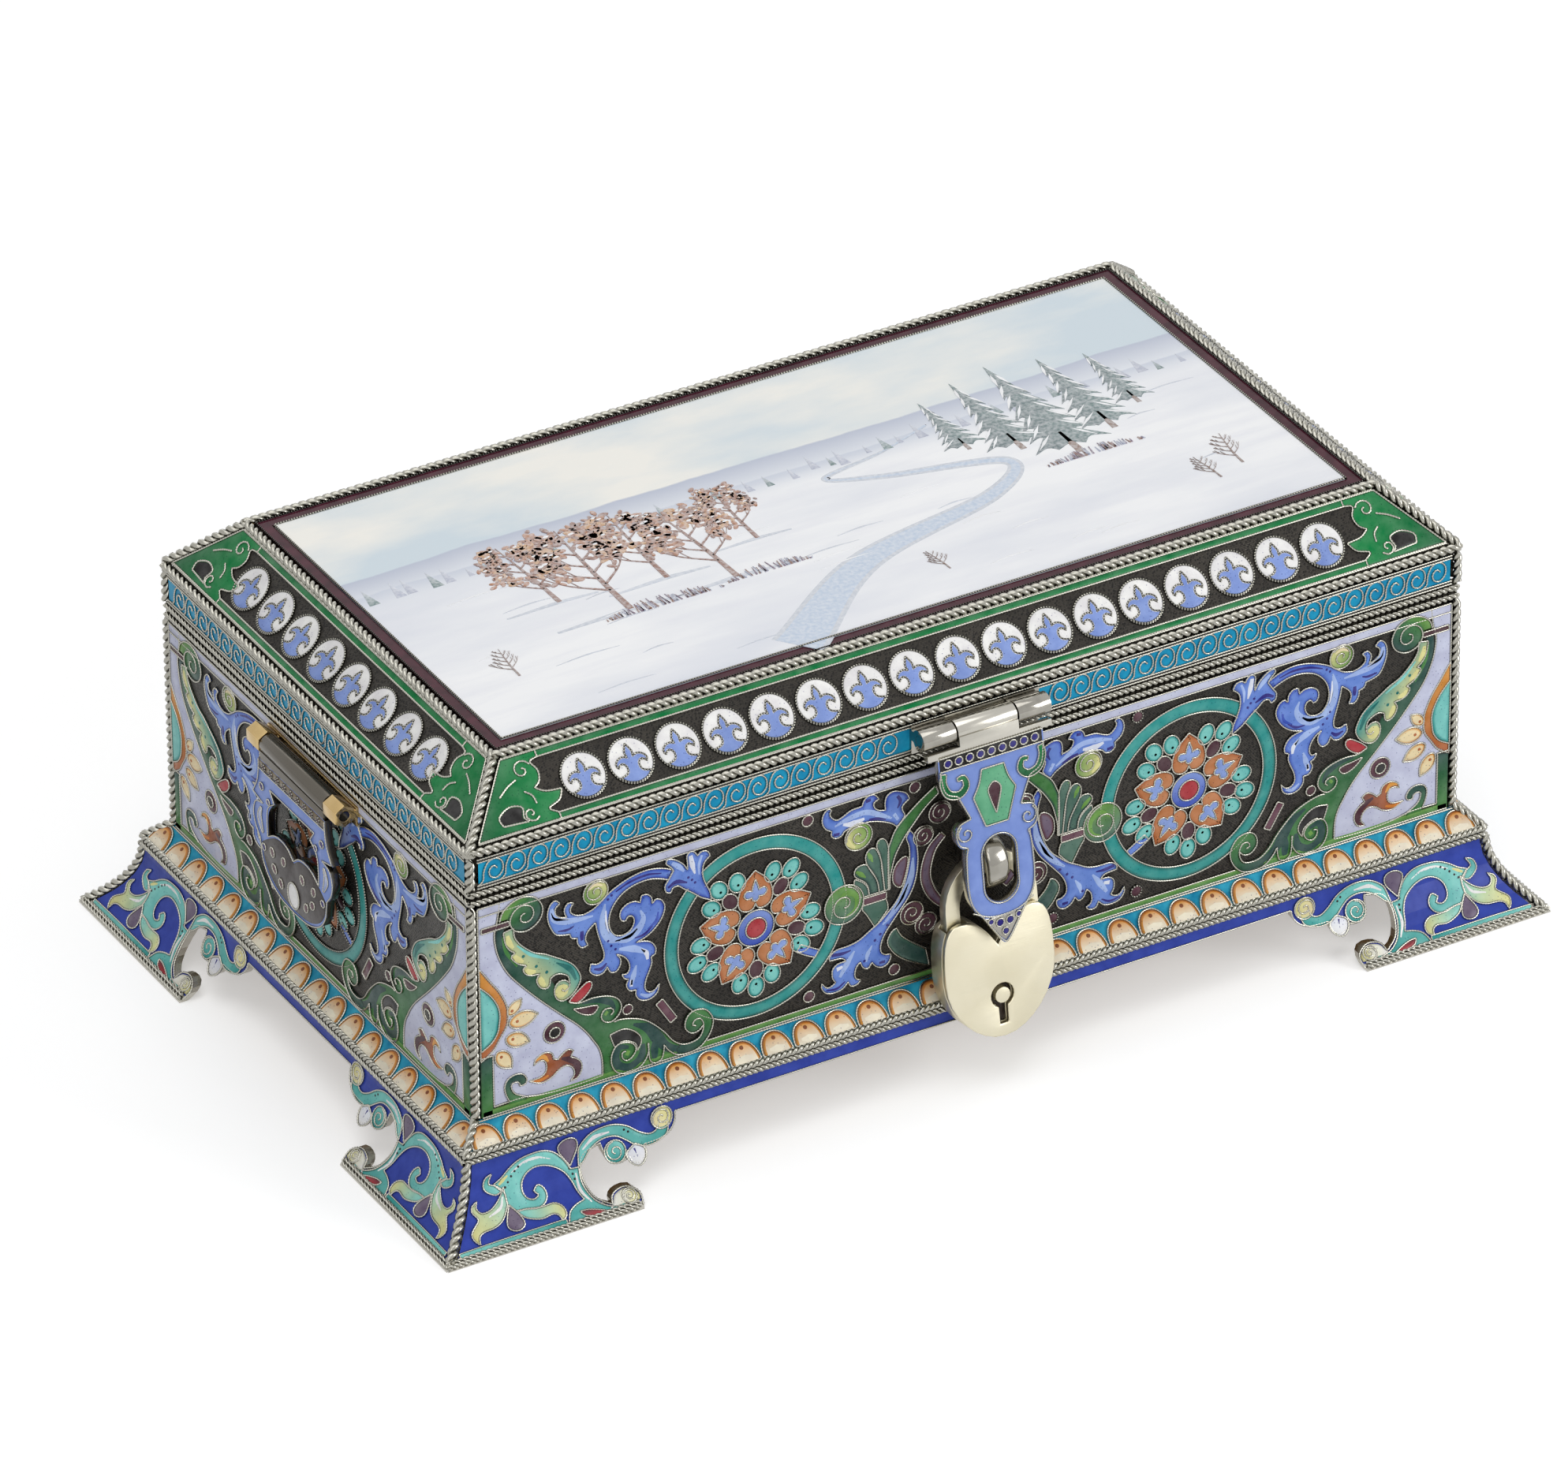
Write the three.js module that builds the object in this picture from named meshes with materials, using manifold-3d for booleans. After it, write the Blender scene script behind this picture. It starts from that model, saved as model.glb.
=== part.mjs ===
// Enamel casket: a rectangular keepsake box with a hinged hip lid, a flared base on pierced scroll feet,
// a hasp that drops over a staple on the front, a small padlock on the staple and a drop handle on each end.
// Millimetres, +Z up, front towards -Y. The origin is on the floor, under the middle of the box.
import * as THREE from 'three';
import { mergeVertices } from 'three/addons/utils/BufferGeometryUtils.js';
import Module from 'manifold-3d';

// Body and base
const BODY_LENGTH = 168;
const BODY_DEPTH = 94;
const FOOT_FLARE = 11;
const LEDGE_REACH = 3.5;
const SKIRT_HEIGHT = 12.2;
const SKIRT_WALL = 1.4;
const BASE_THICKNESS = 1.3;
const BAND_RISE = 2.9;
const BAND_WIDTH_AT_FOOT = 1.6;
const BAND_LIP = 0.75;
const WALL_HEIGHT = 38;
const PANEL_THICKNESS = 1;
const CASE_WALL = 1.4;
const FLOOR_THICKNESS = 1.4;

// Lid
const SEAM_GAP = 0.3;
const FRIEZE_HEIGHT = 7.9;
const SLOPE_RISE = 8.85;
const SLOPE_INSET = 9.5;
const LID_WALL = 1.3;
const PLAQUE_RECESS = 0.9;
const PLAQUE_STAND = 0.15;
const FRAME_WIDTH = 1.85;

// Twisted wires, modelled as plain rods
const ROPE_RADIUS = 0.75;
const RIM_ROPE_RADIUS = 0.55;
const ROPE_SIDES = 8;
const SLOPE_ROPE_DROP = 0.25;
const CORNER_ROPE_INSET = 0.2;

// Clearances
const CLEARANCE = 0.3;
const BED_GAP = 0.1;
const PIN_CLEARANCE = 0.05;
const CUT_MARGIN = 1;
const SAME_POINT = 1e-4;

// Facets of round pieces
const BARREL_SIDES = 24;
const PIN_SIDES = 16;
const SKIRT_STEPS = 8;
const CORNER_STEPS = 6;

// Feet: distances along the skirt from its outer corner, and heights from the floor
const STRIP_DEPTH = 2.4;
const BROW_REACH = 42;
const BROW_LENGTH = 4.4;
const BROW_DROP = 3.1;
const DROP_REACH = 34.7;
const DROP_WIDTH = 2.8;
const DROP_BOTTOM = 4.7;
const DROP_NOTCH = 6;
const CURL_REACH = 29.6;
const CURL_BOTTOM = 5.1;
const CURL_TOP = 7.1;
const ARCH_REACH = 25.2;
const ARCH_SPAN = 4.1;
const ARCH_RISE = 8.7;
const ARCH_MIDDLE = 5.3;
const ARCH_FOOT = 2.1;
const INSTEP_REACH = 28.3;
const INSTEP = 1.3;
const TOE_REACH = 33.4;
const TOE_LENGTH = 2.2;
const TOE_HEIGHT = 2.7;
const TOE_UNDERCUT = 0.6;

// Rear hinge
const HINGE_END_MARGIN = 9;
const HINGE_KNUCKLES = 5;
const HINGE_AXIS_OUT = 2.45;
const HINGE_BARREL = 1.7;
const HINGE_BORE = 0.9;
const HINGE_LEAF = 0.6;
const HINGE_LEAF_REACH = 3.8;
const KNUCKLE_GAP = 0.3;

// Hasp and its hinge on the lid
const HASP_TILT = THREE.MathUtils.degToRad(8.5);
const HASP_AXIS_OUT = 2.6;
const HASP_AXIS_ABOVE_SEAM = 5;
const HASP_BARREL = 1.7;
const HASP_BORE = 0.85;
const HASP_HINGE_LENGTH = 21.6;
const HASP_KNUCKLE = 10;
const HASP_LEAF = 0.6;
const HASP_LEAF_HEIGHT = 4.8;
const HASP_THICKNESS = 1.2;
const HASP_STAND = 1.25;
const HASP_FLANGE_DROP = 1.95;
const HASP_FLANGE = 1;
const HASP_HEAD_WIDTH = 17.8;
const HASP_HEAD = 4.6;
const HASP_SCROLL_WIDTH = 12.4;
const HASP_SCROLL = 9.7;
const HASP_WAIST_WIDTH = 8.6;
const HASP_WAIST = 13.8;
const HASP_EAR_WIDTH = 14;
const HASP_EAR = 15.8;
const HASP_EAR_END_WIDTH = 10.4;
const HASP_EAR_END = 18.3;
const HASP_BOW_WIDTH = 11.5;
const HASP_BOW = 24.8;
const HASP_BOW_END = 30.2;
const HASP_TIP_WIDTH = 7;
const HASP_TIP_ROUND = 1;
const HASP_LENGTH = 35;
const SLOT_WIDTH = 5.6;
const SLOT_TOP = 17.5;
const SLOT_BOTTOM = 28.3;

// Staple
const STAPLE_WIDTH = 3.6;
const STAPLE_BAR = 2.25;
const STAPLE_BACK = 1.8;
const STAPLE_ROUND = 0.8;
const EYE_OUT = 3.4;
const EYE_BELOW_SEAM = 18.1;
const EYE_RADIUS = 2.25;

// Padlock, measured from the middle of the staple's eye down its own tilted plane
const LOCK_WIDTH = 18.6;
const LOCK_LOBE_SPREAD = 12.4;
const LOCK_LOBE_TOP = 8.4;
const LOCK_NOTCH = 13.4;
const LOCK_BELLY = 17.4;
const LOCK_BOTTOM = 28.3;
const LOCK_THICKNESS = 4.2;
const LOCK_PLATE = 0.9;
const SHACKLE_RADIUS = 6.6;
const SHACKLE_BAR = 2.4;
const SHACKLE_THICKNESS = 1.8;
const SHACKLE_PIN_DROP = 11.6;
const SHACKLE_PIN = 0.75;
const SHACKLE_BOSS = 1.7;
const KEYHOLE_DROP = 21.6;
const KEYHOLE_RADIUS = 1.95;
const KEYHOLE_SLOT = 1.5;
const KEYHOLE_LENGTH = 4.6;
const KEYHOLE_DEPTH = 2;
const KEY_POST_RADIUS = 1.25;

// Drop handles
const HANDLE_AXIS_OUT = 2.5;
const HANDLE_AXIS_BELOW_SEAM = 3;
const HANDLE_BARREL = 1.6;
const HANDLE_BORE = 0.85;
const HANDLE_LUG = 1.85;
const HANDLE_LUG_SIDES = 6;
const HANDLE_HINGE_LENGTH = 27.4;
const HANDLE_KNUCKLE = 19.4;
const HANDLE_LEAF = 0.6;
const HANDLE_LEAF_HEIGHT = 3.2;
const HANDLE_THICKNESS = 1.2;
const HANDLE_STAND = 0.9;
const HANDLE_HEAD_WIDTH = 20.6;
const HANDLE_SHOULDER = 3.4;
const HANDLE_WING_WIDTH = 24.8;
const HANDLE_WING = 9;
const HANDLE_NOTCH_WIDTH = 18;
const HANDLE_NOTCH = 9.6;
const HANDLE_ARM_WIDTH = 24.6;
const HANDLE_ARM = 12.4;
const HANDLE_ANKLE_WIDTH = 20.8;
const HANDLE_ANKLE = 16.2;
const HANDLE_LENGTH = 24;
const HANDLE_GAP_TOP = 6.2;
const HANDLE_GAP_WIDTH = 13.6;
const HANDLE_GAP_WAIST = 7.9;
const HANDLE_GAP_WAIST_WIDTH = 10.8;
const HANDLE_GAP_BELLY = 12;
const HANDLE_GAP_BELLY_WIDTH = 15.6;
const HANDLE_GAP_LOBE = 12.4;
const HANDLE_GAP_BOTTOM = 14.6;

// Heights that follow from the sizes above
const halfLength = BODY_LENGTH / 2;
const halfDepth = BODY_DEPTH / 2;
const baseTop = SKIRT_HEIGHT + BASE_THICKNESS;
const wallBottom = baseTop + BAND_RISE;
const seam = wallBottom + WALL_HEIGHT;
const slopeBottom = seam + FRIEZE_HEIGHT;
const lidTop = slopeBottom + SLOPE_RISE;
const caseTop = seam - SEAM_GAP;
const plaqueSeat = lidTop - PLAQUE_RECESS;
const slopeLength = Math.hypot(SLOPE_INSET, SLOPE_RISE);
const hingeLength = BODY_LENGTH - 2 * HINGE_END_MARGIN;

const wasm = await Module();
wasm.setup();

const casket = new THREE.Group();

// Finishes, one material per piece
const FINISHES = {
  gilt: { color: 0xc9a45c, roughness: 0.35, metalness: 1 },
  silver: { color: 0xb9b6ae, roughness: 0.35, metalness: 1 },
  lockGold: { color: 0xe2d2a4, roughness: 0.3, metalness: 1 },
  wallEnamel: { color: 0x4a5f8c, roughness: 0.3, metalness: 0.1 },
  slopeEnamel: { color: 0x2c5a3c, roughness: 0.3, metalness: 0.1 },
  friezeEnamel: { color: 0x1e93b8, roughness: 0.3, metalness: 0.1 },
  beadEnamel: { color: 0xe2a860, roughness: 0.3, metalness: 0.1 },
  skirtEnamel: { color: 0x3548a0, roughness: 0.3, metalness: 0.1 },
  plaqueEnamel: { color: 0xe6e8ea, roughness: 0.25, metalness: 0 },
  borderEnamel: { color: 0x4a2030, roughness: 0.25, metalness: 0.1 },
  mountEnamel: { color: 0x7f97d8, roughness: 0.3, metalness: 0.1 },
};

// Adds a named piece to a group.
function addPiece(group, name, geometry, finish) {
  const piece = new THREE.Mesh(geometry, new THREE.MeshStandardMaterial(FINISHES[finish]));
  piece.name = name;
  group.add(piece);
  return piece;
}

// Turns a closed geometry into a solid that can be joined and cut.
function toSolid(geometry) {
  const bare = geometry.clone();
  bare.deleteAttribute('normal');
  bare.deleteAttribute('uv');
  const merged = mergeVertices(bare);
  const vertProperties = new Float32Array(merged.attributes.position.array);
  const triVerts = new Uint32Array(merged.index.array);
  return new wasm.Manifold(new wasm.Mesh({ numProp: 3, vertProperties, triVerts }));
}

// Turns a solid back into a geometry.
function toGeometry(solid) {
  const mesh = solid.getMesh();
  const geometry = new THREE.BufferGeometry();
  geometry.setAttribute('position', new THREE.BufferAttribute(new Float32Array(mesh.vertProperties), 3));
  geometry.setIndex(new THREE.BufferAttribute(new Uint32Array(mesh.triVerts), 1));
  return geometry;
}

// Joins several closed geometries into one.
function joined(geometries) {
  const solids = geometries.map(toSolid);
  return toGeometry(solids.reduce((whole, next) => whole.add(next)));
}

// Cuts several closed geometries out of one.
function cutFrom(geometry, cutters) {
  const solids = cutters.map(toSolid);
  return toGeometry(solids.reduce((whole, next) => whole.subtract(next), toSolid(geometry)));
}

// Corner points of a regular polygon.
function polygon(radius, sides, x = 0, y = 0) {
  const step = (2 * Math.PI) / sides;
  return Array.from({ length: sides }, (_, i) => new THREE.Vector2(
    x + radius * Math.cos((i + 0.5) * step),
    y + radius * Math.sin((i + 0.5) * step),
  ));
}

// A straight strip along X on the front. The profile gives (outwards, up), and the ends are mitred.
function mitredRun(profile, runHalf, faceHalf, endInset) {
  const geometry = new THREE.ExtrudeGeometry(new THREE.Shape(profile), { depth: 1, bevelEnabled: false });
  const position = geometry.attributes.position;
  for (let i = 0; i < position.count; i++) {
    const out = position.getX(i);
    const end = 1 - 2 * position.getZ(i);
    position.setXYZ(i, end * (runHalf + out - endInset), -(faceHalf + out), position.getY(i));
  }
  return geometry;
}

// A profile carried round the body's rectangle with mitred corners. On the axis, outwards is null.
function mitredRing(profile) {
  const reach = halfLength;
  const points = profile.map(([out, up]) => (
    new THREE.Vector2(out === null ? 0 : (reach + out) * Math.SQRT2, up)
  ));
  const geometry = new THREE.LatheGeometry(points, 4, Math.PI / 4);
  const position = geometry.attributes.position;
  for (let i = 0; i < position.count; i++) {
    const z = position.getZ(i);
    const shift = Math.abs(z) < SAME_POINT ? 0 : Math.sign(z) * (halfDepth - reach);
    position.setZ(i, z + shift);
  }
  geometry.rotateX(Math.PI / 2);
  return geometry;
}

// A rod of twisted wire round the body's rectangle.
function ropeRing(radius, out, up) {
  const corners = polygon(radius, ROPE_SIDES, out, up).map((point) => [point.x, point.y]);
  return mitredRing([...corners, corners[0]]);
}

// A straight rod between two points.
function addRod(group, name, from, to, radius, sides, finish) {
  const geometry = new THREE.CylinderGeometry(radius, radius, from.distanceTo(to), sides);
  const rod = addPiece(group, name, geometry, finish);
  const direction = to.clone().sub(from).normalize();
  rod.quaternion.setFromUnitVectors(new THREE.Vector3(0, 1, 0), direction);
  rod.position.copy(from).lerp(to, 0.5);
}

// A flat plate from an outline in the XY plane, centred on its thickness.
function plate(shape, thickness, curveSegments = 8) {
  const geometry = new THREE.ExtrudeGeometry(shape, { depth: thickness, bevelEnabled: false, curveSegments });
  return geometry.translate(0, 0, -thickness / 2);
}

// A shape that is alike on both sides of the Y axis, from its right-hand outline running away from the axis.
function mirroredShape(half, divisions) {
  const right = half.getPoints(divisions);
  const left = right.map((point) => new THREE.Vector2(-point.x, point.y)).reverse();
  const points = [...right, ...left].filter((point, i, all) => (
    i === 0 || point.distanceTo(all[i - 1]) > SAME_POINT
  ));
  const closing = points[0].distanceTo(points[points.length - 1]) < SAME_POINT;
  return new THREE.Shape(closing ? points.slice(0, -1) : points);
}

// Turns a profile drawn as (outwards, up) and extruded along Z into one that runs along X on the front.
function alongX(geometry) {
  return geometry.rotateY(Math.PI / 2).rotateX(Math.PI / 2);
}

// Stands a plate drawn in the XY plane upright, facing the front, at a distance in front of its group.
function facingFront(geometry, stand) {
  return geometry.rotateX(Math.PI / 2).translate(0, -stand, 0);
}

// A pin along X in a bore of the given radius.
function addPin(group, name, length, bore) {
  const radius = bore * Math.cos(Math.PI / BARREL_SIDES) - PIN_CLEARANCE;
  const end = new THREE.Vector3(length / 2, 0, 0);
  addRod(group, name, end.clone().negate(), end, radius, BARREL_SIDES, 'silver');
}

// A straight round cutter along X.
function boreCutter(radius, length) {
  return new THREE.CylinderGeometry(radius, radius, length, BARREL_SIDES).rotateZ(Math.PI / 2);
}

// A tube along X with a round bore.
function knuckle(radius, bore, fromX, toX) {
  const shape = new THREE.Shape(polygon(radius, BARREL_SIDES));
  shape.holes.push(new THREE.Path(polygon(bore, BARREL_SIDES).reverse()));
  const geometry = new THREE.ExtrudeGeometry(shape, { depth: toX - fromX, bevelEnabled: false });
  return alongX(geometry).translate(fromX, 0, 0);
}

// A box given by its lowest and highest corners.
function boxBetween(low, high) {
  const size = high.map((value, i) => value - low[i]);
  const middle = high.map((value, i) => (value + low[i]) / 2);
  return new THREE.BoxGeometry(...size).translate(...middle);
}

// The four sides: how long the run is, how far its face is from the middle, and its turn about Z.
const SIDES = [
  { name: 'front', runHalf: halfLength, faceHalf: halfDepth, turn: 0 },
  { name: 'right', runHalf: halfDepth, faceHalf: halfLength, turn: Math.PI / 2 },
  { name: 'back', runHalf: halfLength, faceHalf: halfDepth, turn: Math.PI },
  { name: 'left', runHalf: halfDepth, faceHalf: halfLength, turn: -Math.PI / 2 },
];
const CORNERS = [
  { name: 'front_left', x: -1, y: -1 },
  { name: 'front_right', x: 1, y: -1 },
  { name: 'back_right', x: 1, y: 1 },
  { name: 'back_left', x: -1, y: 1 },
];
const cornerInset = (ROPE_RADIUS + CLEARANCE) * Math.SQRT2;

// Adds one mitred strip on each side, named after the side.
function addRuns(label, profile, endInset, finish) {
  for (const { name, runHalf, faceHalf, turn } of SIDES) {
    const strip = mitredRun(profile, runHalf, faceHalf, endInset);
    addPiece(casket, `${label}_${name}`, strip, finish).rotation.z = turn;
  }
}

// A rectangular profile from low to high corner.
function rectangle(outLow, upLow, outHigh, upHigh) {
  return [
    new THREE.Vector2(outLow, upLow),
    new THREE.Vector2(outHigh, upLow),
    new THREE.Vector2(outHigh, upHigh),
    new THREE.Vector2(outLow, upHigh),
  ];
}

// Point on the lid's slope: distance up the slope from its lower edge, and height above its face.
function onSlope(along, above) {
  const out = (-along * SLOPE_INSET + above * SLOPE_RISE) / slopeLength;
  const up = (along * SLOPE_RISE + above * SLOPE_INSET) / slopeLength;
  return new THREE.Vector2(out, slopeBottom + up);
}

// Outwards value, at a height, of the surface that lies a depth under the slope's face.
function slopeOut(up, depth) {
  return (-(up - slopeBottom) * SLOPE_INSET - depth * slopeLength) / SLOPE_RISE;
}

// Height at which that surface meets an upright wall.
function slopeUp(out, depth) {
  return slopeBottom - (out * SLOPE_RISE + depth * slopeLength) / SLOPE_INSET;
}

// Skirt: the outer face flares from the ledge to the floor as a parabola
function flareAt(up) {
  return LEDGE_REACH + (FOOT_FLARE - LEDGE_REACH) * (1 - up / SKIRT_HEIGHT) ** 2;
}

function skirtProfile() {
  const outer = Array.from({ length: SKIRT_STEPS + 1 }, (_, i) => {
    const up = (SKIRT_HEIGHT * i) / SKIRT_STEPS;
    return new THREE.Vector2(flareAt(up), up);
  });
  const inner = outer.map((point) => new THREE.Vector2(point.x - SKIRT_WALL, point.y)).reverse();
  return [...outer, ...inner];
}

// Gap between two feet, seen from the front: strip, brow scroll, drop, curl, arch and toe scroll.
function footGap(runHalf) {
  const at = (reach) => runHalf + FOOT_FLARE - reach;
  const strip = SKIRT_HEIGHT - STRIP_DEPTH;
  const brow = strip - BROW_DROP;
  const dropFar = DROP_REACH + DROP_WIDTH / 2;
  const dropNear = DROP_REACH - DROP_WIDTH / 2;
  const toeRoot = TOE_REACH - TOE_UNDERCUT;
  const half = new THREE.Path();
  half.moveTo(at(BROW_REACH), strip);
  half.quadraticCurveTo(at(BROW_REACH), brow, at(BROW_REACH - BROW_LENGTH), brow);
  half.lineTo(at(dropFar), brow);
  half.quadraticCurveTo(at(dropFar), DROP_BOTTOM, at(DROP_REACH), DROP_BOTTOM);
  half.quadraticCurveTo(at(dropNear), DROP_BOTTOM, at(dropNear), DROP_NOTCH);
  half.bezierCurveTo(at(dropNear), CURL_BOTTOM, at(CURL_REACH), CURL_BOTTOM, at(CURL_REACH), CURL_TOP);
  half.lineTo(at(ARCH_REACH + ARCH_SPAN), ARCH_RISE);
  half.quadraticCurveTo(at(ARCH_REACH), ARCH_RISE, at(ARCH_REACH), ARCH_MIDDLE);
  half.quadraticCurveTo(at(ARCH_REACH), ARCH_FOOT, at(INSTEP_REACH), INSTEP);
  half.quadraticCurveTo(at(INSTEP_REACH), TOE_HEIGHT, at(TOE_REACH - TOE_LENGTH), TOE_HEIGHT);
  half.bezierCurveTo(at(TOE_REACH), TOE_HEIGHT, at(TOE_REACH), TOE_HEIGHT / 3, at(toeRoot), 0);
  half.lineTo(at(toeRoot), -CUT_MARGIN);
  return mirroredShape(half, 5);
}

// Path of the twisted wire down a skirt's mitred corner, for the given signs of X and Y
function skirtCornerPath(halfX, halfY, signX, signY) {
  const top = SKIRT_HEIGHT - CLEARANCE;
  const bottom = ROPE_RADIUS + BED_GAP;
  const points = Array.from({ length: CORNER_STEPS + 1 }, (_, i) => {
    const up = top + ((bottom - top) * i) / CORNER_STEPS;
    const out = flareAt(up);
    return new THREE.Vector3(signX * (halfX + out), signY * (halfY + out), up);
  });
  return new THREE.CatmullRomCurve3(points);
}

// A rod of the given radius along that path
function rodAlong(path, radius) {
  const section = new THREE.Shape(polygon(radius, ROPE_SIDES));
  return new THREE.ExtrudeGeometry(section, { steps: CORNER_STEPS, extrudePath: path, bevelEnabled: false });
}

function addSkirts() {
  for (const { name, runHalf, faceHalf, turn } of SIDES) {
    const whole = mitredRun(skirtProfile(), runHalf, faceHalf, BED_GAP);
    const depth = 2 * FOOT_FLARE;
    const gap = new THREE.ExtrudeGeometry(footGap(runHalf), { depth, bevelEnabled: false });
    gap.rotateX(Math.PI / 2).translate(0, -faceHalf + FOOT_FLARE / 2, 0);
    const grooves = [-1, 1].map((sign) => (
      rodAlong(skirtCornerPath(runHalf, faceHalf, sign, -1), ROPE_RADIUS + CLEARANCE)
    ));
    const skirt = addPiece(casket, `skirt_${name}`, cutFrom(whole, [gap, ...grooves]), 'skirtEnamel');
    skirt.rotation.z = turn;
  }
  for (const { name, x, y } of CORNERS) {
    const rope = rodAlong(skirtCornerPath(halfLength, halfDepth, x, y), ROPE_RADIUS);
    addPiece(casket, `skirt_rope_${name}`, rope, 'silver');
  }
}

// Base: plate over the skirts, wire round its edge and sloped bead band up to the walls
function addBase() {
  const ledgeRope = BASE_THICKNESS / 2 - BED_GAP / 2;
  const plateReach = LEDGE_REACH - ROPE_RADIUS - CLEARANCE;
  addPiece(casket, 'base_plate', boxBetween(
    [-halfLength - plateReach, -halfDepth - plateReach, SKIRT_HEIGHT],
    [halfLength + plateReach, halfDepth + plateReach, baseTop],
  ), 'gilt');
  const ropeOut = plateReach + CLEARANCE + ledgeRope;
  addPiece(casket, 'ledge_rope', ropeRing(ledgeRope, ropeOut, SKIRT_HEIGHT + BASE_THICKNESS / 2), 'silver');
  const tuck = CLEARANCE - PANEL_THICKNESS;
  addRuns('bead_band', [
    new THREE.Vector2(LEDGE_REACH - BAND_WIDTH_AT_FOOT, baseTop),
    new THREE.Vector2(LEDGE_REACH, baseTop),
    new THREE.Vector2(0, wallBottom),
    new THREE.Vector2(tuck, wallBottom),
    new THREE.Vector2(tuck, wallBottom - BAND_LIP),
  ], BED_GAP, 'beadEnamel');
}

// Body: open-topped case, enamel wall panels, corner wires and the wire under the seam
function addBody() {
  const wallOut = -PANEL_THICKNESS;
  const wallIn = wallOut - CASE_WALL;
  const rimRope = caseTop - RIM_ROPE_RADIUS;
  const panelTop = rimRope - RIM_ROPE_RADIUS - CLEARANCE;
  addPiece(casket, 'body_case', mitredRing([
    [null, baseTop],
    [wallOut, baseTop],
    [wallOut, caseTop],
    [wallIn, caseTop],
    [wallIn, baseTop + FLOOR_THICKNESS],
    [null, baseTop + FLOOR_THICKNESS],
  ]), 'gilt');
  addRuns('wall_panel', rectangle(wallOut, wallBottom, 0, panelTop), cornerInset, 'wallEnamel');
  addPiece(casket, 'rim_rope', ropeRing(RIM_ROPE_RADIUS, -BED_GAP, rimRope), 'silver');
  const ropeX = halfLength - CORNER_ROPE_INSET;
  const ropeY = halfDepth - CORNER_ROPE_INSET;
  for (const { name, x, y } of CORNERS) {
    const foot = new THREE.Vector3(x * ropeX, y * ropeY, wallBottom + CLEARANCE);
    const head = foot.clone().setZ(panelTop);
    addRod(casket, `corner_rope_${name}`, foot, head, ROPE_RADIUS, ROPE_SIDES, 'silver');
  }
}

// Lid: shell, frieze and slope panels, plaque in its frame, and wires along every edge
function addLid() {
  const wallOut = -PANEL_THICKNESS;
  const wallIn = wallOut - LID_WALL;
  const innerDepth = PANEL_THICKNESS + LID_WALL;
  const ceiling = plaqueSeat - LID_WALL;
  addPiece(casket, 'lid_shell', mitredRing([
    [null, ceiling],
    [slopeOut(ceiling, innerDepth), ceiling],
    [wallIn, slopeUp(wallIn, innerDepth)],
    [wallIn, seam],
    [wallOut, seam],
    [wallOut, slopeUp(wallOut, PANEL_THICKNESS)],
    [slopeOut(plaqueSeat, PANEL_THICKNESS), plaqueSeat],
    [null, plaqueSeat],
  ]), 'gilt');

  const lidRimRope = seam + RIM_ROPE_RADIUS + BED_GAP;
  const slopeRope = slopeBottom - SLOPE_ROPE_DROP;
  const friezeBottom = lidRimRope + RIM_ROPE_RADIUS + CLEARANCE;
  const friezeTop = slopeRope - ROPE_RADIUS - CLEARANCE;
  addRuns('frieze_panel', rectangle(wallOut, friezeBottom, 0, friezeTop), cornerInset, 'friezeEnamel');

  const margin = ROPE_RADIUS + 2 * CLEARANCE;
  const bed = BED_GAP - PANEL_THICKNESS;
  addRuns('slope_panel', [
    onSlope(margin, bed),
    onSlope(margin, 0),
    onSlope(slopeLength - margin, 0),
    onSlope(slopeLength - margin, bed),
  ], cornerInset, 'slopeEnamel');

  const topRopeOut = -SLOPE_INSET + CLEARANCE;
  addPiece(casket, 'lid_rim_rope', ropeRing(RIM_ROPE_RADIUS, -BED_GAP, lidRimRope), 'silver');
  addPiece(casket, 'slope_rope', ropeRing(ROPE_RADIUS, 0, slopeRope), 'silver');
  addPiece(casket, 'top_rope', ropeRing(ROPE_RADIUS, topRopeOut, lidTop - BED_GAP), 'silver');

  const frameOut = topRopeOut - ROPE_RADIUS - CLEARANCE;
  const frameIn = frameOut - FRAME_WIDTH;
  const frame = rectangle(frameIn, plaqueSeat, frameOut, lidTop).map((point) => [point.x, point.y]);
  addPiece(casket, 'plaque_frame', mitredRing([...frame, frame[0]]), 'borderEnamel');
  const plaqueOut = frameIn - CLEARANCE;
  addPiece(casket, 'plaque', boxBetween(
    [-halfLength - plaqueOut, -halfDepth - plaqueOut, plaqueSeat],
    [halfLength + plaqueOut, halfDepth + plaqueOut, lidTop + PLAQUE_STAND],
  ), 'plaqueEnamel');

  for (const { name, x, y } of CORNERS) {
    const ends = [2 * ROPE_RADIUS, slopeLength - 2 * ROPE_RADIUS - CLEARANCE].map((along) => {
      const point = onSlope(along, 0);
      return new THREE.Vector3(x * (halfLength + point.x), y * (halfDepth + point.x), point.y);
    });
    addRod(casket, `hip_rope_${name}`, ends[0], ends[1], ROPE_RADIUS, ROPE_SIDES, 'silver');
  }
}

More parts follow.
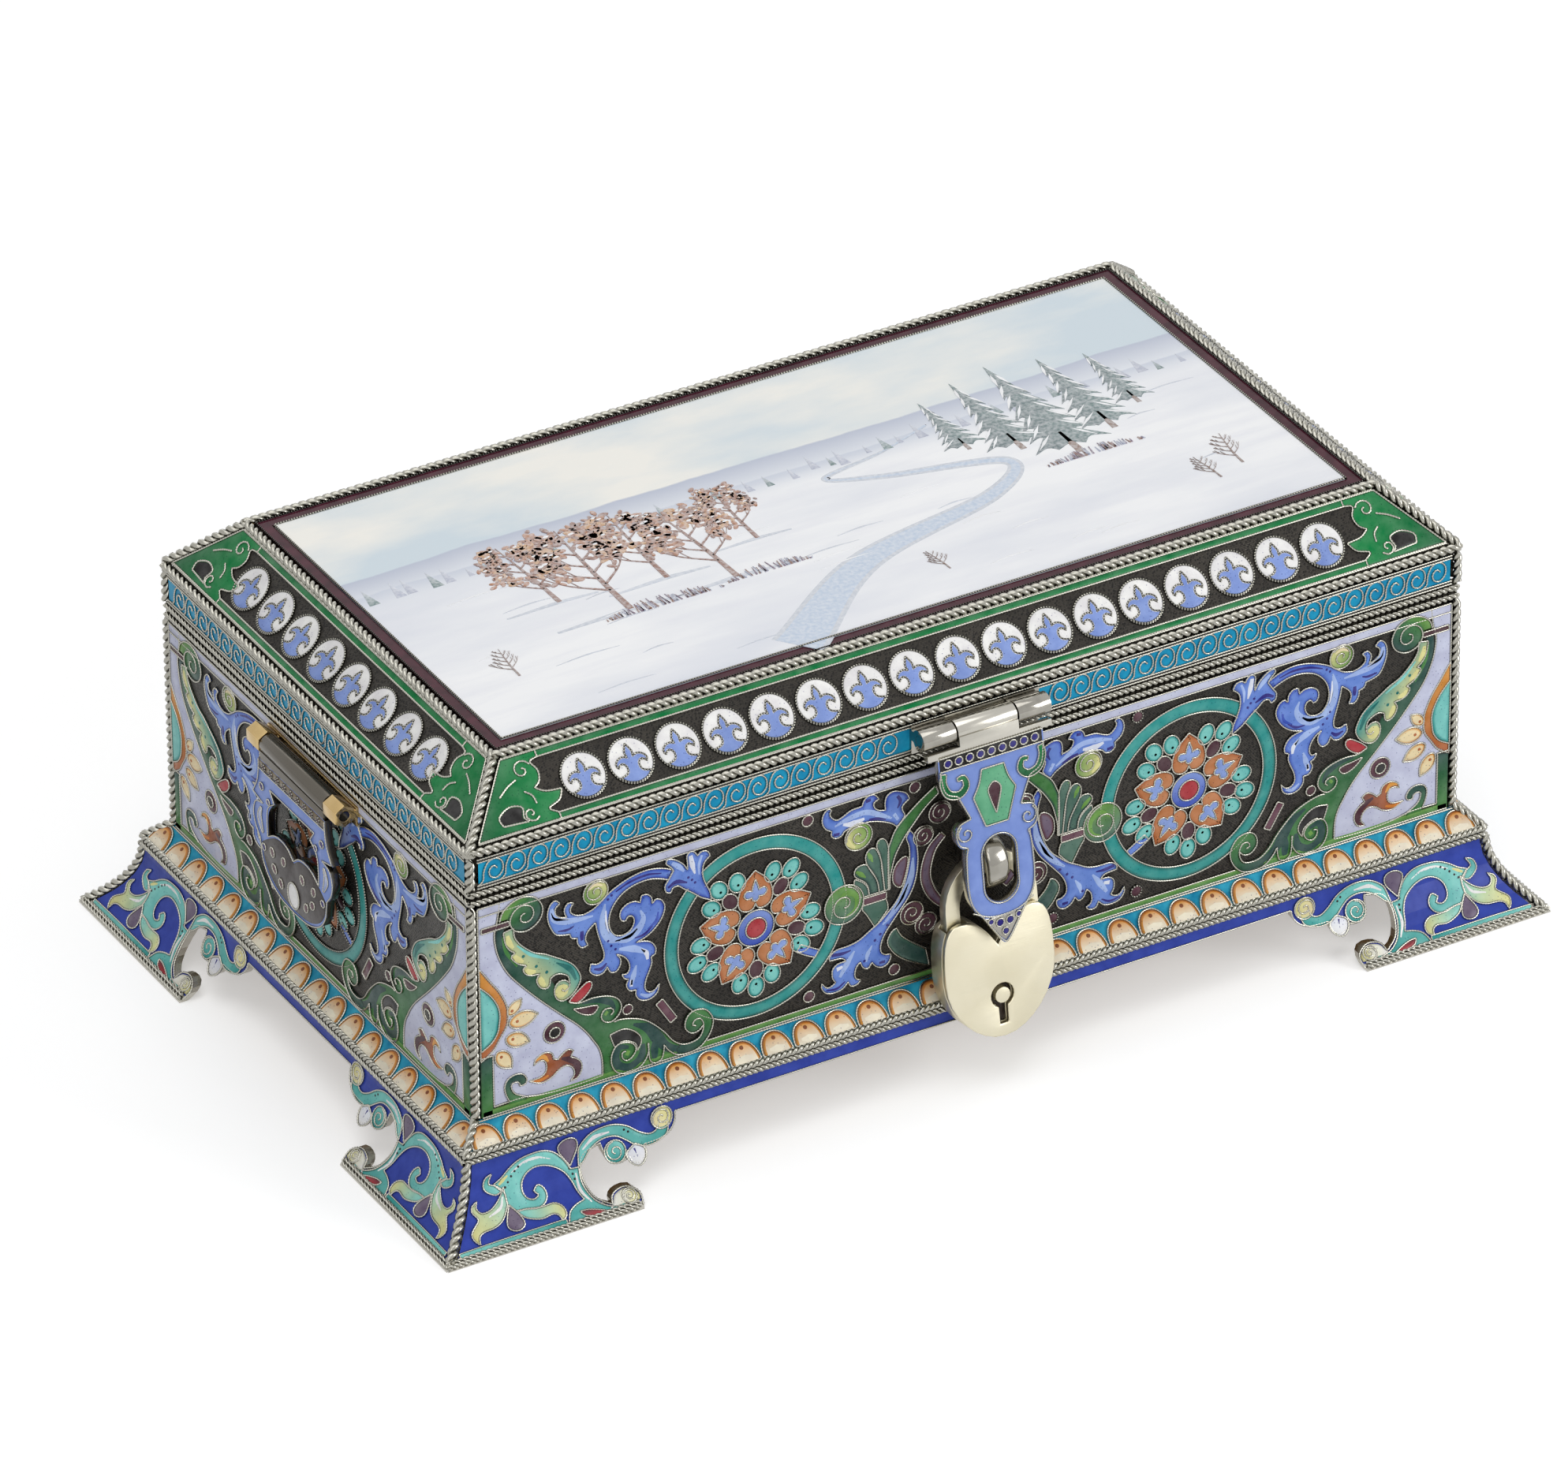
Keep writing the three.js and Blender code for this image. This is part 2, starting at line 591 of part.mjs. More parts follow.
// Rear hinge: one leaf on the body, one on the lid, knuckles in turn along a single pin
function addRearHinge() {
  const hinge = new THREE.Group();
  hinge.position.set(0, halfDepth + HINGE_AXIS_OUT, seam - SEAM_GAP / 2);
  casket.add(hinge);
  const pitch = hingeLength / HINGE_KNUCKLES;
  const bend = HINGE_BARREL + CLEARANCE;
  const webRoot = (HINGE_BARREL + HINGE_BORE) / 2;
  const leaves = [
    { name: 'hinge_leaf_body', side: -1, first: 0 },
    { name: 'hinge_leaf_lid', side: 1, first: 1 },
  ];
  for (const { name, side, first } of leaves) {
    const profile = [
      new THREE.Vector2(-HINGE_AXIS_OUT, side * (bend + HINGE_LEAF_REACH)),
      new THREE.Vector2(-HINGE_AXIS_OUT + HINGE_LEAF, side * (bend + HINGE_LEAF_REACH)),
      new THREE.Vector2(-HINGE_AXIS_OUT + HINGE_LEAF, side * bend),
      new THREE.Vector2(HINGE_BORE / 2, side * webRoot),
      new THREE.Vector2(-webRoot, side * HINGE_BORE / 2),
      new THREE.Vector2(-HINGE_AXIS_OUT, side * bend),
    ];
    const pieces = [];
    for (let i = first; i < HINGE_KNUCKLES; i += 2) {
      const fromX = -hingeLength / 2 + i * pitch + KNUCKLE_GAP / 2;
      const length = pitch - KNUCKLE_GAP;
      pieces.push(knuckle(HINGE_BARREL, HINGE_BORE, fromX, fromX + length));
      const web = new THREE.ExtrudeGeometry(new THREE.Shape(profile), { depth: length, bevelEnabled: false });
      pieces.push(alongX(web).translate(fromX, 0, 0));
    }
    const strip = boxBetween(
      [-hingeLength / 2, -HINGE_AXIS_OUT, bend + CLEARANCE],
      [hingeLength / 2, -HINGE_AXIS_OUT + HINGE_LEAF, bend + HINGE_LEAF_REACH],
    );
    pieces.push(side > 0 ? strip : strip.rotateX(Math.PI).translate(0, -2 * HINGE_AXIS_OUT + HINGE_LEAF, 0));
    const bore = boreCutter(HINGE_BORE, 2 * hingeLength);
    addPiece(hinge, name, cutFrom(joined(pieces), [bore]), 'silver');
  }
  addPin(hinge, 'hinge_pin', hingeLength, HINGE_BORE);
}

const haspAxisUp = seam + HASP_AXIS_ABOVE_SEAM;
const eyeUp = seam - EYE_BELOW_SEAM;

// Staple: a loop of thick bar standing out of the front wall, with its eye running along X
function addStaple() {
  const outer = EYE_RADIUS + STAPLE_BAR;
  const loop = new THREE.Shape();
  loop.moveTo(0, outer);
  loop.lineTo(-EYE_OUT, outer);
  loop.absarc(-EYE_OUT, 0, outer, Math.PI / 2, (3 * Math.PI) / 2, false);
  loop.lineTo(0, -outer);
  const eye = new THREE.Path();
  eye.moveTo(-STAPLE_BACK, EYE_RADIUS);
  eye.lineTo(-EYE_OUT, EYE_RADIUS);
  eye.absarc(-EYE_OUT, 0, EYE_RADIUS, Math.PI / 2, (3 * Math.PI) / 2, false);
  eye.lineTo(-STAPLE_BACK, -EYE_RADIUS);
  loop.holes.push(eye);
  const bar = new THREE.ExtrudeGeometry(loop, {
    depth: STAPLE_WIDTH - 2 * STAPLE_ROUND,
    bevelSize: STAPLE_ROUND,
    bevelThickness: STAPLE_ROUND,
    bevelOffset: -STAPLE_ROUND,
    bevelSegments: 3,
    curveSegments: 8,
  });
  bar.translate(0, 0, STAPLE_ROUND - STAPLE_WIDTH / 2);
  const staple = addPiece(casket, 'staple', alongX(bar), 'silver');
  staple.position.set(0, -halfDepth, eyeUp);
}

// Outline of the hasp: head with scroll corners, waist, ears, bow round the slot and pointed tip
function haspShape() {
  const half = new THREE.Path();
  const head = HASP_HEAD_WIDTH / 2;
  const waist = HASP_WAIST_WIDTH / 2;
  const ear = HASP_EAR_WIDTH / 2;
  const bow = HASP_BOW_WIDTH / 2;
  const tip = HASP_TIP_WIDTH / 2;
  half.moveTo(head, -HASP_FLANGE_DROP - HASP_FLANGE / 2);
  half.lineTo(head, -HASP_HEAD);
  half.quadraticCurveTo(head, -HASP_SCROLL, HASP_SCROLL_WIDTH / 2, -HASP_SCROLL);
  half.lineTo(waist, -HASP_WAIST);
  half.quadraticCurveTo(ear, -HASP_WAIST, ear, -HASP_EAR);
  half.quadraticCurveTo(ear, -HASP_EAR_END, HASP_EAR_END_WIDTH / 2, -HASP_EAR_END);
  half.quadraticCurveTo(bow, -HASP_EAR_END, bow, -HASP_BOW);
  half.quadraticCurveTo(bow, -SLOT_BOTTOM, tip, -HASP_BOW_END);
  half.lineTo(HASP_TIP_ROUND, -HASP_LENGTH + HASP_TIP_ROUND);
  half.quadraticCurveTo(HASP_TIP_ROUND / 2, -HASP_LENGTH, 0, -HASP_LENGTH);
  const shape = mirroredShape(half, 5);
  const radius = SLOT_WIDTH / 2;
  const slot = new THREE.Path();
  slot.absarc(0, -SLOT_TOP - radius, radius, 0, Math.PI, false);
  slot.absarc(0, -SLOT_BOTTOM + radius, radius, Math.PI, 2 * Math.PI, false);
  shape.holes.push(slot);
  return shape;
}

// Hasp, its leaf on the lid's frieze and the pin between them
function addHasp() {
  const mount = new THREE.Group();
  mount.position.set(0, -halfDepth - HASP_AXIS_OUT, haspAxisUp);
  casket.add(mount);
  const end = HASP_HINGE_LENGTH / 2;
  const inner = HASP_KNUCKLE / 2 + KNUCKLE_GAP;
  const leafTop = FRIEZE_HEIGHT - HASP_AXIS_ABOVE_SEAM - ROPE_RADIUS - 2 * CLEARANCE;
  const leaf = [boxBetween(
    [-end, HASP_AXIS_OUT - HASP_LEAF, leafTop - HASP_LEAF_HEIGHT],
    [end, HASP_AXIS_OUT, leafTop],
  )];
  for (const side of [-1, 1]) {
    const [fromX, toX] = side < 0 ? [-end, -inner] : [inner, end];
    leaf.push(knuckle(HASP_BARREL, HASP_BORE, fromX, toX));
    leaf.push(boxBetween([fromX, 0, -HASP_BORE], [toX, HASP_AXIS_OUT - HASP_LEAF / 2, HASP_BORE]));
  }
  const bore = boreCutter(HASP_BORE, 2 * HASP_HINGE_LENGTH);
  addPiece(mount, 'hasp_leaf', cutFrom(joined(leaf), [bore]), 'silver');
  addPin(mount, 'hasp_pin', HASP_HINGE_LENGTH, HASP_BORE);

  const hanging = new THREE.Group();
  hanging.rotation.x = -HASP_TILT;
  mount.add(hanging);
  const back = -HASP_STAND + HASP_THICKNESS / 2;
  const front = back - HASP_THICKNESS;
  const neck = HASP_KNUCKLE / 2;
  const flange = end - CLEARANCE;
  const hasp = [
    knuckle(HASP_BARREL, HASP_BORE, -neck, neck),
    boxBetween([-neck, front, -HASP_FLANGE_DROP - HASP_FLANGE / 2], [neck, back, -HASP_BORE / 2]),
    boxBetween([-flange, front, -HASP_FLANGE_DROP - HASP_FLANGE], [flange, back, -HASP_FLANGE_DROP]),
    facingFront(plate(haspShape(), HASP_THICKNESS, 6), HASP_STAND),
  ];
  addPiece(hanging, 'hasp', cutFrom(joined(hasp), [bore]), 'mountEnamel');
}

// Heart-shaped outline of the padlock
function lockShape() {
  const side = LOCK_WIDTH / 2;
  const lobe = LOCK_LOBE_SPREAD / 2;
  const flank = (LOCK_NOTCH + LOCK_LOBE_TOP) / 2;
  const hip = (LOCK_BELLY + LOCK_BOTTOM) / 2;
  const half = new THREE.Path();
  half.moveTo(0, -LOCK_NOTCH);
  half.bezierCurveTo(lobe / 4, -flank, lobe / 2, -LOCK_LOBE_TOP, lobe, -LOCK_LOBE_TOP);
  half.bezierCurveTo(side, -LOCK_LOBE_TOP, side, -LOCK_NOTCH, side, -LOCK_BELLY);
  half.bezierCurveTo(side, -hip, side / 2, -LOCK_BOTTOM, 0, -LOCK_BOTTOM);
  return mirroredShape(half, 8);
}

// Keyhole: a round hole with a slot below it
function keyholeShape() {
  const slot = KEYHOLE_SLOT / 2;
  const spread = Math.asin(slot / KEYHOLE_RADIUS);
  const from = -Math.PI / 2 + spread;
  const keyhole = new THREE.Shape();
  keyhole.absarc(0, -KEYHOLE_DROP, KEYHOLE_RADIUS, from, Math.PI - from, false);
  keyhole.lineTo(-slot, -KEYHOLE_DROP - KEYHOLE_LENGTH);
  keyhole.lineTo(slot, -KEYHOLE_DROP - KEYHOLE_LENGTH);
  return keyhole;
}

// Shackle: a half ring with a straight toe on the left and a pierced boss on the right
function shackleShape() {
  const outer = SHACKLE_RADIUS + SHACKLE_BAR / 2;
  const inner = SHACKLE_RADIUS - SHACKLE_BAR / 2;
  const spread = Math.acos(SHACKLE_BAR / 2 / SHACKLE_BOSS);
  const shoulder = SHACKLE_PIN_DROP - Math.sin(spread) * SHACKLE_BOSS;
  const shape = new THREE.Shape();
  shape.moveTo(outer, -shoulder);
  shape.lineTo(outer, -SHACKLE_RADIUS);
  shape.absarc(0, -SHACKLE_RADIUS, outer, 0, Math.PI, false);
  shape.lineTo(-outer, -SHACKLE_PIN_DROP);
  shape.lineTo(-inner, -SHACKLE_PIN_DROP);
  shape.lineTo(-inner, -SHACKLE_RADIUS);
  shape.absarc(0, -SHACKLE_RADIUS, inner, Math.PI, 0, true);
  shape.lineTo(inner, -shoulder);
  const [from, to] = [Math.PI - spread, 2 * Math.PI + spread];
  shape.absarc(SHACKLE_RADIUS, -SHACKLE_PIN_DROP, SHACKLE_BOSS, from, to, false);
  const hole = polygon(SHACKLE_PIN + 2 * PIN_CLEARANCE, PIN_SIDES, SHACKLE_RADIUS, -SHACKLE_PIN_DROP);
  shape.holes.push(new THREE.Path(hole.reverse()));
  return shape;
}

// Padlock: shackle through the staple's eye, body with its key post, front plate and shackle pin
function addPadlock() {
  const hanging = new THREE.Group();
  hanging.position.set(0, -halfDepth - EYE_OUT, eyeUp);
  hanging.rotation.x = -HASP_TILT;
  casket.add(hanging);
  addPiece(hanging, 'shackle', facingFront(plate(shackleShape(), SHACKLE_THICKNESS, 8), 0), 'lockGold');

  const face = LOCK_THICKNESS / 2;
  const coreFront = face - LOCK_PLATE - BED_GAP;
  const coreBack = face - LOCK_PLATE;
  const coreThickness = coreFront + face;
  const slotThickness = coreFront + coreBack + CUT_MARGIN;
  const toeSlotBottom = SHACKLE_PIN_DROP + CLEARANCE;
  const toeOuter = SHACKLE_RADIUS + SHACKLE_BAR / 2 + CLEARANCE;
  const toeInner = SHACKLE_RADIUS - SHACKLE_BAR / 2 - 3 * CLEARANCE;
  const bossLeft = SHACKLE_RADIUS - SHACKLE_BOSS - CLEARANCE;
  const bossBottom = SHACKLE_PIN_DROP + SHACKLE_BOSS + CLEARANCE;
  const core = facingFront(plate(lockShape(), coreThickness), (coreFront - face) / 2);
  const pocket = facingFront(plate(keyholeShape(), 2 * KEYHOLE_DEPTH), coreFront);
  const recesses = [
    boxBetween([-toeOuter, coreBack - slotThickness, -toeSlotBottom], [-toeInner, coreBack, 0]),
    boxBetween([bossLeft, coreBack - slotThickness, -bossBottom], [LOCK_WIDTH, coreBack, 0]),
    pocket,
  ];
  const postBack = coreFront - KEYHOLE_DEPTH - BED_GAP;
  const post = new THREE.CylinderGeometry(KEY_POST_RADIUS, KEY_POST_RADIUS, face - postBack, PIN_SIDES);
  post.translate(0, -(face + postBack) / 2, -KEYHOLE_DROP);
  addPiece(hanging, 'lock_body', joined([cutFrom(core, recesses), post]), 'lockGold');
  const cover = lockShape();
  cover.holes.push(keyholeShape());
  const frontPlate = facingFront(plate(cover, LOCK_PLATE), face - LOCK_PLATE / 2);
  addPiece(hanging, 'lock_front_plate', frontPlate, 'lockGold');
  const reach = coreBack - BED_GAP;
  const pin = new THREE.Vector3(SHACKLE_RADIUS, reach, -SHACKLE_PIN_DROP);
  addRod(hanging, 'shackle_pin', pin, pin.clone().setY(-reach), SHACKLE_PIN, PIN_SIDES, 'lockGold');
}

// Outline of a drop handle: head under the barrel, wings, arms round the finger gap and rounded end
function handleShape() {
  const neck = HANDLE_KNUCKLE / 2;
  const head = HANDLE_HEAD_WIDTH / 2;
  const headTop = HANDLE_BARREL + 2 * CLEARANCE;
  const arm = HANDLE_ARM_WIDTH / 2;
  const ankle = HANDLE_ANKLE_WIDTH / 2;
  const half = new THREE.Path();
  half.moveTo(neck, -HANDLE_BORE);
  half.lineTo(neck, -headTop);
  half.lineTo(head, -headTop);
  half.lineTo(head, -HANDLE_SHOULDER);
  half.quadraticCurveTo(head, -HANDLE_GAP_TOP, HANDLE_WING_WIDTH / 2, -HANDLE_WING);
  half.lineTo(HANDLE_NOTCH_WIDTH / 2, -HANDLE_NOTCH);
  half.quadraticCurveTo(arm, -HANDLE_NOTCH, arm, -HANDLE_ARM);
  half.quadraticCurveTo(arm, -HANDLE_GAP_BOTTOM, ankle, -HANDLE_ANKLE);
  half.quadraticCurveTo(ankle, -HANDLE_LENGTH, 0, -HANDLE_LENGTH);
  const shape = mirroredShape(half, 5);

  const waist = HANDLE_GAP_WAIST_WIDTH / 2;
  const belly = HANDLE_GAP_BELLY_WIDTH / 2;
  const gap = new THREE.Path();
  gap.moveTo(HANDLE_GAP_WIDTH / 2, -HANDLE_GAP_TOP);
  gap.lineTo(waist, -HANDLE_GAP_WAIST);
  gap.quadraticCurveTo(belly, -HANDLE_NOTCH, belly, -HANDLE_GAP_BELLY);
  gap.lineTo(belly, -HANDLE_GAP_BOTTOM);
  gap.bezierCurveTo(waist, -HANDLE_GAP_LOBE, belly / 4, -HANDLE_GAP_LOBE, 0, -HANDLE_GAP_BOTTOM);
  shape.holes.push(new THREE.Path(mirroredShape(gap, 5).getPoints().reverse()));
  return shape;
}

// Bracket of a drop handle: a leaf on the wall with a faceted lug at each end
function handleBracket() {
  const reach = HANDLE_HINGE_LENGTH / 2;
  const inner = HANDLE_KNUCKLE / 2 + KNUCKLE_GAP;
  const leafTop = HANDLE_BARREL / 2;
  const pieces = [boxBetween(
    [-reach, HANDLE_AXIS_OUT - HANDLE_LEAF, leafTop - HANDLE_LEAF_HEIGHT],
    [reach, HANDLE_AXIS_OUT, leafTop],
  )];
  for (const fromX of [-reach, inner]) {
    const section = new THREE.Shape(polygon(HANDLE_LUG, HANDLE_LUG_SIDES));
    const lug = new THREE.ExtrudeGeometry(section, { depth: reach - inner, bevelEnabled: false });
    pieces.push(alongX(lug).translate(fromX, 0, 0));
    pieces.push(boxBetween(
      [fromX, 0, -HANDLE_BORE],
      [fromX + reach - inner, HANDLE_AXIS_OUT - HANDLE_LEAF / 2, HANDLE_BORE / 2],
    ));
  }
  return joined(pieces);
}

// Drop of a handle: barrel, web and pierced plate
function handleDrop() {
  const neck = HANDLE_KNUCKLE / 2;
  const front = -HANDLE_STAND - HANDLE_THICKNESS / 2;
  return joined([
    knuckle(HANDLE_BARREL, HANDLE_BORE, -neck, neck),
    boxBetween([-neck, front, -HANDLE_BARREL], [neck, front + HANDLE_THICKNESS, -HANDLE_BORE]),
    facingFront(plate(handleShape(), HANDLE_THICKNESS, 6), HANDLE_STAND),
  ]);
}

// A drop handle on each end: bracket on the wall, pin and pierced drop
function addHandles() {
  const ends = SIDES.filter(({ name }) => name === 'left' || name === 'right');
  const bore = boreCutter(HANDLE_BORE, 2 * HANDLE_HINGE_LENGTH);
  for (const { name, faceHalf, turn } of ends) {
    const end = new THREE.Group();
    end.rotation.z = turn;
    casket.add(end);
    const mount = new THREE.Group();
    mount.position.set(0, -faceHalf - HANDLE_AXIS_OUT, seam - HANDLE_AXIS_BELOW_SEAM);
    end.add(mount);
    addPiece(mount, `handle_bracket_${name}`, cutFrom(handleBracket(), [bore]), 'gilt');
    addPin(mount, `handle_pin_${name}`, HANDLE_HINGE_LENGTH, HANDLE_BORE);
    addPiece(mount, `handle_${name}`, cutFrom(handleDrop(), [bore]), 'mountEnamel');
  }
}

addSkirts();
addBase();
addBody();
addLid();
addRearHinge();
addHasp();
addStaple();
addPadlock();
addHandles();

export default casket;
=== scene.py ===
"""Looks of the enamel casket: wire-framed enamel, twisted wires, gilt and silver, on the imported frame."""
import logging
import math
import random
from abc import ABC, abstractmethod
from dataclasses import dataclass, field, replace
from enum import Enum
from typing import Iterable, Sequence

import bmesh
import bpy
import numpy as np
from mathutils import Matrix, Vector


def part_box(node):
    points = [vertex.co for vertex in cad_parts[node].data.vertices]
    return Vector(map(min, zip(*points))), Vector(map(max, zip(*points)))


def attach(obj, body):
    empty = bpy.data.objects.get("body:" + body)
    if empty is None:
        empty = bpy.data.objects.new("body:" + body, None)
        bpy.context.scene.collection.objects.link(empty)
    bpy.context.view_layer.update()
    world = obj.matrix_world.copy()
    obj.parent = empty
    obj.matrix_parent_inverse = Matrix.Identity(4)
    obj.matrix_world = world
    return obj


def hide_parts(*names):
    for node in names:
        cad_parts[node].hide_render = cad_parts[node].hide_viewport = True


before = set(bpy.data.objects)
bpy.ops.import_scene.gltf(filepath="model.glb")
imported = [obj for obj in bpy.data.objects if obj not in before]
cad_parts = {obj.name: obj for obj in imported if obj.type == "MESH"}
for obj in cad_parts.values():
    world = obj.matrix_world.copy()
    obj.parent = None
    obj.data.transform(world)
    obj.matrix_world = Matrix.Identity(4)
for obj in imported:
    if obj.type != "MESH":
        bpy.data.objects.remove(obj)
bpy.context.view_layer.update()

LOG = logging.getLogger("casket")
MM = 0.001
OCTAGON = math.cos(math.pi / 8)
ROPE_ROOM = 1.2
MEDIUM_WIRE = 0.22
SLIM_WIRE = 0.19
FINE_WIRE = 0.17
STROKE_DOME = 0.01
STROKE_RISE = 0.085
DOT_RISE = 0.09
DOT_STEPS = 9
ROUND_SPACING = 0.55
ROUND_STEPS = (10, 72)
HASP_LEAN = math.radians(8.5)
CLOUD_SCALE = 420.0
ENAMEL_SHINE = 0.1
ENAMEL_COAT = 0.02


def linear_light(hexes: str) -> np.ndarray:
    """Turns a colour written as six hex digits to linear light, by the sRGB curve."""
    channels = np.array([int(hexes[i:i + 2], 16) / 255 for i in (0, 2, 4)])
    return np.where(channels <= 0.04045, channels / 12.92, ((channels + 0.055) / 1.055) ** 2.4)


class Tint(Enum):
    """Enamel and paint colours, as they look in daylight (sRGB)."""

    BLACK = "1d1b1a"
    LILAC = "d3d8ef"
    TEAL = "2fa39c"
    TEAL_DEEP = "14766f"
    AQUA = "86dbd1"
    GREEN = "43883d"
    GREEN_LIGHT = "72a64a"
    GREEN_DEEP = "1f4a44"
    GREEN_GREY = "4d7463"
    EMERALD = "07914a"
    BOTTLE = "046636"
    MINT = "63b487"
    BLUE = "3253c0"
    BLUE_MID = "6c92e2"
    BLUE_PALE = "a9c3f5"
    BLUE_WHITE = "eaf0fd"
    LAVENDER = "8aa4e4"
    INK = "2b2584"
    YELLOW = "ebe79c"
    MAROON = "4b2430"
    MULBERRY = "6b4250"
    RED = "b62f38"
    RUST = "b8642a"
    COPPER = "c98350"
    ORANGE = "e0862a"
    AMBER = "eba445"
    CREAM = "fbecbc"
    IVORY = "fff6dc"
    BROWN = "8a4a1e"
    # Painted shadow in the padlock's keyhole.
    SHADOW_BROWN = "2a1a10"
    WHITE = "fdfdfa"
    GREY_LILAC = "76687f"
    TAUPE = "8a7b62"
    SMOKE = "4e4846"
    SNOW = "f3f4f6"
    HAZE = "c3cad6"
    HILL = "a5abc0"
    PINE = "3f6a68"
    PINE_DEEP = "2f4d55"
    RUSSET = "a5642f"
    TWIG = "7a5a48"
    PLUM = "6b4a68"
    ICE = "b3c4da"
    OCHRE = "c08a48"
    CHESTNUT = "7c4322"

    @property
    def linear(self) -> np.ndarray:
        """The colour as linear light."""
        return linear_light(self.value)


class Body(Enum):
    """Rigid bodies of the frame that pieces ride on."""

    CASKET = "casket"
    LID = "lid"
    HASP = "hasp"
    SHACKLE = "shackle"
    PADLOCK = "padlock"
    HANDLE_LEFT = "handle_left"
    HANDLE_RIGHT = "handle_right"


@dataclass(frozen=True)
class Sizes:
    """Sizes of the casket in millimetres, read from the frame where a node shows them."""

    half_length: float
    half_depth: float
    ledge_reach: float
    base_top: float
    wall_bottom: float
    wall_top: float
    skirt_height: float
    foot_flare: float
    slope_bottom: float
    lid_top: float
    slope_inset: float
    plaque_top: float

    @classmethod
    def from_frame(cls) -> "Sizes":
        """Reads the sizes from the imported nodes.

        Returns:
            The casket's sizes.
        """
        def top(node: str) -> Vector:
            """Gives the upper corner of a node's box in millimetres."""
            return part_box(node)[1] / MM

        def low(node: str) -> Vector:
            """Gives the lower corner of a node's box in millimetres."""
            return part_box(node)[0] / MM

        rope = top("slope_rope").z - low("slope_rope").z
        rope_cover, rope_room = 0.25, 0.3
        half_depth = top("wall_panel_back").y
        return cls(
            half_length=top("wall_panel_right").x,
            half_depth=half_depth,
            ledge_reach=top("bead_band_back").y - half_depth,
            base_top=low("bead_band_front").z,
            wall_bottom=top("bead_band_front").z,
            wall_top=top("wall_panel_front").z,
            skirt_height=top("skirt_front").z,
            foot_flare=top("skirt_back").y - half_depth,
            slope_bottom=(top("slope_rope").z + low("slope_rope").z) / 2 + rope_cover,
            lid_top=top("plaque_frame").z,
            slope_inset=half_depth - (top("top_rope").y - rope / 2) + rope_room,
            plaque_top=top("plaque").z,
        )

    @property
    def slope_rise(self) -> float:
        """Height of the lid's slope."""
        return self.lid_top - self.slope_bottom

    @property
    def slope_length(self) -> float:
        """Length of the lid's slope along its face."""
        return math.hypot(self.slope_rise, self.slope_inset)

    def flare(self, up: np.ndarray) -> np.ndarray:
        """How far the skirt's outer face stands out of the walls at a height."""
        spread = self.foot_flare - self.ledge_reach
        return self.ledge_reach + spread * (1 - up / self.skirt_height) ** 2


SIZES = Sizes.from_frame()


@dataclass(frozen=True)
class Side:
    """One side of the casket: its name, half its run, its distance from the middle and its turn."""

    name: str
    run: float
    face: float
    turn: float


FRONT = Side("front", SIZES.half_length, SIZES.half_depth, 0.0)
RIGHT = Side("right", SIZES.half_depth, SIZES.half_length, math.pi / 2)
BACK = Side("back", SIZES.half_length, SIZES.half_depth, math.pi)
LEFT = Side("left", SIZES.half_depth, SIZES.half_length, -math.pi / 2)
SIDES = (FRONT, RIGHT, BACK, LEFT)
CORNERS = {"front_left": (-1, -1), "front_right": (1, -1), "back_right": (1, 1), "back_left": (-1, 1)}


class Face(ABC):
    """A surface that a flat drawing is laid on: along, up and lift, in millimetres."""

    @abstractmethod
    def place(self, flat: np.ndarray, lift: np.ndarray) -> np.ndarray:
        """Places flat points on the face.

        Args:
            flat: Points along and up the face.
            lift: How far each point stands out of the face.

        Returns:
            Points of the frame in metres.
        """


@dataclass(frozen=True)
class SideFace(Face):
    """A face on one side of the casket, the same all along its run."""

    side: Side

    def section(self, up: np.ndarray, lift: np.ndarray) -> tuple[np.ndarray, np.ndarray]:
        """Gives the outwards distance and height of points of the section."""
        return lift, up

    def place(self, flat: np.ndarray, lift: np.ndarray) -> np.ndarray:
        """Places flat points on the side.

        Args:
            flat: Points along and up the face.
            lift: How far each point stands out of the face.

        Returns:
            Points of the frame in metres.
        """
        out, height = self.section(flat[:, 1], lift)
        x, y = flat[:, 0], -(self.side.face + out)
        cos, sin = math.cos(self.side.turn), math.sin(self.side.turn)
        return np.column_stack((cos * x - sin * y, sin * x + cos * y, height)) * MM


@dataclass(frozen=True)
class StandingFace(SideFace):
    """An upright face at a distance in front of the walls."""

    stand: float

    def section(self, up: np.ndarray, lift: np.ndarray) -> tuple[np.ndarray, np.ndarray]:
        """Gives the outwards distance and height of points of the section."""
        return self.stand + lift, up


@dataclass(frozen=True)
class SlopeFace(SideFace):
    """The lid's slope. Up is the distance along the slope from its lower edge."""

    def section(self, up: np.ndarray, lift: np.ndarray) -> tuple[np.ndarray, np.ndarray]:
        """Gives the outwards distance and height of points of the section.

        Args:
            up: Places up the face.
            lift: How far each point stands out of the face.

        Returns:
            Distances out of the wall, and heights.
        """
        out = (-up * SIZES.slope_inset + lift * SIZES.slope_rise) / SIZES.slope_length
        rise = (up * SIZES.slope_rise + lift * SIZES.slope_inset) / SIZES.slope_length
        return out, SIZES.slope_bottom + rise


@dataclass(frozen=True)
class BandFace(SideFace):
    """The sloped bead band. Up is the distance along it from the ledge."""

    def section(self, up: np.ndarray, lift: np.ndarray) -> tuple[np.ndarray, np.ndarray]:
        """Gives the outwards distance and height of points of the section.

        Args:
            up: Places up the face.
            lift: How far each point stands out of the face.

        Returns:
            Distances out of the wall, and heights.
        """
        rise = SIZES.wall_bottom - SIZES.base_top
        length = math.hypot(rise, SIZES.ledge_reach)
        out = SIZES.ledge_reach - up * SIZES.ledge_reach / length + lift * rise / length
        height = SIZES.base_top + up * rise / length + lift * SIZES.ledge_reach / length
        return out, height


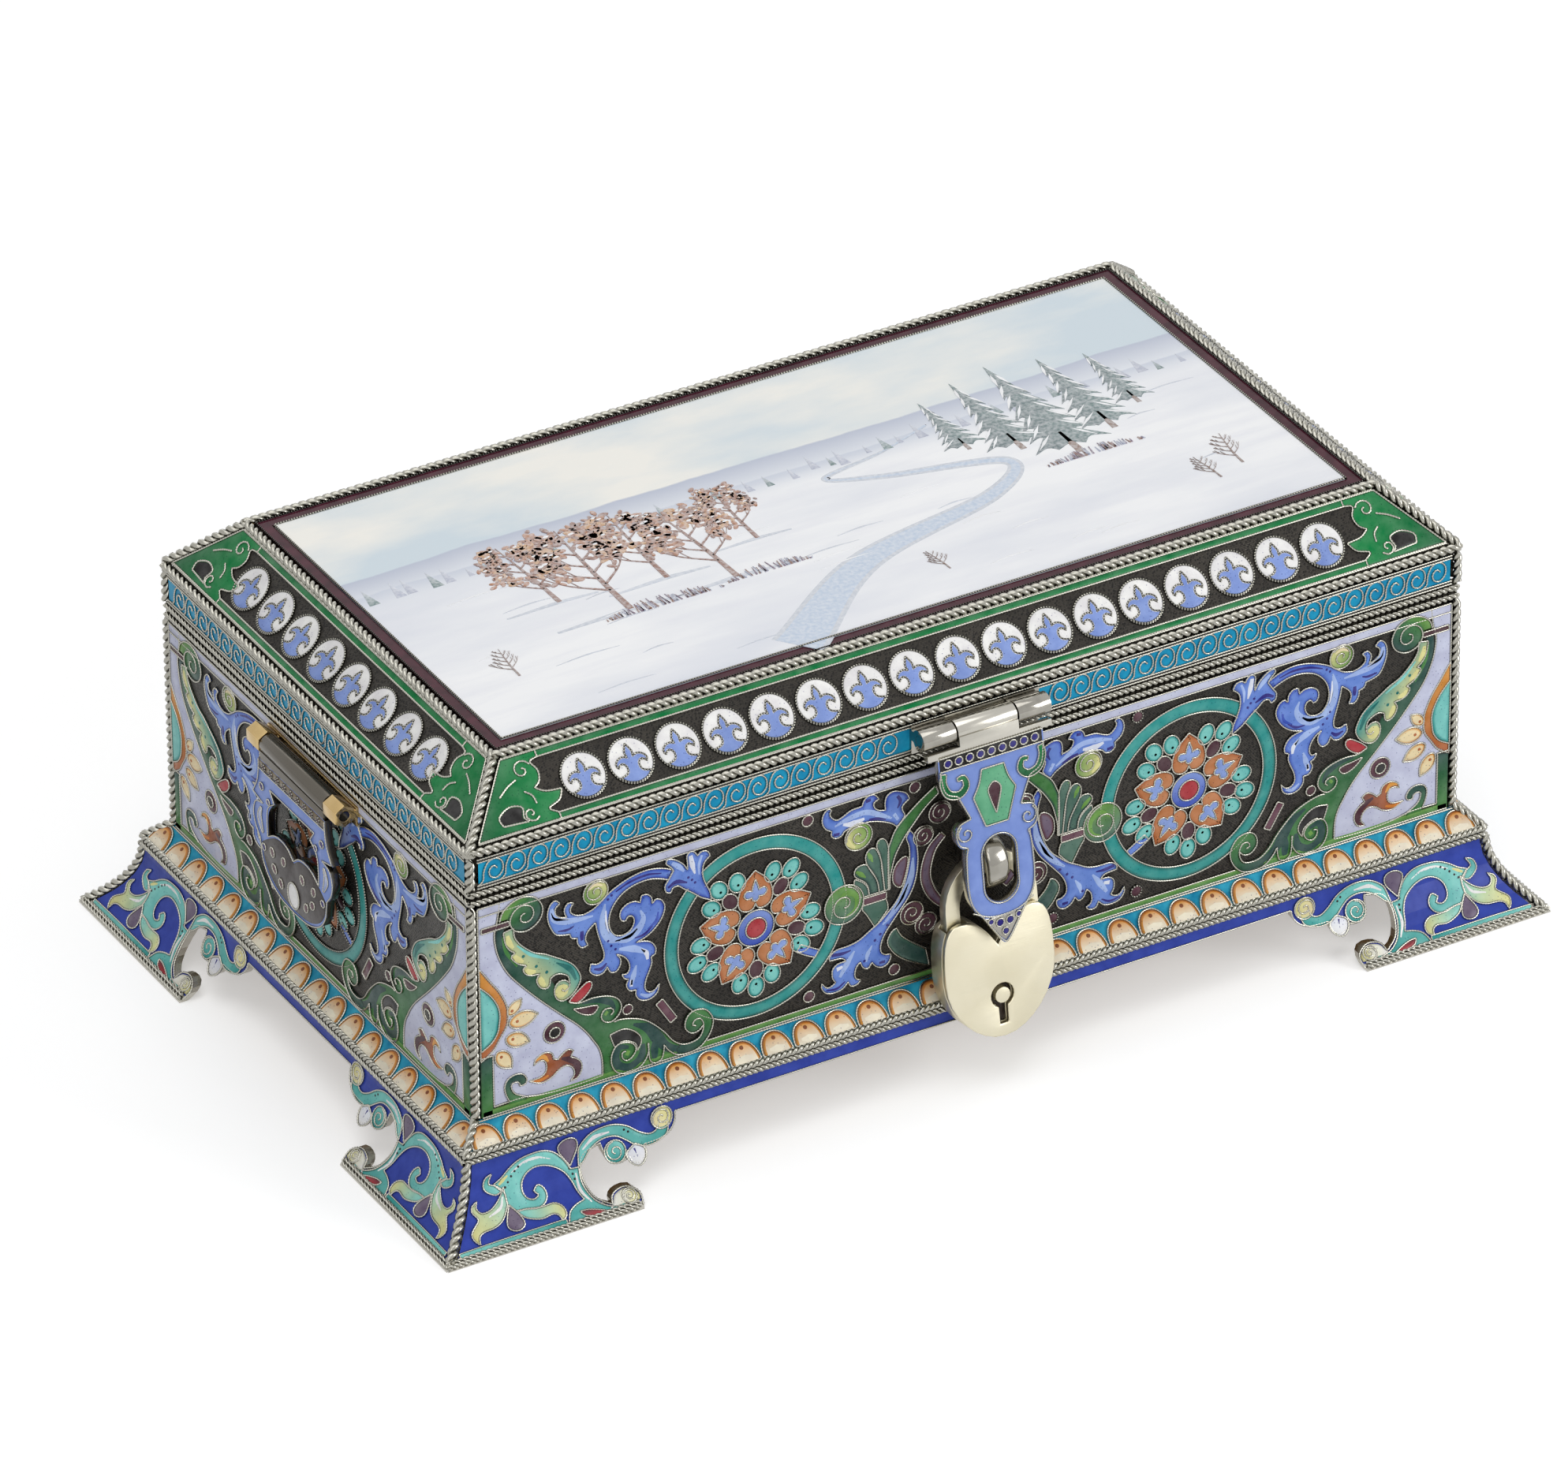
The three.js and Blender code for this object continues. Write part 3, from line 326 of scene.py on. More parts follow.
@dataclass(frozen=True)
class SkirtFace(SideFace):
    """The flared skirt. Up is the arc length along its face from the floor."""

    STEPS = 120
    BELOW_FLOOR = -0.5

    @classmethod
    def _arcs(cls, low: float) -> tuple[np.ndarray, np.ndarray]:
        """Follows the face upwards from a height.

        Args:
            low: The height it starts at.

        Returns:
            Heights up to the skirt's top, and the arc length up to each.
        """
        heights = np.linspace(low, SIZES.skirt_height, cls.STEPS)
        outs = SIZES.flare(heights)
        return heights, np.concatenate(([0.0], np.cumsum(np.hypot(np.diff(heights), np.diff(outs)))))

    def section(self, up: np.ndarray, lift: np.ndarray) -> tuple[np.ndarray, np.ndarray]:
        """Gives the outwards distance and height of points of the section.

        Args:
            up: Places up the face.
            lift: How far each point stands out of the face.

        Returns:
            Distances out of the wall, and heights.
        """
        heights, arcs = self._arcs(self.BELOW_FLOOR)
        arcs -= np.interp(0.0, heights, arcs)
        height = np.interp(up, arcs, heights)
        spread = SIZES.foot_flare - SIZES.ledge_reach
        lean = -2 * spread * (1 - height / SIZES.skirt_height) / SIZES.skirt_height
        steep = np.sqrt(1 + lean ** 2)
        return SIZES.flare(height) + lift / steep, height - lift * lean / steep

    def arc(self, height: np.ndarray) -> np.ndarray:
        """Gives the arc length of heights above the floor."""
        heights, arcs = self._arcs(0.0)
        return np.interp(height, heights, arcs)


@dataclass(frozen=True)
class LeaningFace(SideFace):
    """A face that hangs from an axis in front of the wall and leans outwards. Up counts from the axis."""

    axis_out: float
    axis_up: float
    stand: float
    lean: float

    def section(self, up: np.ndarray, lift: np.ndarray) -> tuple[np.ndarray, np.ndarray]:
        """Gives the outwards distance and height of points of the section.

        Args:
            up: Places up the face.
            lift: How far each point stands out of the face.

        Returns:
            Distances out of the wall, and heights.
        """
        cos, sin = math.cos(self.lean), math.sin(self.lean)
        out = self.axis_out + (self.stand + lift) * cos - up * sin
        return out, self.axis_up + (self.stand + lift) * sin + up * cos


@dataclass(frozen=True)
class TopFace(Face):
    """The top of the plaque. Up runs to the back of the casket."""

    def place(self, flat: np.ndarray, lift: np.ndarray) -> np.ndarray:
        """Places flat points on the plaque."""
        return np.column_stack((flat[:, 0], flat[:, 1], SIZES.plaque_top + lift)) * MM


def parse_path(text: str) -> list[tuple[float, float, bool]]:
    """Reads a path written as x,y pairs, where an exclamation mark makes a sharp point.

    Args:
        text: The path.

    Returns:
        Points with a mark for sharp ones.
    """
    points = []
    for word in text.split():
        x, y = word.rstrip("!").split(",")
        points.append((float(x), float(y), word.endswith("!")))
    return points


def flat_points(text: str) -> np.ndarray:
    """Gives the points of a written path without their marks."""
    return np.array([point[:2] for point in parse_path(text)])


def write_path(points: Iterable[tuple[float, float, bool]], digits: int = 4) -> str:
    """Writes points, with a mark for sharp ones, as a path."""
    return " ".join(f"{x:.{digits}f},{y:.{digits}f}" + "!" * sharp for x, y, sharp in points)


def backwards(text: str) -> str:
    """Gives a written path from its end to its start."""
    return " ".join(reversed(text.split()))


def rotate(flat: np.ndarray, turn: float) -> np.ndarray:
    """Turns flat points counter-clockwise by degrees."""
    cos, sin = math.cos(math.radians(turn)), math.sin(math.radians(turn))
    return flat @ np.array([[cos, sin], [-sin, cos]])


def unit(vectors: np.ndarray) -> np.ndarray:
    """Gives vectors of the length one."""
    return vectors / np.linalg.norm(vectors, axis=1)[:, None]


def arc_lengths(path: np.ndarray) -> np.ndarray:
    """Gives the length along a path up to each of its points."""
    return np.concatenate(([0.0], np.cumsum(np.linalg.norm(np.diff(path, axis=0), axis=1))))


def points_at(path: np.ndarray, steps: np.ndarray, at: np.ndarray) -> np.ndarray:
    """Gives the points at lengths along a path whose own points lie at known steps."""
    return np.column_stack([np.interp(at, steps, axis) for axis in path.T])


def smooth_span(points: np.ndarray, step: float) -> np.ndarray:
    """Runs a smooth curve through points, with free ends.

    Args:
        points: The points in order.
        step: Spacing of the result.

    Returns:
        Points along the curve, the last one left out.
    """
    first, last = 2 * points[0] - points[1], 2 * points[-1] - points[-2]
    knots = np.vstack((first, points, last))
    spans = []
    for before, start, end, after in zip(knots, knots[1:], knots[2:], knots[3:]):
        count = max(2, math.ceil(np.linalg.norm(end - start) / step))
        t = np.linspace(0, 1, count, endpoint=False)[:, None]
        slope_in, slope_out = (end - before) / 2, (after - start) / 2
        bend = 3 * (end - start) - 2 * slope_in - slope_out
        twist = slope_in + slope_out - 2 * (end - start)
        spans.append(start + slope_in * t + bend * t ** 2 + twist * t ** 3)
    return np.vstack(spans)


def smooth_path(text: str, closed: bool, step: float = 0.5) -> np.ndarray:
    """Runs a smooth curve through a written path, broken at its sharp points.

    Args:
        text: The path.
        closed: Whether the end joins the start.
        step: Spacing of the result.

    Returns:
        Points along the curve.
    """
    points = parse_path(text)
    flat = np.array([point[:2] for point in points])
    if not closed:
        cuts = [0] + [i for i, point in enumerate(points[:-1]) if point[2] and i] + [len(points) - 1]
        spans = [smooth_span(flat[a:b + 1], step) for a, b in zip(cuts, cuts[1:])]
        return np.vstack(spans + [flat[-1:]])
    sharp = [i for i, point in enumerate(points) if point[2]]
    if not sharp:
        wrapped = np.vstack((flat[-2:], flat, flat[:3]))
        run = smooth_span(wrapped, step)
        lead = smooth_span(wrapped[:3], step)
        trail = smooth_span(wrapped[-3:], step)
        return run[len(lead):len(run) - len(trail)]
    rolled = np.roll(flat, -sharp[0], axis=0)
    rolled = np.vstack((rolled, rolled[:1]))
    cuts = [i - sharp[0] for i in sharp] + [len(flat)]
    return np.vstack([smooth_span(rolled[a:b + 1], step) for a, b in zip(cuts, cuts[1:])])


def circle_points(x: float, y: float, across: float, tall: float, turn: float = 0.0,
                  count: int = 0) -> np.ndarray:
    """Gives the points of an ellipse.

    Args:
        x: Middle along.
        y: Middle up.
        across: Half its width.
        tall: Half its height.
        turn: Turn in degrees.
        count: Number of points, or 0 to suit the size.

    Returns:
        The points, counter-clockwise.
    """
    fewest, most = ROUND_STEPS
    count = count or max(fewest, min(most, math.ceil(2 * math.pi * max(across, tall) / ROUND_SPACING)))
    angle = np.linspace(0, 2 * math.pi, count, endpoint=False)
    flat = np.column_stack((across * np.cos(angle), tall * np.sin(angle)))
    return rotate(flat, turn) + (x, y)


def area(points: np.ndarray) -> float:
    """Signed area of a closed outline."""
    x, y = points[:, 0], points[:, 1]
    return float(np.sum(x * np.roll(y, -1) - np.roll(x, -1) * y) / 2)


def row(count: int, pitch: float) -> list[float]:
    """Gives the places of a row, evenly spaced about the middle."""
    return [(number - (count - 1) / 2) * pitch for number in range(count)]


def counter_clockwise(outline: np.ndarray) -> np.ndarray:
    """Gives an outline that runs counter-clockwise."""
    return outline if area(outline) > 0 else outline[::-1]


@dataclass(frozen=True)
class Cell:
    """A field of enamel: outline, hole, colour that runs into another along a slant, and height."""

    outline: np.ndarray
    tint: Tint
    tip: Tint
    slant: float
    lift: float
    hole: np.ndarray | None = None
    dome: float = 0.07
    heart: Tint | None = None

    EDGE_SINK = 0.06
    RUN_POWER = 1.4

    @property
    def sink(self) -> float:
        """How far the cell's edge lies under its height."""
        return min(self.EDGE_SINK, self.dome)

    @property
    def slimness(self) -> float:
        """Half the width of a slim cell.

        Returns:
            The width.
        """
        rims = [self.outline] if self.hole is None else [self.outline, self.hole]
        edge = sum(float(np.sum(np.linalg.norm(rim - np.roll(rim, 1, axis=0), axis=1))) for rim in rims)
        return (area(self.outline) - sum(abs(area(rim)) for rim in rims[1:])) / edge

    def colours(self, points: np.ndarray) -> np.ndarray:
        """Gives the colour at points of the cell.

        Args:
            points: The points.

        Returns:
            Linear colours.
        """
        way = np.array([math.cos(math.radians(self.slant)), math.sin(math.radians(self.slant))])
        reach = self.outline @ way
        t = np.clip((points @ way - reach.min()) / max(np.ptp(reach), 1e-6), 0, 1)[:, None]
        t **= self.RUN_POWER
        return self.tint.linear * (1 - t) + self.tip.linear * t


@dataclass(frozen=True)
class Wire:
    """A beaded wire laid along a path."""

    path: np.ndarray
    closed: bool
    radius: float
    lift: float


@dataclass
class Drawing:
    """A flat ornament in millimetres: enamel cells and the wires round them."""

    cells: list[Cell] = field(default_factory=list)
    wires: list[Wire] = field(default_factory=list)
    wire_radius: float = 0.2
    lift: float = 0.1

    def cell(self, outline: np.ndarray, tint: Tint, tip: Tint | None = None, slant: float = 90.0,
             lift: float | None = None, wired: bool = True, heart: Tint | None = None) -> None:
        """Adds an enamel cell.

        Args:
            outline: Its closed outline.
            tint: Its colour.
            tip: The colour it runs into.
            slant: The way it runs, in degrees from along.
            lift: Its height, or the drawing's own.
            wired: Whether a wire goes round it.
            heart: The colour that its middle runs into.
        """
        lift = self.lift if lift is None else lift
        outline = counter_clockwise(outline)
        self.cells.append(Cell(outline, tint, tip or tint, slant, lift, heart=heart))
        if wired:
            self.wires.append(Wire(outline, True, self.wire_radius, lift))

    def flat(self, outline: np.ndarray, tint: Tint, lift: float, tip: Tint | None = None,
             slant: float = 90.0) -> None:
        """Adds flat paint inside an outline."""
        self.cells.append(Cell(outline, tint, tip or tint, slant, lift, dome=STROKE_DOME))

    def paint(self, text: str, widths: Sequence[float], tint: Tint, lift: float) -> None:
        """Adds a flat brush stroke along a written path, over a cell of the given height."""
        self.flat(counter_clockwise(self.band(text, widths)), tint, lift + STROKE_RISE)

    def strokes(self, lift: float, *strokes: tuple[str, Sequence[float], Tint], grow: float = 1.0) -> None:
        """Adds brush strokes, each with its path, widths and colour, all grown in width."""
        for text, widths, tint in strokes:
            self.paint(text, [width * grow for width in widths], tint, lift)

    def dots(self, text: str, radius: float, tint: Tint, lift: float) -> None:
        """Adds flat round dots at written places."""
        for x, y, _ in parse_path(text):
            self.flat(circle_points(x, y, radius, radius, count=DOT_STEPS), tint, lift + DOT_RISE)

    def blob(self, text: str, tint: Tint, tip: Tint | None = None, slant: float = 90.0,
             lift: float | None = None, wired: bool = True, heart: Tint | None = None) -> None:
        """Adds a cell with a smooth written outline."""
        self.cell(smooth_path(text, True), tint, tip, slant, lift, wired, heart)

    def plain(self, text: str, tint: Tint, tip: Tint | None = None, lift: float | None = None,
              wired: bool = True) -> None:
        """Adds a cell with straight edges."""
        self.cell(flat_points(text), tint, tip, lift=lift, wired=wired)

    def ribbon(self, text: str, widths: Sequence[float], tint: Tint, tip: Tint | None = None,
               slant: float = 90.0, lift: float | None = None, heart: Tint | None = None) -> None:
        """Adds a band along a written path.

        Args:
            text: The path of its middle.
            widths: Widths at even steps along it.
            tint: Its colour.
            tip: The colour it runs into.
            slant: The way it runs.
            lift: Its height.
            heart: The colour that its middle runs into.
        """
        self.cell(self.band(text, widths), tint, tip, slant, lift, heart=heart)

    @staticmethod
    def band(text: str, widths: Sequence[float]) -> np.ndarray:
        """Gives the outline of a band along a written path.

        Args:
            text: The path.
            widths: Widths at even steps along it.

        Returns:
            The outline.
        """
        path = smooth_path(text, False)
        steps = arc_lengths(path)
        half = np.interp(steps / steps[-1], np.linspace(0, 1, len(widths)), widths)[:, None] / 2
        way = unit(np.gradient(path, axis=0))
        across = np.column_stack((-way[:, 1], way[:, 0])) * half
        return np.vstack((path - across, (path + across)[::-1]))

    def disc(self, x: float, y: float, radius: float, tint: Tint, tip: Tint | None = None,
             slant: float = 90.0, lift: float | None = None, wired: bool = True,
             heart: Tint | None = None) -> None:
        """Adds a round cell."""
        self.cell(circle_points(x, y, radius, radius), tint, tip, slant, lift, wired, heart)

    def oval(self, x: float, y: float, across: float, tall: float, turn: float, tint: Tint,
             lift: float | None = None, heart: Tint | None = None) -> None:
        """Adds an oval cell."""
        self.cell(circle_points(x, y, across, tall, turn), tint, lift=lift, heart=heart)

    def ring(self, x: float, y: float, outer: float, inner: float, tint: Tint, tip: Tint | None = None,
             slant: float = 90.0, heart: Tint | None = None) -> None:
        """Adds a ring-shaped cell.

        Args:
            x: Its place along.
            y: Its place up.
            outer: Its outer radius.
            inner: Its inner radius.
            tint: Its colour.
            tip: The colour it runs into.
            slant: The way it runs, in degrees from along.
            heart: The colour that its middle runs into.
        """
        outside = circle_points(x, y, outer, outer)
        inside = circle_points(x, y, inner, inner, count=len(outside))
        self.cells.append(Cell(outside, tint, tip or tint, slant, self.lift, inside, heart=heart))
        self.wires += [Wire(path, True, self.wire_radius, self.lift) for path in (outside, inside)]

    def petal(self, x: float, y: float, half: float, turn: float, tint: Tint, tip: Tint) -> None:
        """Adds a petal with a pointed end, about its middle.

        Args:
            x: Its place along.
            y: Its place up.
            half: Half its length.
            turn: Its turn in degrees.
            tint: Its colour.
            tip: The colour it runs into.
        """
        shape = parse_path("-1,0 -0.7,-0.42 -0.1,-0.58 0.5,-0.4 1,0! 0.5,0.4 -0.1,0.58 -0.7,0.42")
        points = rotate(np.array([point[:2] for point in shape]) * half, turn) + (x, y)
        text = write_path((a, b, point[2]) for (a, b), point in zip(points, shape))
        self.blob(text, tint, tip, turn, heart=tip)

    def bar(self, x: float, y: float, length: float, width: float, turn: float, tint: Tint,
            lift: float | None = None) -> None:
        """Adds a straight bar about its middle."""
        flat = np.array([(-1, -1), (1, -1), (1, 1), (-1, 1)]) * (length / 2, width / 2)
        self.cell(rotate(flat, turn) + (x, y), tint, lift=lift)

    def strip(self, reach: float, low: float, high: float, tint: Tint, tip: Tint | None = None,
              edges: bool = True, lift: float | None = None) -> None:
        """Adds a long strip, as far to the left as to the right, with a wire along its two edges.

        Args:
            reach: How far it goes either way.
            low: Its lower edge.
            high: Its upper edge.
            tint: Its colour.
            tip: The colour it runs into.
            edges: Whether it has wires.
            lift: Its height, or the drawing's own.
        """
        corners = np.array([(-reach, low), (reach, low), (reach, high), (-reach, high)])
        self.cell(corners, tint, tip, lift=lift, wired=False)
        for up in (low, high) if edges else ():
            self.level(reach, up, lift)

    def line(self, path: np.ndarray, lift: float | None = None, radius: float | None = None,
             closed: bool = False) -> None:
        """Adds a wire alone."""
        lift = self.lift if lift is None else lift
        self.wires.append(Wire(path, closed, radius or self.wire_radius, lift))

    def level(self, reach: float, up: float, lift: float | None = None, radius: float | None = None) -> None:
        """Adds a level wire, as far to the left as to the right."""
        self.line(np.array([(-reach, up), (reach, up)]), lift, radius)

    def trail(self, text: str, lift: float) -> None:
        """Adds a wire along a smooth written path."""
        self.line(smooth_path(text, False), lift)

    def coil(self, x: float, y: float, radius: float, turns: float, start: float, hand: int,
             lift: float) -> None:
        """Adds a spiral wire.

        Args:
            x: Middle along.
            y: Middle up.
            radius: Radius of its outer end.
            turns: Number of turns to the middle.
            start: Angle of its outer end in degrees.
            hand: 1 to wind counter-clockwise inwards, -1 for clockwise.
            lift: Its height.
        """
        fewest_steps, steps_per_length, eye = 8, 7, 0.14
        t = np.linspace(0, 1, max(fewest_steps, math.ceil(turns * radius * steps_per_length)))
        angle = math.radians(start) + hand * 2 * math.pi * turns * t
        reach = radius * (1 - (1 - eye) * t)
        path = np.column_stack((x + reach * np.cos(angle), y + reach * np.sin(angle)))
        self.line(path, lift)

    def volute(self, x: float, y: float, radius: float, tint: Tint, tip: Tint, start: float, hand: int,
               lift: float | None = None) -> None:
        """Adds a round cell with a spiral wire in it.

        Args:
            x: Its place along.
            y: Its place up.
            radius: Its radius.
            tint: Its colour.
            tip: The colour it runs into.
            start: Angle where the spiral starts.
            hand: 1 to wind counter-clockwise inwards, -1 for clockwise.
            lift: Its height, or the drawing's own.
        """
        lift = self.lift + 0.05 if lift is None else lift
        self.disc(x, y, radius, tint, tip, start, lift)
        self.coil(x, y, radius * 0.92, 1.5, start, hand, lift + 0.06)

    def moved(self, along: float) -> "Drawing":
        """Gives a copy moved along the face.

        Args:
            along: How far.

        Returns:
            The copy.
        """
        shift = np.array([along, 0.0])
        copy = Drawing(wire_radius=self.wire_radius, lift=self.lift)
        for cell in self.cells:
            hole = None if cell.hole is None else cell.hole + shift
            copy.cells.append(replace(cell, outline=cell.outline + shift, hole=hole))
        copy.wires = [replace(wire, path=wire.path + shift) for wire in self.wires]
        return copy

    def mirrored(self) -> "Drawing":
        """Gives a copy turned left to right.

        Returns:
            The copy.
        """
        flip = np.array([-1.0, 1.0])
        copy = Drawing(wire_radius=self.wire_radius, lift=self.lift)
        for cell in self.cells:
            hole = None if cell.hole is None else (cell.hole * flip)[::-1]
            outline = (cell.outline * flip)[::-1]
            copy.cells.append(replace(cell, outline=outline, slant=180 - cell.slant, hole=hole))
        copy.wires = [replace(wire, path=wire.path * flip) for wire in self.wires]
        return copy

    def add(self, *others: "Drawing") -> "Drawing":
        """Adds other drawings to this one.

        Args:
            others: The drawings.

        Returns:
            This drawing.
        """
        for other in others:
            self.cells += other.cells
            self.wires += other.wires
        return self


def link_object(name: str, data: bpy.types.ID) -> bpy.types.Object:
    """Makes an object for some data and puts it in the scene.

    Args:
        name: Its name.
        data: The data.

    Returns:
        The object.
    """
    thing = bpy.data.objects.new(name, data)
    bpy.context.scene.collection.objects.link(thing)
    return thing


def vertex_points(mesh: bpy.types.Mesh) -> np.ndarray:
    """Gives the places of a mesh's vertices.

    Args:
        mesh: The mesh.

    Returns:
        One row for each vertex.
    """
    points = np.empty(len(mesh.vertices) * 3)
    mesh.vertices.foreach_get("co", points)
    return points.reshape(-1, 3)


def shade_smooth(mesh: bpy.types.Mesh) -> None:
    """Shades every face of a mesh smooth."""
    mesh.polygons.foreach_set("use_smooth", np.ones(len(mesh.polygons), dtype=bool))


class EnamelMaker:
    """Builds the low pillows of enamel in a drawing's cells, all cells of a drawing at once."""

    INSET = 0.34
    INSET_STEP = 0.05
    INSET_SHARE = 0.45
    INSET_TRIM = 0.95
    HEART_RISE = 0.03
    HEART_SHARE = 0.8
    HEART_INSET = 0.8
    HEART_INSET_SHARE = 0.32
    ROOT = 0.12
    # Share of a cell's colour left at its edge: painted shade beside the wires.
    EDGE_PAINTED_SHADE = 0.42
    PALEST = 0.94
    SPREAD = 0.12
    STRIDE = 0.618
    CREASE = math.radians(55)

    def build(self, name: str, drawing: Drawing, face: Face) -> bpy.types.Object:
        """Builds every cell of a drawing on a face.

        Args:
            name: Name of the piece.
            drawing: The drawing.
            face: The face it lies on.

        Returns:
            The piece, with its colours in the attribute named tint.
        """
        shape = bmesh.new()
        owner = shape.verts.layers.int.new("cell")
        self._lay_feet(shape, owner, drawing.cells)
        self._raise_tops(shape, owner, drawing.cells)
        bmesh.ops.recalc_face_normals(shape, faces=shape.faces)
        self._sort(shape, owner)
        mesh = bpy.data.meshes.new(name)
        shape.to_mesh(mesh)
        shape.free()
        flat = vertex_points(mesh)
        self._tint(mesh, flat, drawing.cells)
        mesh.vertices.foreach_set("co", face.place(flat[:, :2], flat[:, 2]).ravel())
        shade_smooth(mesh)
        mesh.set_sharp_from_angle(angle=self.CREASE)
        mesh.update()
        return link_object(name, mesh)

    def _lay_feet(self, shape: bmesh.types.BMesh, owner: object, cells: Sequence[Cell]) -> None:
        """Fills every cell's outline, or the ring between its outline and hole, below the surface.

        Args:
            shape: The mesh being built.
            owner: The layer that says which cell a vertex belongs to.
            cells: The cells.
        """
        for number, cell in sorted(enumerate(cells), key=lambda entry: entry[1].hole is None):
            loops = [cell.outline] if cell.hole is None else [cell.outline, cell.hole]
            rims = [[shape.verts.new((x, y, -self.ROOT)) for x, y in loop] for loop in loops]
            for vert in (vert for rim in rims for vert in rim):
                vert[owner] = number
            if cell.hole is None:
                shape.faces.new(rims[0])
            else:
                edges = [shape.edges.new((a, b)) for rim in rims for a, b in zip(rim, rim[1:] + rim[:1])]
                bmesh.ops.bridge_loops(shape, edges=edges)
        for face in shape.faces:
            face.normal_update()
        bmesh.ops.triangulate(shape, faces=shape.faces)
        for face in shape.faces:
            face.normal_update()
        bmesh.ops.reverse_faces(shape, faces=[face for face in shape.faces if face.normal.z < 0])

    def _raise_tops(self, shape: bmesh.types.BMesh, owner: object, cells: Sequence[Cell]) -> None:
        """Grows upright sides on the feet, then insets and raises the tops.

        Args:
            shape: The mesh being built.
            owner: The layer that says which cell a vertex belongs to.
            cells: The cells.
        """
        grown = bmesh.ops.extrude_face_region(shape, geom=shape.faces)["geom"]
        groups: dict[tuple[float, float], list[bmesh.types.BMFace]] = {}
        hearts: dict[float, list[bmesh.types.BMFace]] = {}
        for part in grown:
            if isinstance(part, bmesh.types.BMVert):
                cell = cells[part[owner]]
                part.co.z = cell.lift - cell.sink
        for part in grown:
            if isinstance(part, bmesh.types.BMFace):
                part.normal_update()
                cell = cells[part.verts[0][owner]]
                inset = self._stepped(min(self.INSET, self.INSET_SHARE * cell.slimness)) * self.INSET_TRIM
                groups.setdefault((inset, cell.sink + cell.dome), []).append(part)
                if cell.heart:
                    width = self._stepped(min(self.HEART_INSET, self.HEART_INSET_SHARE * cell.slimness))
                    hearts.setdefault(width, []).append(part)
        for (inset, depth), faces in groups.items():
            bmesh.ops.inset_region(shape, faces=faces, thickness=inset, depth=depth, use_boundary=True)
        for inset, faces in hearts.items():
            bmesh.ops.inset_region(shape, faces=faces, thickness=inset, depth=self.HEART_RISE,
                                   use_boundary=True)

    @staticmethod
    def _sort(shape: bmesh.types.BMesh, owner: object) -> None:
        """Puts vertices and faces in the order of their places, so that every run gives the same mesh.

        Args:
            shape: The mesh being built.
            owner: The layer that says which cell a vertex belongs to.
        """
        verts = [(vert[owner], *vert.co) for vert in shape.verts]
        faces = [(face.verts[0][owner], *face.calc_center_median()) for face in shape.faces]
        for parts, places in ((shape.verts, verts), (shape.faces, faces)):
            ranks = np.empty(len(places))
            ranks[np.lexsort(np.array(places).T)] = np.arange(len(places))
            parts.index_update()
            parts.sort(key=lambda part: ranks[part.index])

    def _stepped(self, width: float) -> float:
        """Rounds a width to steps, so that many cells share one."""
        return max(1, round(width / self.INSET_STEP)) * self.INSET_STEP

    def _tint(self, mesh: bpy.types.Mesh, flat: np.ndarray, cells: Sequence[Cell]) -> None:
        """Colours the vertices of every cell, darker along its edge: painted shade where the wires shadow the
        lower enamel beside them, with the deeper enamel there.

        Args:
            mesh: The mesh.
            flat: Its vertices on the drawing.
            cells: The cells.
        """
        owners = np.empty(len(flat), dtype=np.int32)
        mesh.attributes["cell"].data.foreach_get("value", owners)
        mesh.attributes.remove(mesh.attributes["cell"])
        tones = np.ones((len(flat), 4))
        order = np.argsort(owners, kind="stable")
        starts = np.searchsorted(owners[order], np.arange(len(cells) + 1))
        for number, cell in enumerate(cells):
            mine = order[starts[number]:starts[number + 1]]
            shade = self.PALEST + self.SPREAD * ((number * self.STRIDE) % 1)
            crown = flat[mine, 2] > cell.lift + cell.dome * 0.5
            # Painted shade: the edge of every raised cell is darkened beside its wire.
            edge = self.EDGE_PAINTED_SHADE if cell.dome > STROKE_DOME else 1.0
            tones[mine, :3] = cell.colours(flat[mine, :2]) * (shade * np.where(crown, 1.0, edge))[:, None]
            if cell.heart:
                inner = mine[flat[mine, 2] > cell.lift + cell.dome + self.HEART_RISE * 0.5]
                tones[inner, :3] += self.HEART_SHARE * (cell.heart.linear - tones[inner, :3])
        mesh.attributes.new("tint", "FLOAT_COLOR", "POINT").data.foreach_set("color", tones.ravel())


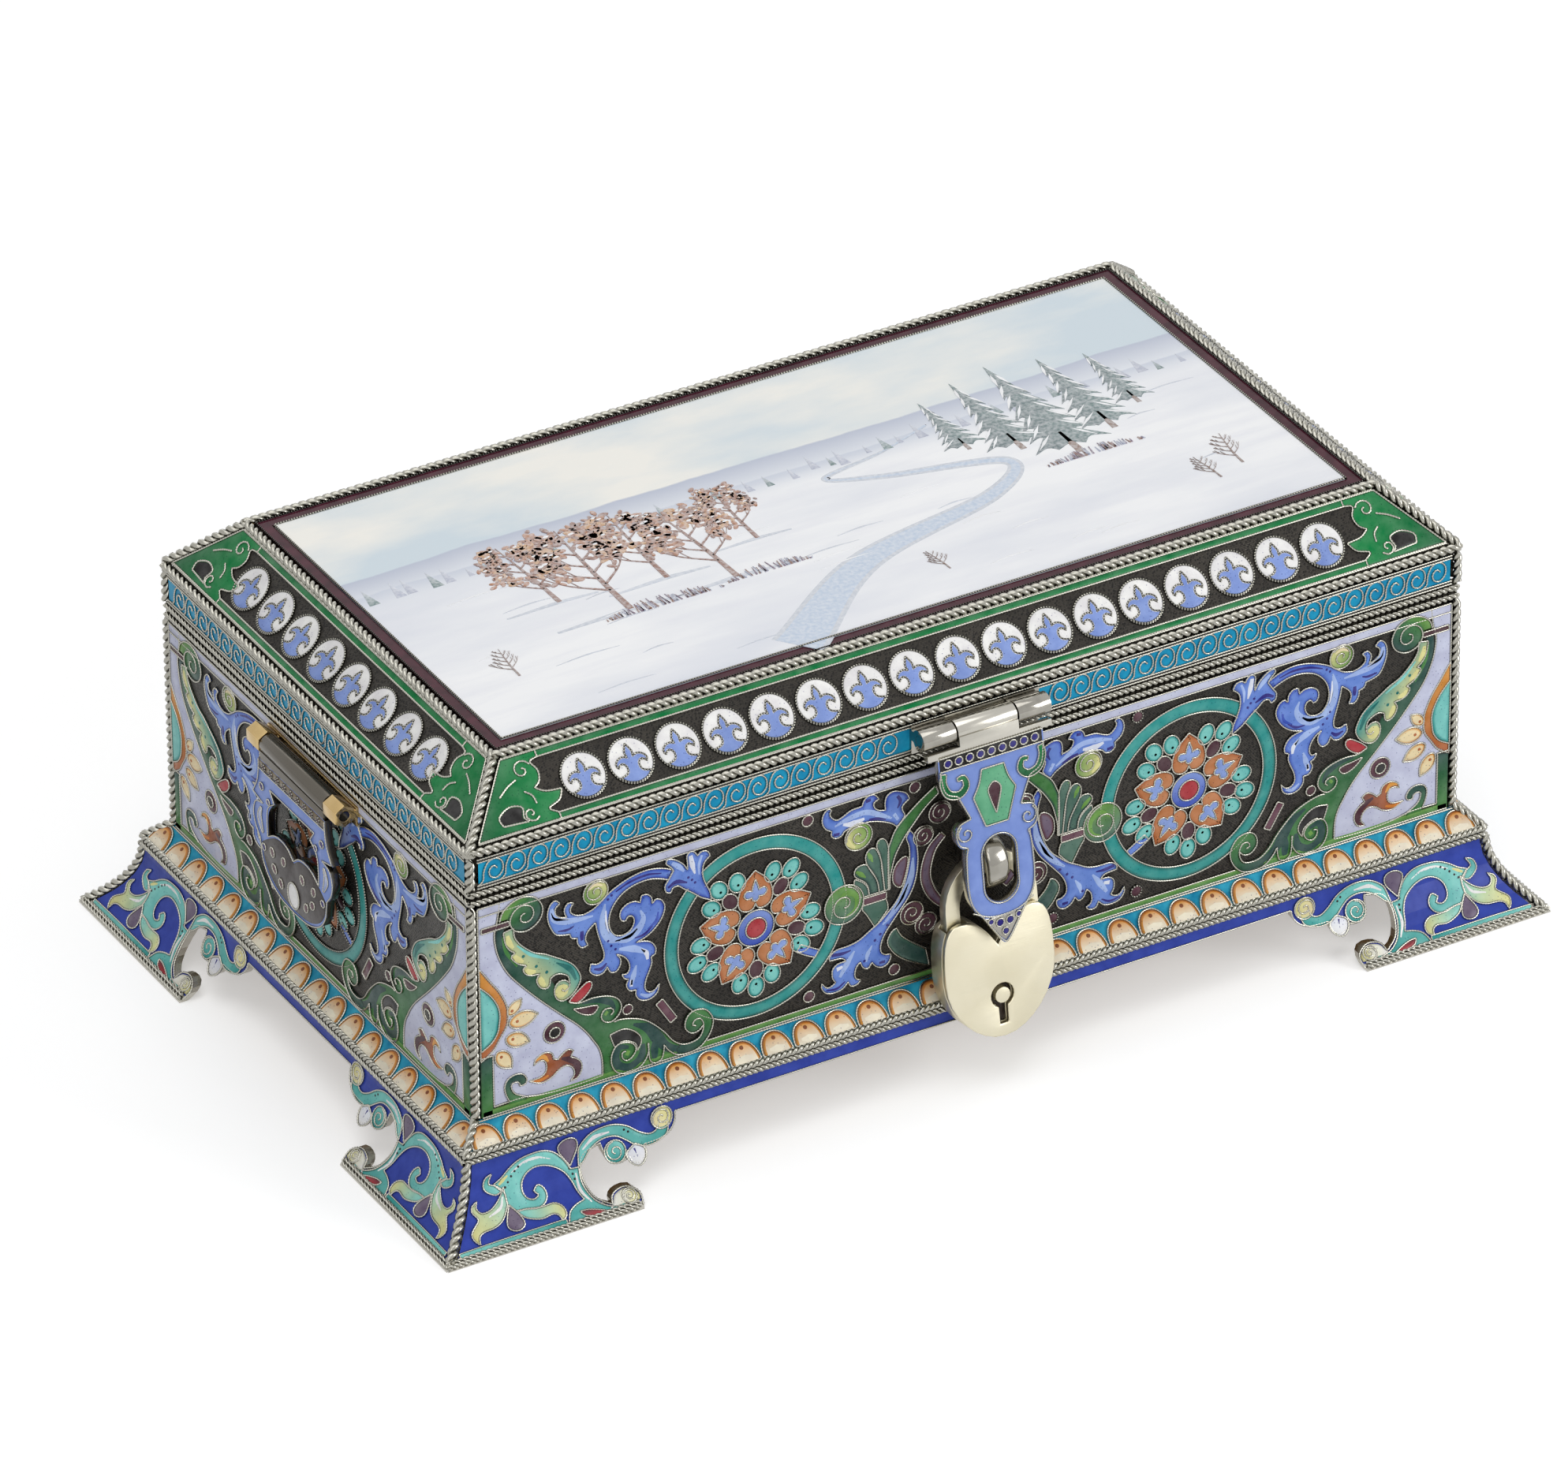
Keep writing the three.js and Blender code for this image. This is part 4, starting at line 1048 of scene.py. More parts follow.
class WireMaker:
    """Builds beaded wires and twisted ropes as swept curves turned to meshes."""

    BEAD_PITCH = 0.45
    WAIST = 0.55
    SIT = 0.25
    FEWEST_BEADS = 3
    TURN_STEPS = 8
    STRAND_REACH = 0.48
    STRAND_RADIUS = 0.54
    UPRIGHT = 0.8

    def sweep(self, name: str, runs: Sequence[tuple[np.ndarray, np.ndarray, bool, np.ndarray]], radius: float,
              reach: float, sides: int = 1) -> bpy.types.Object:
        """Sweeps a round section along paths.

        Args:
            name: Name of the piece.
            runs: Paths in metres, with the share of the radius at each point, whether each is closed, and
                the middle line that its crests stand away from.
            radius: Radius in millimetres.
            reach: How far the crests stand away from the middle line, in millimetres.
            sides: How finely the section is rounded.

        Returns:
            The piece, with the share of that reach in the attribute named crest.
        """
        curve = bpy.data.curves.new(name, "CURVE")
        curve.dimensions = "3D"
        curve.bevel_depth = radius * MM
        curve.bevel_resolution = sides
        curve.use_fill_caps = True
        for path, share, closed, _ in runs:
            spline = curve.splines.new("POLY")
            spline.points.add(len(path) - 1)
            spline.points.foreach_set("co", np.column_stack((path, np.ones(len(path)))).ravel())
            spline.points.foreach_set("radius", share)
            spline.use_cyclic_u = closed
        helper = link_object(name + ".path", curve)
        graph = bpy.context.evaluated_depsgraph_get()
        mesh = bpy.data.meshes.new_from_object(helper.evaluated_get(graph))
        bpy.data.objects.remove(helper)
        bpy.data.curves.remove(curve)
        shade_smooth(mesh)
        mesh.name = name
        spines = [spine if closed else np.vstack((spine, spine[[0, -1]])) for _, _, closed, spine in runs]
        rings = vertex_points(mesh).reshape(sum(map(len, spines)), -1, 3)
        crest = np.linalg.norm(rings - np.vstack(spines)[:, None, :], axis=2) / (reach * MM)
        mesh.attributes.new("crest", "FLOAT", "POINT").data.foreach_set("value", crest.ravel())
        return link_object(name, mesh)

    def beaded(self, name: str, drawing: Drawing, face: Face) -> bpy.types.Object:
        """Builds every wire of a drawing as a string of beads.

        Args:
            name: Name of the piece.
            drawing: The drawing.
            face: The face it lies on.

        Returns:
            The piece.
        """
        radius = drawing.wire_radius
        runs = []
        for wire in drawing.wires:
            path = np.vstack((wire.path, wire.path[:1])) if wire.closed else wire.path
            steps = arc_lengths(path)
            beads = max(self.FEWEST_BEADS, round(steps[-1] / self.BEAD_PITCH))
            at = np.linspace(0, steps[-1], 2 * beads + 1)
            flat = points_at(path, steps, at)
            share = np.where(np.arange(len(at)) % 2 == 0, self.WAIST, 1.0) * wire.radius / radius
            if wire.closed:
                flat, share = flat[:-1], share[:-1]
            lift = np.full(len(flat), wire.lift + self.SIT * wire.radius)
            spot = face.place(flat, lift)
            runs.append((spot, share, wire.closed, spot))
        return self.sweep(name, runs, radius, radius, sides=0)

    def twisted(self, name: str, paths: Iterable[np.ndarray], radius: float, pitch: float,
                hands: Sequence[int] = (1,)) -> bpy.types.Object:
        """Builds ropes of two strands wound round each other.

        Args:
            name: Name of the piece.
            paths: Middle lines in millimetres.
            radius: Radius over both strands.
            pitch: Length of one turn.
            hands: The way each path is wound, in turn.

        Returns:
            The piece.
        """
        runs = []
        for number, path in enumerate(paths):
            hand = hands[number % len(hands)]
            steps = arc_lengths(path)
            count = max(self.TURN_STEPS, math.ceil(steps[-1] / pitch * self.TURN_STEPS))
            at = np.linspace(0, steps[-1], count)
            middle = points_at(path, steps, at)
            way = unit(np.gradient(middle, axis=0))
            upright = abs(way[0, 2]) > self.UPRIGHT
            aside = unit(np.cross(way, (0.6, 0.8, 0.0) if upright else (0.0, 0.0, 1.0)))
            above = np.cross(way, aside)
            for phase in (0.0, math.pi):
                angle = hand * (2 * math.pi * at / pitch + phase)[:, None]
                turn = np.cos(angle) * aside + np.sin(angle) * above
                strand = middle + radius * self.STRAND_REACH * turn
                runs.append((strand * MM, np.ones(len(strand)), False, middle * MM))
        return self.sweep(name, runs, radius * self.STRAND_RADIUS, radius)


class NodeSheet:
    """A node tree with short ways to add and join nodes."""

    def __init__(self, tree: bpy.types.NodeTree) -> None:
        """Starts on an empty tree."""
        self.tree = tree
        tree.nodes.clear()

    def add(self, kind: str, inputs: dict | None = None, **settings: object) -> bpy.types.Node:
        """Adds a node.

        Args:
            kind: The node's type.
            inputs: Values or sockets for its inputs, by name or number.
            settings: Values for its own settings.

        Returns:
            The node.
        """
        node = self.tree.nodes.new(kind)
        for name, value in settings.items():
            setattr(node, name, value)
        for name, value in (inputs or {}).items():
            self.feed(node.inputs[name], value)
        return node

    def feed(self, socket: bpy.types.NodeSocket, value: object) -> None:
        """Joins a socket to an input, or sets a value on it.

        Args:
            socket: The input.
            value: The value, or the socket that gives it.
        """
        if isinstance(value, bpy.types.NodeSocket):
            self.tree.links.new(value, socket)
        else:
            socket.default_value = value

    def mix(self, share: object, low: object, high: object, blend: str = "MIX") -> bpy.types.NodeSocket:
        """Mixes two colours.

        Args:
            share: How much of the second colour.
            low: The first colour.
            high: The second colour.
            blend: How they are mixed.

        Returns:
            The mixed colour.
        """
        inputs = {0: share, 6: low, 7: high}
        return self.add("ShaderNodeMix", inputs, data_type="RGBA", blend_type=blend).outputs[2]

    def span(self, value: bpy.types.NodeSocket, low: object, high: object, to_low: float = 0.0,
             to_high: float = 1.0) -> bpy.types.NodeSocket:
        """Carries a value from one range to another, held at its ends."""
        inputs = {"Value": value, "From Min": low, "From Max": high, "To Min": to_low, "To Max": to_high}
        return self.add("ShaderNodeMapRange", inputs).outputs["Result"]

    def math(self, operation: str, *values: object) -> bpy.types.NodeSocket:
        """Works out a number from one, two or three values."""
        return self.add("ShaderNodeMath", dict(enumerate(values)), operation=operation).outputs[0]

    def product(self, *values: object) -> bpy.types.NodeSocket:
        """Multiplies two values."""
        return self.math("MULTIPLY", *values)

    def noise(self, place: bpy.types.NodeSocket, scale: object, detail: float = 3.0) -> bpy.types.NodeSocket:
        """Gives a noise value at a place."""
        inputs = {"Vector": place, "Scale": scale, "Detail": detail}
        return self.add("ShaderNodeTexNoise", inputs).outputs["Fac"]

    def place(self) -> bpy.types.NodeSocket:
        """Gives the place on the piece."""
        return self.add("ShaderNodeTexCoord").outputs["Object"]

    def attribute(self, name: str, output: str) -> bpy.types.NodeSocket:
        """Gives a value that the piece carries."""
        return self.add("ShaderNodeAttribute", attribute_name=name).outputs[output]

    def bump(self, height: bpy.types.NodeSocket, strength: float, distance: float) -> bpy.types.NodeSocket:
        """Gives the normals of a fine relief."""
        inputs = {"Height": height, "Strength": strength, "Distance": distance}
        return self.add("ShaderNodeBump", inputs).outputs["Normal"]

    def split(self, vector: bpy.types.NodeSocket) -> bpy.types.bpy_prop_collection:
        """Gives the X, Y and Z of a vector."""
        return self.add("ShaderNodeSeparateXYZ", {"Vector": vector}).outputs


def colour(hexes: str) -> tuple[float, float, float, float]:
    """A colour written as six hex digits, for a socket."""
    return (*map(float, linear_light(hexes)), 1.0)


class Effects:
    """Node groups that several finishes share."""

    def __init__(self) -> None:
        """Builds the groups once."""
        self.clouds = self._clouds()
        self.crevices = self._crevices()

    def _group(self, name: str, inputs: dict[str, float], outputs: dict[str, str]
               ) -> tuple[bpy.types.NodeTree, NodeSheet, bpy.types.Node, bpy.types.Node]:
        """Starts a group.

        Args:
            name: Its name.
            inputs: Names and first values of its number inputs.
            outputs: Names and socket types of its outputs.

        Returns:
            The group, its sheet, its input node and its output node.
        """
        group = bpy.data.node_groups.new(name, "ShaderNodeTree")
        for label, value in inputs.items():
            socket = group.interface.new_socket(label, in_out="INPUT", socket_type="NodeSocketFloat")
            socket.default_value = value
        for label, kind in outputs.items():
            group.interface.new_socket(label, in_out="OUTPUT", socket_type=kind)
        sheet = NodeSheet(group)
        return group, sheet, sheet.add("NodeGroupInput"), sheet.add("NodeGroupOutput")

    def _clouds(self) -> bpy.types.NodeTree:
        """Builds the uneven depth of fired enamel: soft clouds and tiny pits.

        Returns:
            The group.
        """
        group, sheet, given, result = self._group(
            "kiln_clouds", {"Scale": 900.0}, {"Clouds": "NodeSocketFloat", "Pits": "NodeSocketFloat"})
        place = sheet.place()
        soft = sheet.noise(place, given.outputs["Scale"], 4.0)
        fine = sheet.add("ShaderNodeTexVoronoi", {"Vector": place, "Scale": 1700.0}).outputs["Distance"]
        sheet.feed(result.inputs["Clouds"], sheet.span(soft, 0.3, 0.7))
        sheet.feed(result.inputs["Pits"], sheet.span(fine, 0.05, 0.2, 1.0, 0.0))
        return group

    def _crevices(self) -> bpy.types.NodeTree:
        """Builds the painted shade that stays between beads and strands, and the painted highlight on their
        crests.

        Returns:
            The group.
        """
        group, sheet, given, result = self._group(
            "crevices", {"Low": 0.42, "High": 0.55}, {"Bright": "NodeSocketFloat"})
        point = sheet.add("ShaderNodeNewGeometry").outputs["Pointiness"]
        spots = sheet.span(sheet.noise(sheet.place(), 350.0), 0.35, 0.65, 0.75, 1.0)
        # Painted highlight on convex crests and painted shade in hollows, from pointiness.
        crest = sheet.span(point, given.outputs["Low"], given.outputs["High"])
        sheet.feed(result.inputs["Bright"], sheet.product(crest, spots))
        return group


class Finish(ABC):
    """A finish that builds its material once."""

    name: str

    def build(self, effects: Effects) -> bpy.types.Material:
        """Builds the material.

        Args:
            effects: The shared groups.

        Returns:
            The material.
        """
        material = bpy.data.materials.new(self.name)
        material.use_nodes = True
        sheet = NodeSheet(material.node_tree)
        shader = sheet.add("ShaderNodeBsdfPrincipled")
        self.dress(sheet, shader, effects)
        sheet.add("ShaderNodeOutputMaterial", {"Surface": shader.outputs["BSDF"]})
        return material

    @abstractmethod
    def dress(self, sheet: NodeSheet, shader: bpy.types.Node, effects: Effects) -> None:
        """Sets the shader's values and nodes."""

    @staticmethod
    def join(sheet: NodeSheet, shader: bpy.types.Node, **sockets: object) -> None:
        """Joins sockets or sets values on the shader, with underscores for spaces."""
        for name, value in sockets.items():
            sheet.feed(shader.inputs[name.replace("_", " ")], value)

    @staticmethod
    def group(sheet: NodeSheet, tree: bpy.types.NodeTree, **values: float) -> bpy.types.Node:
        """Places a shared group."""
        return sheet.add("ShaderNodeGroup", values, node_tree=tree)


@dataclass(frozen=True)
class CellEnamel(Finish):
    """Enamel in wire cells, in the colours that the piece carries."""

    name: str = "cell_enamel"
    pits: float = 0.85

    def dress(self, sheet: NodeSheet, shader: bpy.types.Node, effects: Effects) -> None:
        """Sets glossy enamel with cloudy depth.

        Args:
            sheet: The node sheet.
            shader: The material's shader.
            effects: The shared groups.
        """
        tint = sheet.attribute("tint", "Color")
        clouds = self.group(sheet, effects.clouds, Scale=CLOUD_SCALE)
        deep = sheet.mix(1.0, tint, colour("ebe9ee"), "MULTIPLY")
        light = sheet.mix(0.06, tint, colour("ffffff"))
        body = sheet.mix(clouds.outputs["Clouds"], deep, light)
        pitted = sheet.mix(1.0, body, colour("7a7ca8"), "MULTIPLY")
        share = sheet.product(clouds.outputs["Pits"], self.pits)
        self.join(sheet, shader, Base_Color=sheet.mix(share, body, pitted),
                  Roughness=sheet.span(clouds.outputs["Clouds"], 0, 1, 0.22, 0.13),
                  Specular_IOR_Level=ENAMEL_SHINE, Coat_Weight=ENAMEL_COAT, Coat_Roughness=0.05)


class Looks(Enum):
    """Which way the enamelled side of a solid looks."""

    OUTWARDS = "outwards"
    UPWARDS = "upwards"


@dataclass(frozen=True)
class GroundEnamel(Finish):
    """Enamel that covers one side of a solid, up to a height, with bare metal on its other sides."""

    name: str
    light: str
    deep: str
    metal: str = "8f8b82"
    looks: Looks = Looks.OUTWARDS
    below: float = 1.0
    above: float = -1.0
    blur: float = 0.0001

    def dress(self, sheet: NodeSheet, shader: bpy.types.Node, effects: Effects) -> None:
        """Sets two depths of enamel on the faces that look the right way, and metal elsewhere.

        Args:
            sheet: The node sheet.
            shader: The material's shader.
            effects: The shared groups.
        """
        clouds = self.group(sheet, effects.clouds, Scale=CLOUD_SCALE)
        body = sheet.mix(clouds.outputs["Clouds"], colour(self.deep), colour(self.light))
        outer = self.outer_mask(sheet)
        rough = sheet.span(clouds.outputs["Clouds"], 0, 1, 0.26, 0.16)
        self.join(sheet, shader, Base_Color=sheet.mix(outer, colour(self.metal), body), Roughness=rough,
                  Metallic=sheet.math("SUBTRACT", 1.0, outer), Specular_IOR_Level=ENAMEL_SHINE,
                  Coat_Weight=sheet.product(outer, ENAMEL_COAT), Coat_Roughness=0.06)

    def outer_mask(self, sheet: NodeSheet) -> bpy.types.NodeSocket:
        """Gives 1 on the enamelled faces, and 0 on the others.

        Args:
            sheet: The node sheet.

        Returns:
            The mask.
        """
        place = sheet.add("ShaderNodeTexCoord").outputs
        way = sheet.split(place["Normal"])
        if self.looks is Looks.UPWARDS:
            return sheet.span(way["Z"], 0.5, 0.6)
        spot = sheet.split(place["Object"])
        mitre = (SIZES.half_length - SIZES.half_depth) * MM
        reach = sheet.math("SUBTRACT", sheet.math("ABSOLUTE", spot["X"]), sheet.math("ABSOLUTE", spot["Y"]))
        end = sheet.math("GREATER_THAN", reach, mitre)
        along, across = (sheet.product(way[axis], sheet.math("SIGN", spot[axis])) for axis in ("X", "Y"))
        facing = sheet.math("ADD", sheet.product(along, end),
                            sheet.product(across, sheet.math("SUBTRACT", 1.0, end)))
        low = sheet.span(spot["Z"], self.below, self.below + self.blur, 1.0, 0.0)
        high = sheet.span(spot["Z"], self.above, self.above + self.blur)
        return sheet.product(sheet.span(facing, 0.36, 0.42), sheet.product(low, high))


@dataclass(frozen=True)
class CaseGilt(GroundEnamel):
    """Gilding on the inside of a case, with darkened silver on its outer sides."""

    def dress(self, sheet: NodeSheet, shader: bpy.types.Node, effects: Effects) -> None:
        """Sets two depths of gilding inside and dark metal outside.

        Args:
            sheet: The node sheet.
            shader: The material's shader.
            effects: The shared groups.
        """
        clouds = self.group(sheet, effects.clouds, Scale=300.0).outputs["Clouds"]
        gilding = sheet.mix(clouds, colour(self.deep), colour(self.light))
        body = sheet.mix(self.outer_mask(sheet), gilding, colour(self.metal))
        rough = sheet.span(clouds, 0, 1, 0.36, 0.24)
        self.join(sheet, shader, Base_Color=body, Metallic=1.0, Roughness=rough)


@dataclass(frozen=True)
class DarkGround(Finish):
    """Darkened silver between the cells, stippled with a fine punch."""

    name: str = "dark_ground"

    def dress(self, sheet: NodeSheet, shader: bpy.types.Node, effects: Effects) -> None:
        """Sets dark metal with punched grains and faint scratched arcs.

        Args:
            sheet: The node sheet.
            shader: The material's shader.
            effects: The shared groups; not used.
        """
        place = sheet.place()
        arcs = sheet.add("ShaderNodeTexWave", {
            "Vector": place, "Scale": 1500.0, "Distortion": 22.0, "Detail": 2.0, "Detail Scale": 0.12},
            bands_direction="DIAGONAL")
        grains = sheet.add("ShaderNodeTexVoronoi", {"Vector": place, "Scale": 2300.0}).outputs["Distance"]
        soft = sheet.span(sheet.noise(place, 130.0), 0.3, 0.7)
        scratched = sheet.span(arcs.outputs["Fac"], 0, 1, 0.45, 1.0)
        punched = sheet.product(sheet.span(grains, 0.15, 0.6), scratched)
        tone = sheet.product(punched, sheet.span(soft, 0, 1, 0.5, 1.0))
        self.join(sheet, shader, Base_Color=sheet.mix(tone, colour("0e0d0c"), colour("45413b")),
                  Metallic=0.7, Roughness=sheet.span(soft, 0, 1, 0.5, 0.38),
                  Normal=sheet.bump(punched, 0.5, 0.0001))


@dataclass(frozen=True)
class Metal(Finish):
    """A bright metal with painted shade in its crevices, painted highlight on its crests, and soft scratches.
    """

    name: str
    bright: str
    dark: str
    rough: float
    low: float = 0.44
    high: float = 0.53
    scratch: float = 0.05

    def dress(self, sheet: NodeSheet, shader: bpy.types.Node, effects: Effects) -> None:
        """Sets metal that darkens in its crevices, as painted shade.

        Args:
            sheet: The node sheet.
            shader: The material's shader.
            effects: The shared groups.
        """
        bright = self.bright_mask(sheet, effects)
        place = sheet.place()
        cloud = sheet.noise(place, 240.0, 5.0)
        self.join(sheet, shader, Base_Color=sheet.mix(bright, colour(self.dark), colour(self.bright)),
                  Metallic=1.0, Roughness=sheet.span(cloud, 0.3, 0.7, self.rough * 0.8, self.rough * 1.3),
                  Normal=sheet.bump(sheet.noise(place, 2200.0), self.scratch, 0.0002))

    def bright_mask(self, sheet: NodeSheet, effects: Effects) -> bpy.types.NodeSocket:
        """Gives 1 on the painted highlight and 0 in the painted shade of the crevices."""
        return self.group(sheet, effects.crevices, Low=self.low, High=self.high).outputs["Bright"]


@dataclass(frozen=True)
class WireMetal(Metal):
    """Wire and rope, with painted highlight on the crests that the piece carries and painted shade in its
    hollows.
    """

    def bright_mask(self, sheet: NodeSheet, effects: Effects) -> bpy.types.NodeSocket:
        """Gives 1 on the painted highlight of crests and 0 in the painted shade of hollows."""
        return sheet.span(sheet.attribute("crest", "Fac"), self.low, self.high)


@dataclass(frozen=True)
class BrushedGold(Finish):
    """Pale gilt with fine straight brushing."""

    name: str = "lock_gold"

    def dress(self, sheet: NodeSheet, shader: bpy.types.Node, effects: Effects) -> None:
        """Sets brushed pale gold.

        Args:
            sheet: The node sheet.
            shader: The material's shader.
            effects: The shared groups; not used.
        """
        place = sheet.place()
        drawn = sheet.add("ShaderNodeMapping", {"Vector": place, "Rotation": (0.0, 0.5, 0.0),
                                                "Scale": (260.0, 400.0, 5200.0)}).outputs["Vector"]
        grain = sheet.noise(drawn, 1.0, 2.0)
        cloud = sheet.noise(place, 130.0)
        self.join(sheet, shader, Base_Color=sheet.mix(cloud, colour("cec6aa"), colour("e0dac5")),
                  Metallic=1.0, Roughness=sheet.span(grain, 0.3, 0.7, 0.3, 0.44),
                  Normal=sheet.bump(grain, 0.12, 0.0001))


@dataclass(frozen=True)
class SnowPainting(Finish):
    """Painted enamel of the plaque: pale sky over snow fields."""

    name: str = "snow_painting"

    def dress(self, sheet: NodeSheet, shader: bpy.types.Node, effects: Effects) -> None:
        """Sets soft brush work in pale blues and whites.

        Args:
            sheet: The node sheet.
            shader: The material's shader.
            effects: The shared groups; not used.
        """
        place = sheet.place()
        height = sheet.split(place)["Y"]
        drift = sheet.span(self.streaks(sheet, place, (18.0, 62.0, 60.0), 0.18), 0.42, 0.72)
        fine = sheet.span(self.streaks(sheet, place, (60.0, 420.0, 60.0), 0.12), 0.45, 0.75, 0.0, 0.5)
        snow = sheet.mix(fine, sheet.mix(drift, colour("f3f4f6"), colour("d2d7e3")), colour("dfe1ea"))
        cloud = sheet.span(self.streaks(sheet, place, (26.0, 60.0, 60.0), 0.0), 0.4, 0.66)
        picture = sheet.mix(cloud, colour("c4d4de"), colour("f0eee6"))
        for level, wave, scale, far, near in ((0.0150, 0.0050, 24.0, "a9b2c8", "dde2ea"),
                                              (0.0098, 0.0036, 38.0, "c0c8d8", "eef0f3")):
            ridge = self.streaks(sheet, place, (scale, 0.0, 0.0), 0.0)
            line = sheet.math("MULTIPLY_ADD", ridge, wave, level - wave / 2)
            under = sheet.math("SUBTRACT", line, height)
            tone = sheet.mix(sheet.span(under, 0.0, 0.0065), colour(far), colour(near))
            picture = sheet.mix(sheet.span(under, 0.0, 0.0004), picture, tone)
        picture = sheet.mix(sheet.span(height, 0.0035, 0.0085, 1.0, 0.0), picture, snow)
        self.join(sheet, shader, Base_Color=picture, Roughness=0.16, Coat_Weight=0.4, Coat_Roughness=0.05)

    @staticmethod
    def streaks(sheet: NodeSheet, place: bpy.types.NodeSocket, scale: tuple[float, float, float],
                turn: float) -> bpy.types.NodeSocket:
        """Gives soft noise that is drawn out along one way."""
        inputs = {"Vector": place, "Rotation": (0.0, 0.0, turn), "Scale": scale}
        return sheet.noise(sheet.add("ShaderNodeMapping", inputs).outputs["Vector"], 1.0, 5.6)


@dataclass(frozen=True)
class Paint(Finish):
    """Thin strokes of painted enamel on the plaque, in the colours that the piece carries."""

    name: str = "plaque_paint"

    def dress(self, sheet: NodeSheet, shader: bpy.types.Node, effects: Effects) -> None:
        """Sets soft paint with brush marks.

        Args:
            sheet: The node sheet.
            shader: The material's shader.
            effects: The shared groups; not used.
        """
        tint = sheet.attribute("tint", "Color")
        place = sheet.place()
        marks = sheet.span(sheet.noise(place, 1500.0, 4.0), 0.35, 0.65)
        pale = sheet.mix(0.4, tint, colour("f0f1f4"))
        self.join(sheet, shader, Base_Color=sheet.mix(marks, tint, pale), Roughness=0.2, Coat_Weight=0.3,
                  Coat_Roughness=0.06)


class Bench:
    """The maker's bench: finishes and the tools that build pieces."""

    WELD = 1e-7
    FLAT = math.radians(1)
    SHARP = math.radians(35)
    CREASE = math.radians(40)
    EDGE_STEPS = 2

    def __init__(self) -> None:
        """Builds every finish."""
        effects = Effects()
        self.enamel = EnamelMaker()
        self.wire = WireMaker()
        finishes = {
            "cells": CellEnamel(),
            "ground": DarkGround(),
            # Bright and dark colours of the metals: painted highlight on crests, painted shade in hollows.
            "wire": WireMetal("silver_wire", "aeaca2", "100f0d", 0.2, 0.62, 1.03),
            "rope": WireMetal("silver_rope", "a19f96", "090807", 0.2, 0.7, 1.0),
            "silver": Metal("polished_silver", "a5a29a", "4e4a43", 0.13),
            "steel": Metal("polished_steel", "6a665f", "282622", 0.1),
            "fitting_gilt": Metal("gilt_fittings", "c8ae7c", "84673a", 0.2),
            "lock": BrushedGold(),
            "frieze": GroundEnamel("frieze_enamel", "1fa6d0", "0f86b4"),
            "bead": GroundEnamel("bead_ground", "3db2d2", "1580a8"),
            "skirt": GroundEnamel("skirt_enamel", "3d50b2", "31429e", "b9b6ad", above=0.0008),
            "hasp": GroundEnamel("hasp_enamel", "8ba3e4", "7b93d8", "b9b6ad", below=0.0564),
            "handle": GroundEnamel("handle_enamel", "8ba3e4", "7b93d8", "625e57", below=0.0491),
            "border": GroundEnamel("border_enamel", "541f30", "38131f", looks=Looks.UPWARDS),
            "case": CaseGilt("casket_case", "8a6a34", "6c4e22", "5c5850"),
            "painting": SnowPainting(),
            "paint": Paint(),
        }
        self.materials = {key: finish.build(effects) for key, finish in finishes.items()}

    def dress(self, mesh: bpy.types.Mesh, key: str) -> None:
        """Gives a mesh a finish."""
        mesh.materials.clear()
        mesh.materials.append(self.materials[key])

    def dress_node(self, node: str, key: str) -> None:
        """Gives a CAD node a finish."""
        self.dress(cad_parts[node].data, key)

    def settle(self, piece: bpy.types.Object, body: Body, slot: str, key: str, *nodes: str) -> None:
        """Dresses a piece and hands it to its body.

        Args:
            piece: The piece.
            body: The body it rides on.
            slot: The record's slot; not used.
            key: The finish.
            nodes: Nodes that it stands for.
        """
        self.dress(piece.data, key)
        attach(piece, body.value)
        if nodes:
            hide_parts(*nodes)
        LOG.info("%s: %d faces", piece.name, len(piece.data.polygons))

    def rope(self, name: str, paths: Sequence[np.ndarray], radius: float, pitch: float, body: Body,
             *nodes: str, hands: Sequence[int] = (1,)) -> None:
        """Winds ropes along paths, in place of nodes where some are named."""
        piece = self.wire.twisted(name, paths, radius, pitch, hands)
        self.settle(piece, body, "silver_wire", "rope", *nodes)

    def ornament(self, name: str, drawing: Drawing, face: Face, body: Body, slot: str) -> None:
        """Lays a drawing's enamel and wires on a face.

        Args:
            name: Name of the pieces.
            drawing: The drawing.
            face: The face.
            body: The body they ride on.
            slot: The record's slot for the enamel.
        """
        if drawing.cells:
            self.settle(self.enamel.build(f"{name}_enamel", drawing, face), body, slot, "cells")
        if drawing.wires:
            self.settle(self.wire.beaded(f"{name}_wire", drawing, face), body, "silver_wire", "wire")

    def softened(self, node: str, body: Body, slot: str, key: str, edge: float) -> None:
        """Puts a copy of a CAD node with rounded edges in its place.

        Args:
            node: The node.
            body: The body it rides on.
            slot: The record's slot.
            key: The finish.
            edge: Width of the rounding in millimetres.
        """
        shape = bmesh.new()
        shape.from_mesh(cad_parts[node].data)
        bmesh.ops.remove_doubles(shape, verts=shape.verts, dist=self.WELD)
        bmesh.ops.dissolve_limit(shape, angle_limit=self.FLAT, verts=shape.verts, edges=shape.edges)
        sharp = [e for e in shape.edges if e.is_manifold and e.calc_face_angle(0) > self.SHARP]
        bmesh.ops.bevel(shape, geom=sharp, offset=edge * MM, offset_type="OFFSET", affect="EDGES",
                        segments=self.EDGE_STEPS, profile=0.5, material=-1, clamp_overlap=True)
        mesh = bpy.data.meshes.new(f"{node}_soft")
        shape.to_mesh(mesh)
        shape.free()
        shade_smooth(mesh)
        mesh.set_sharp_from_angle(angle=self.CREASE)
        self.settle(link_object(f"{node}_soft", mesh), body, slot, key, node)


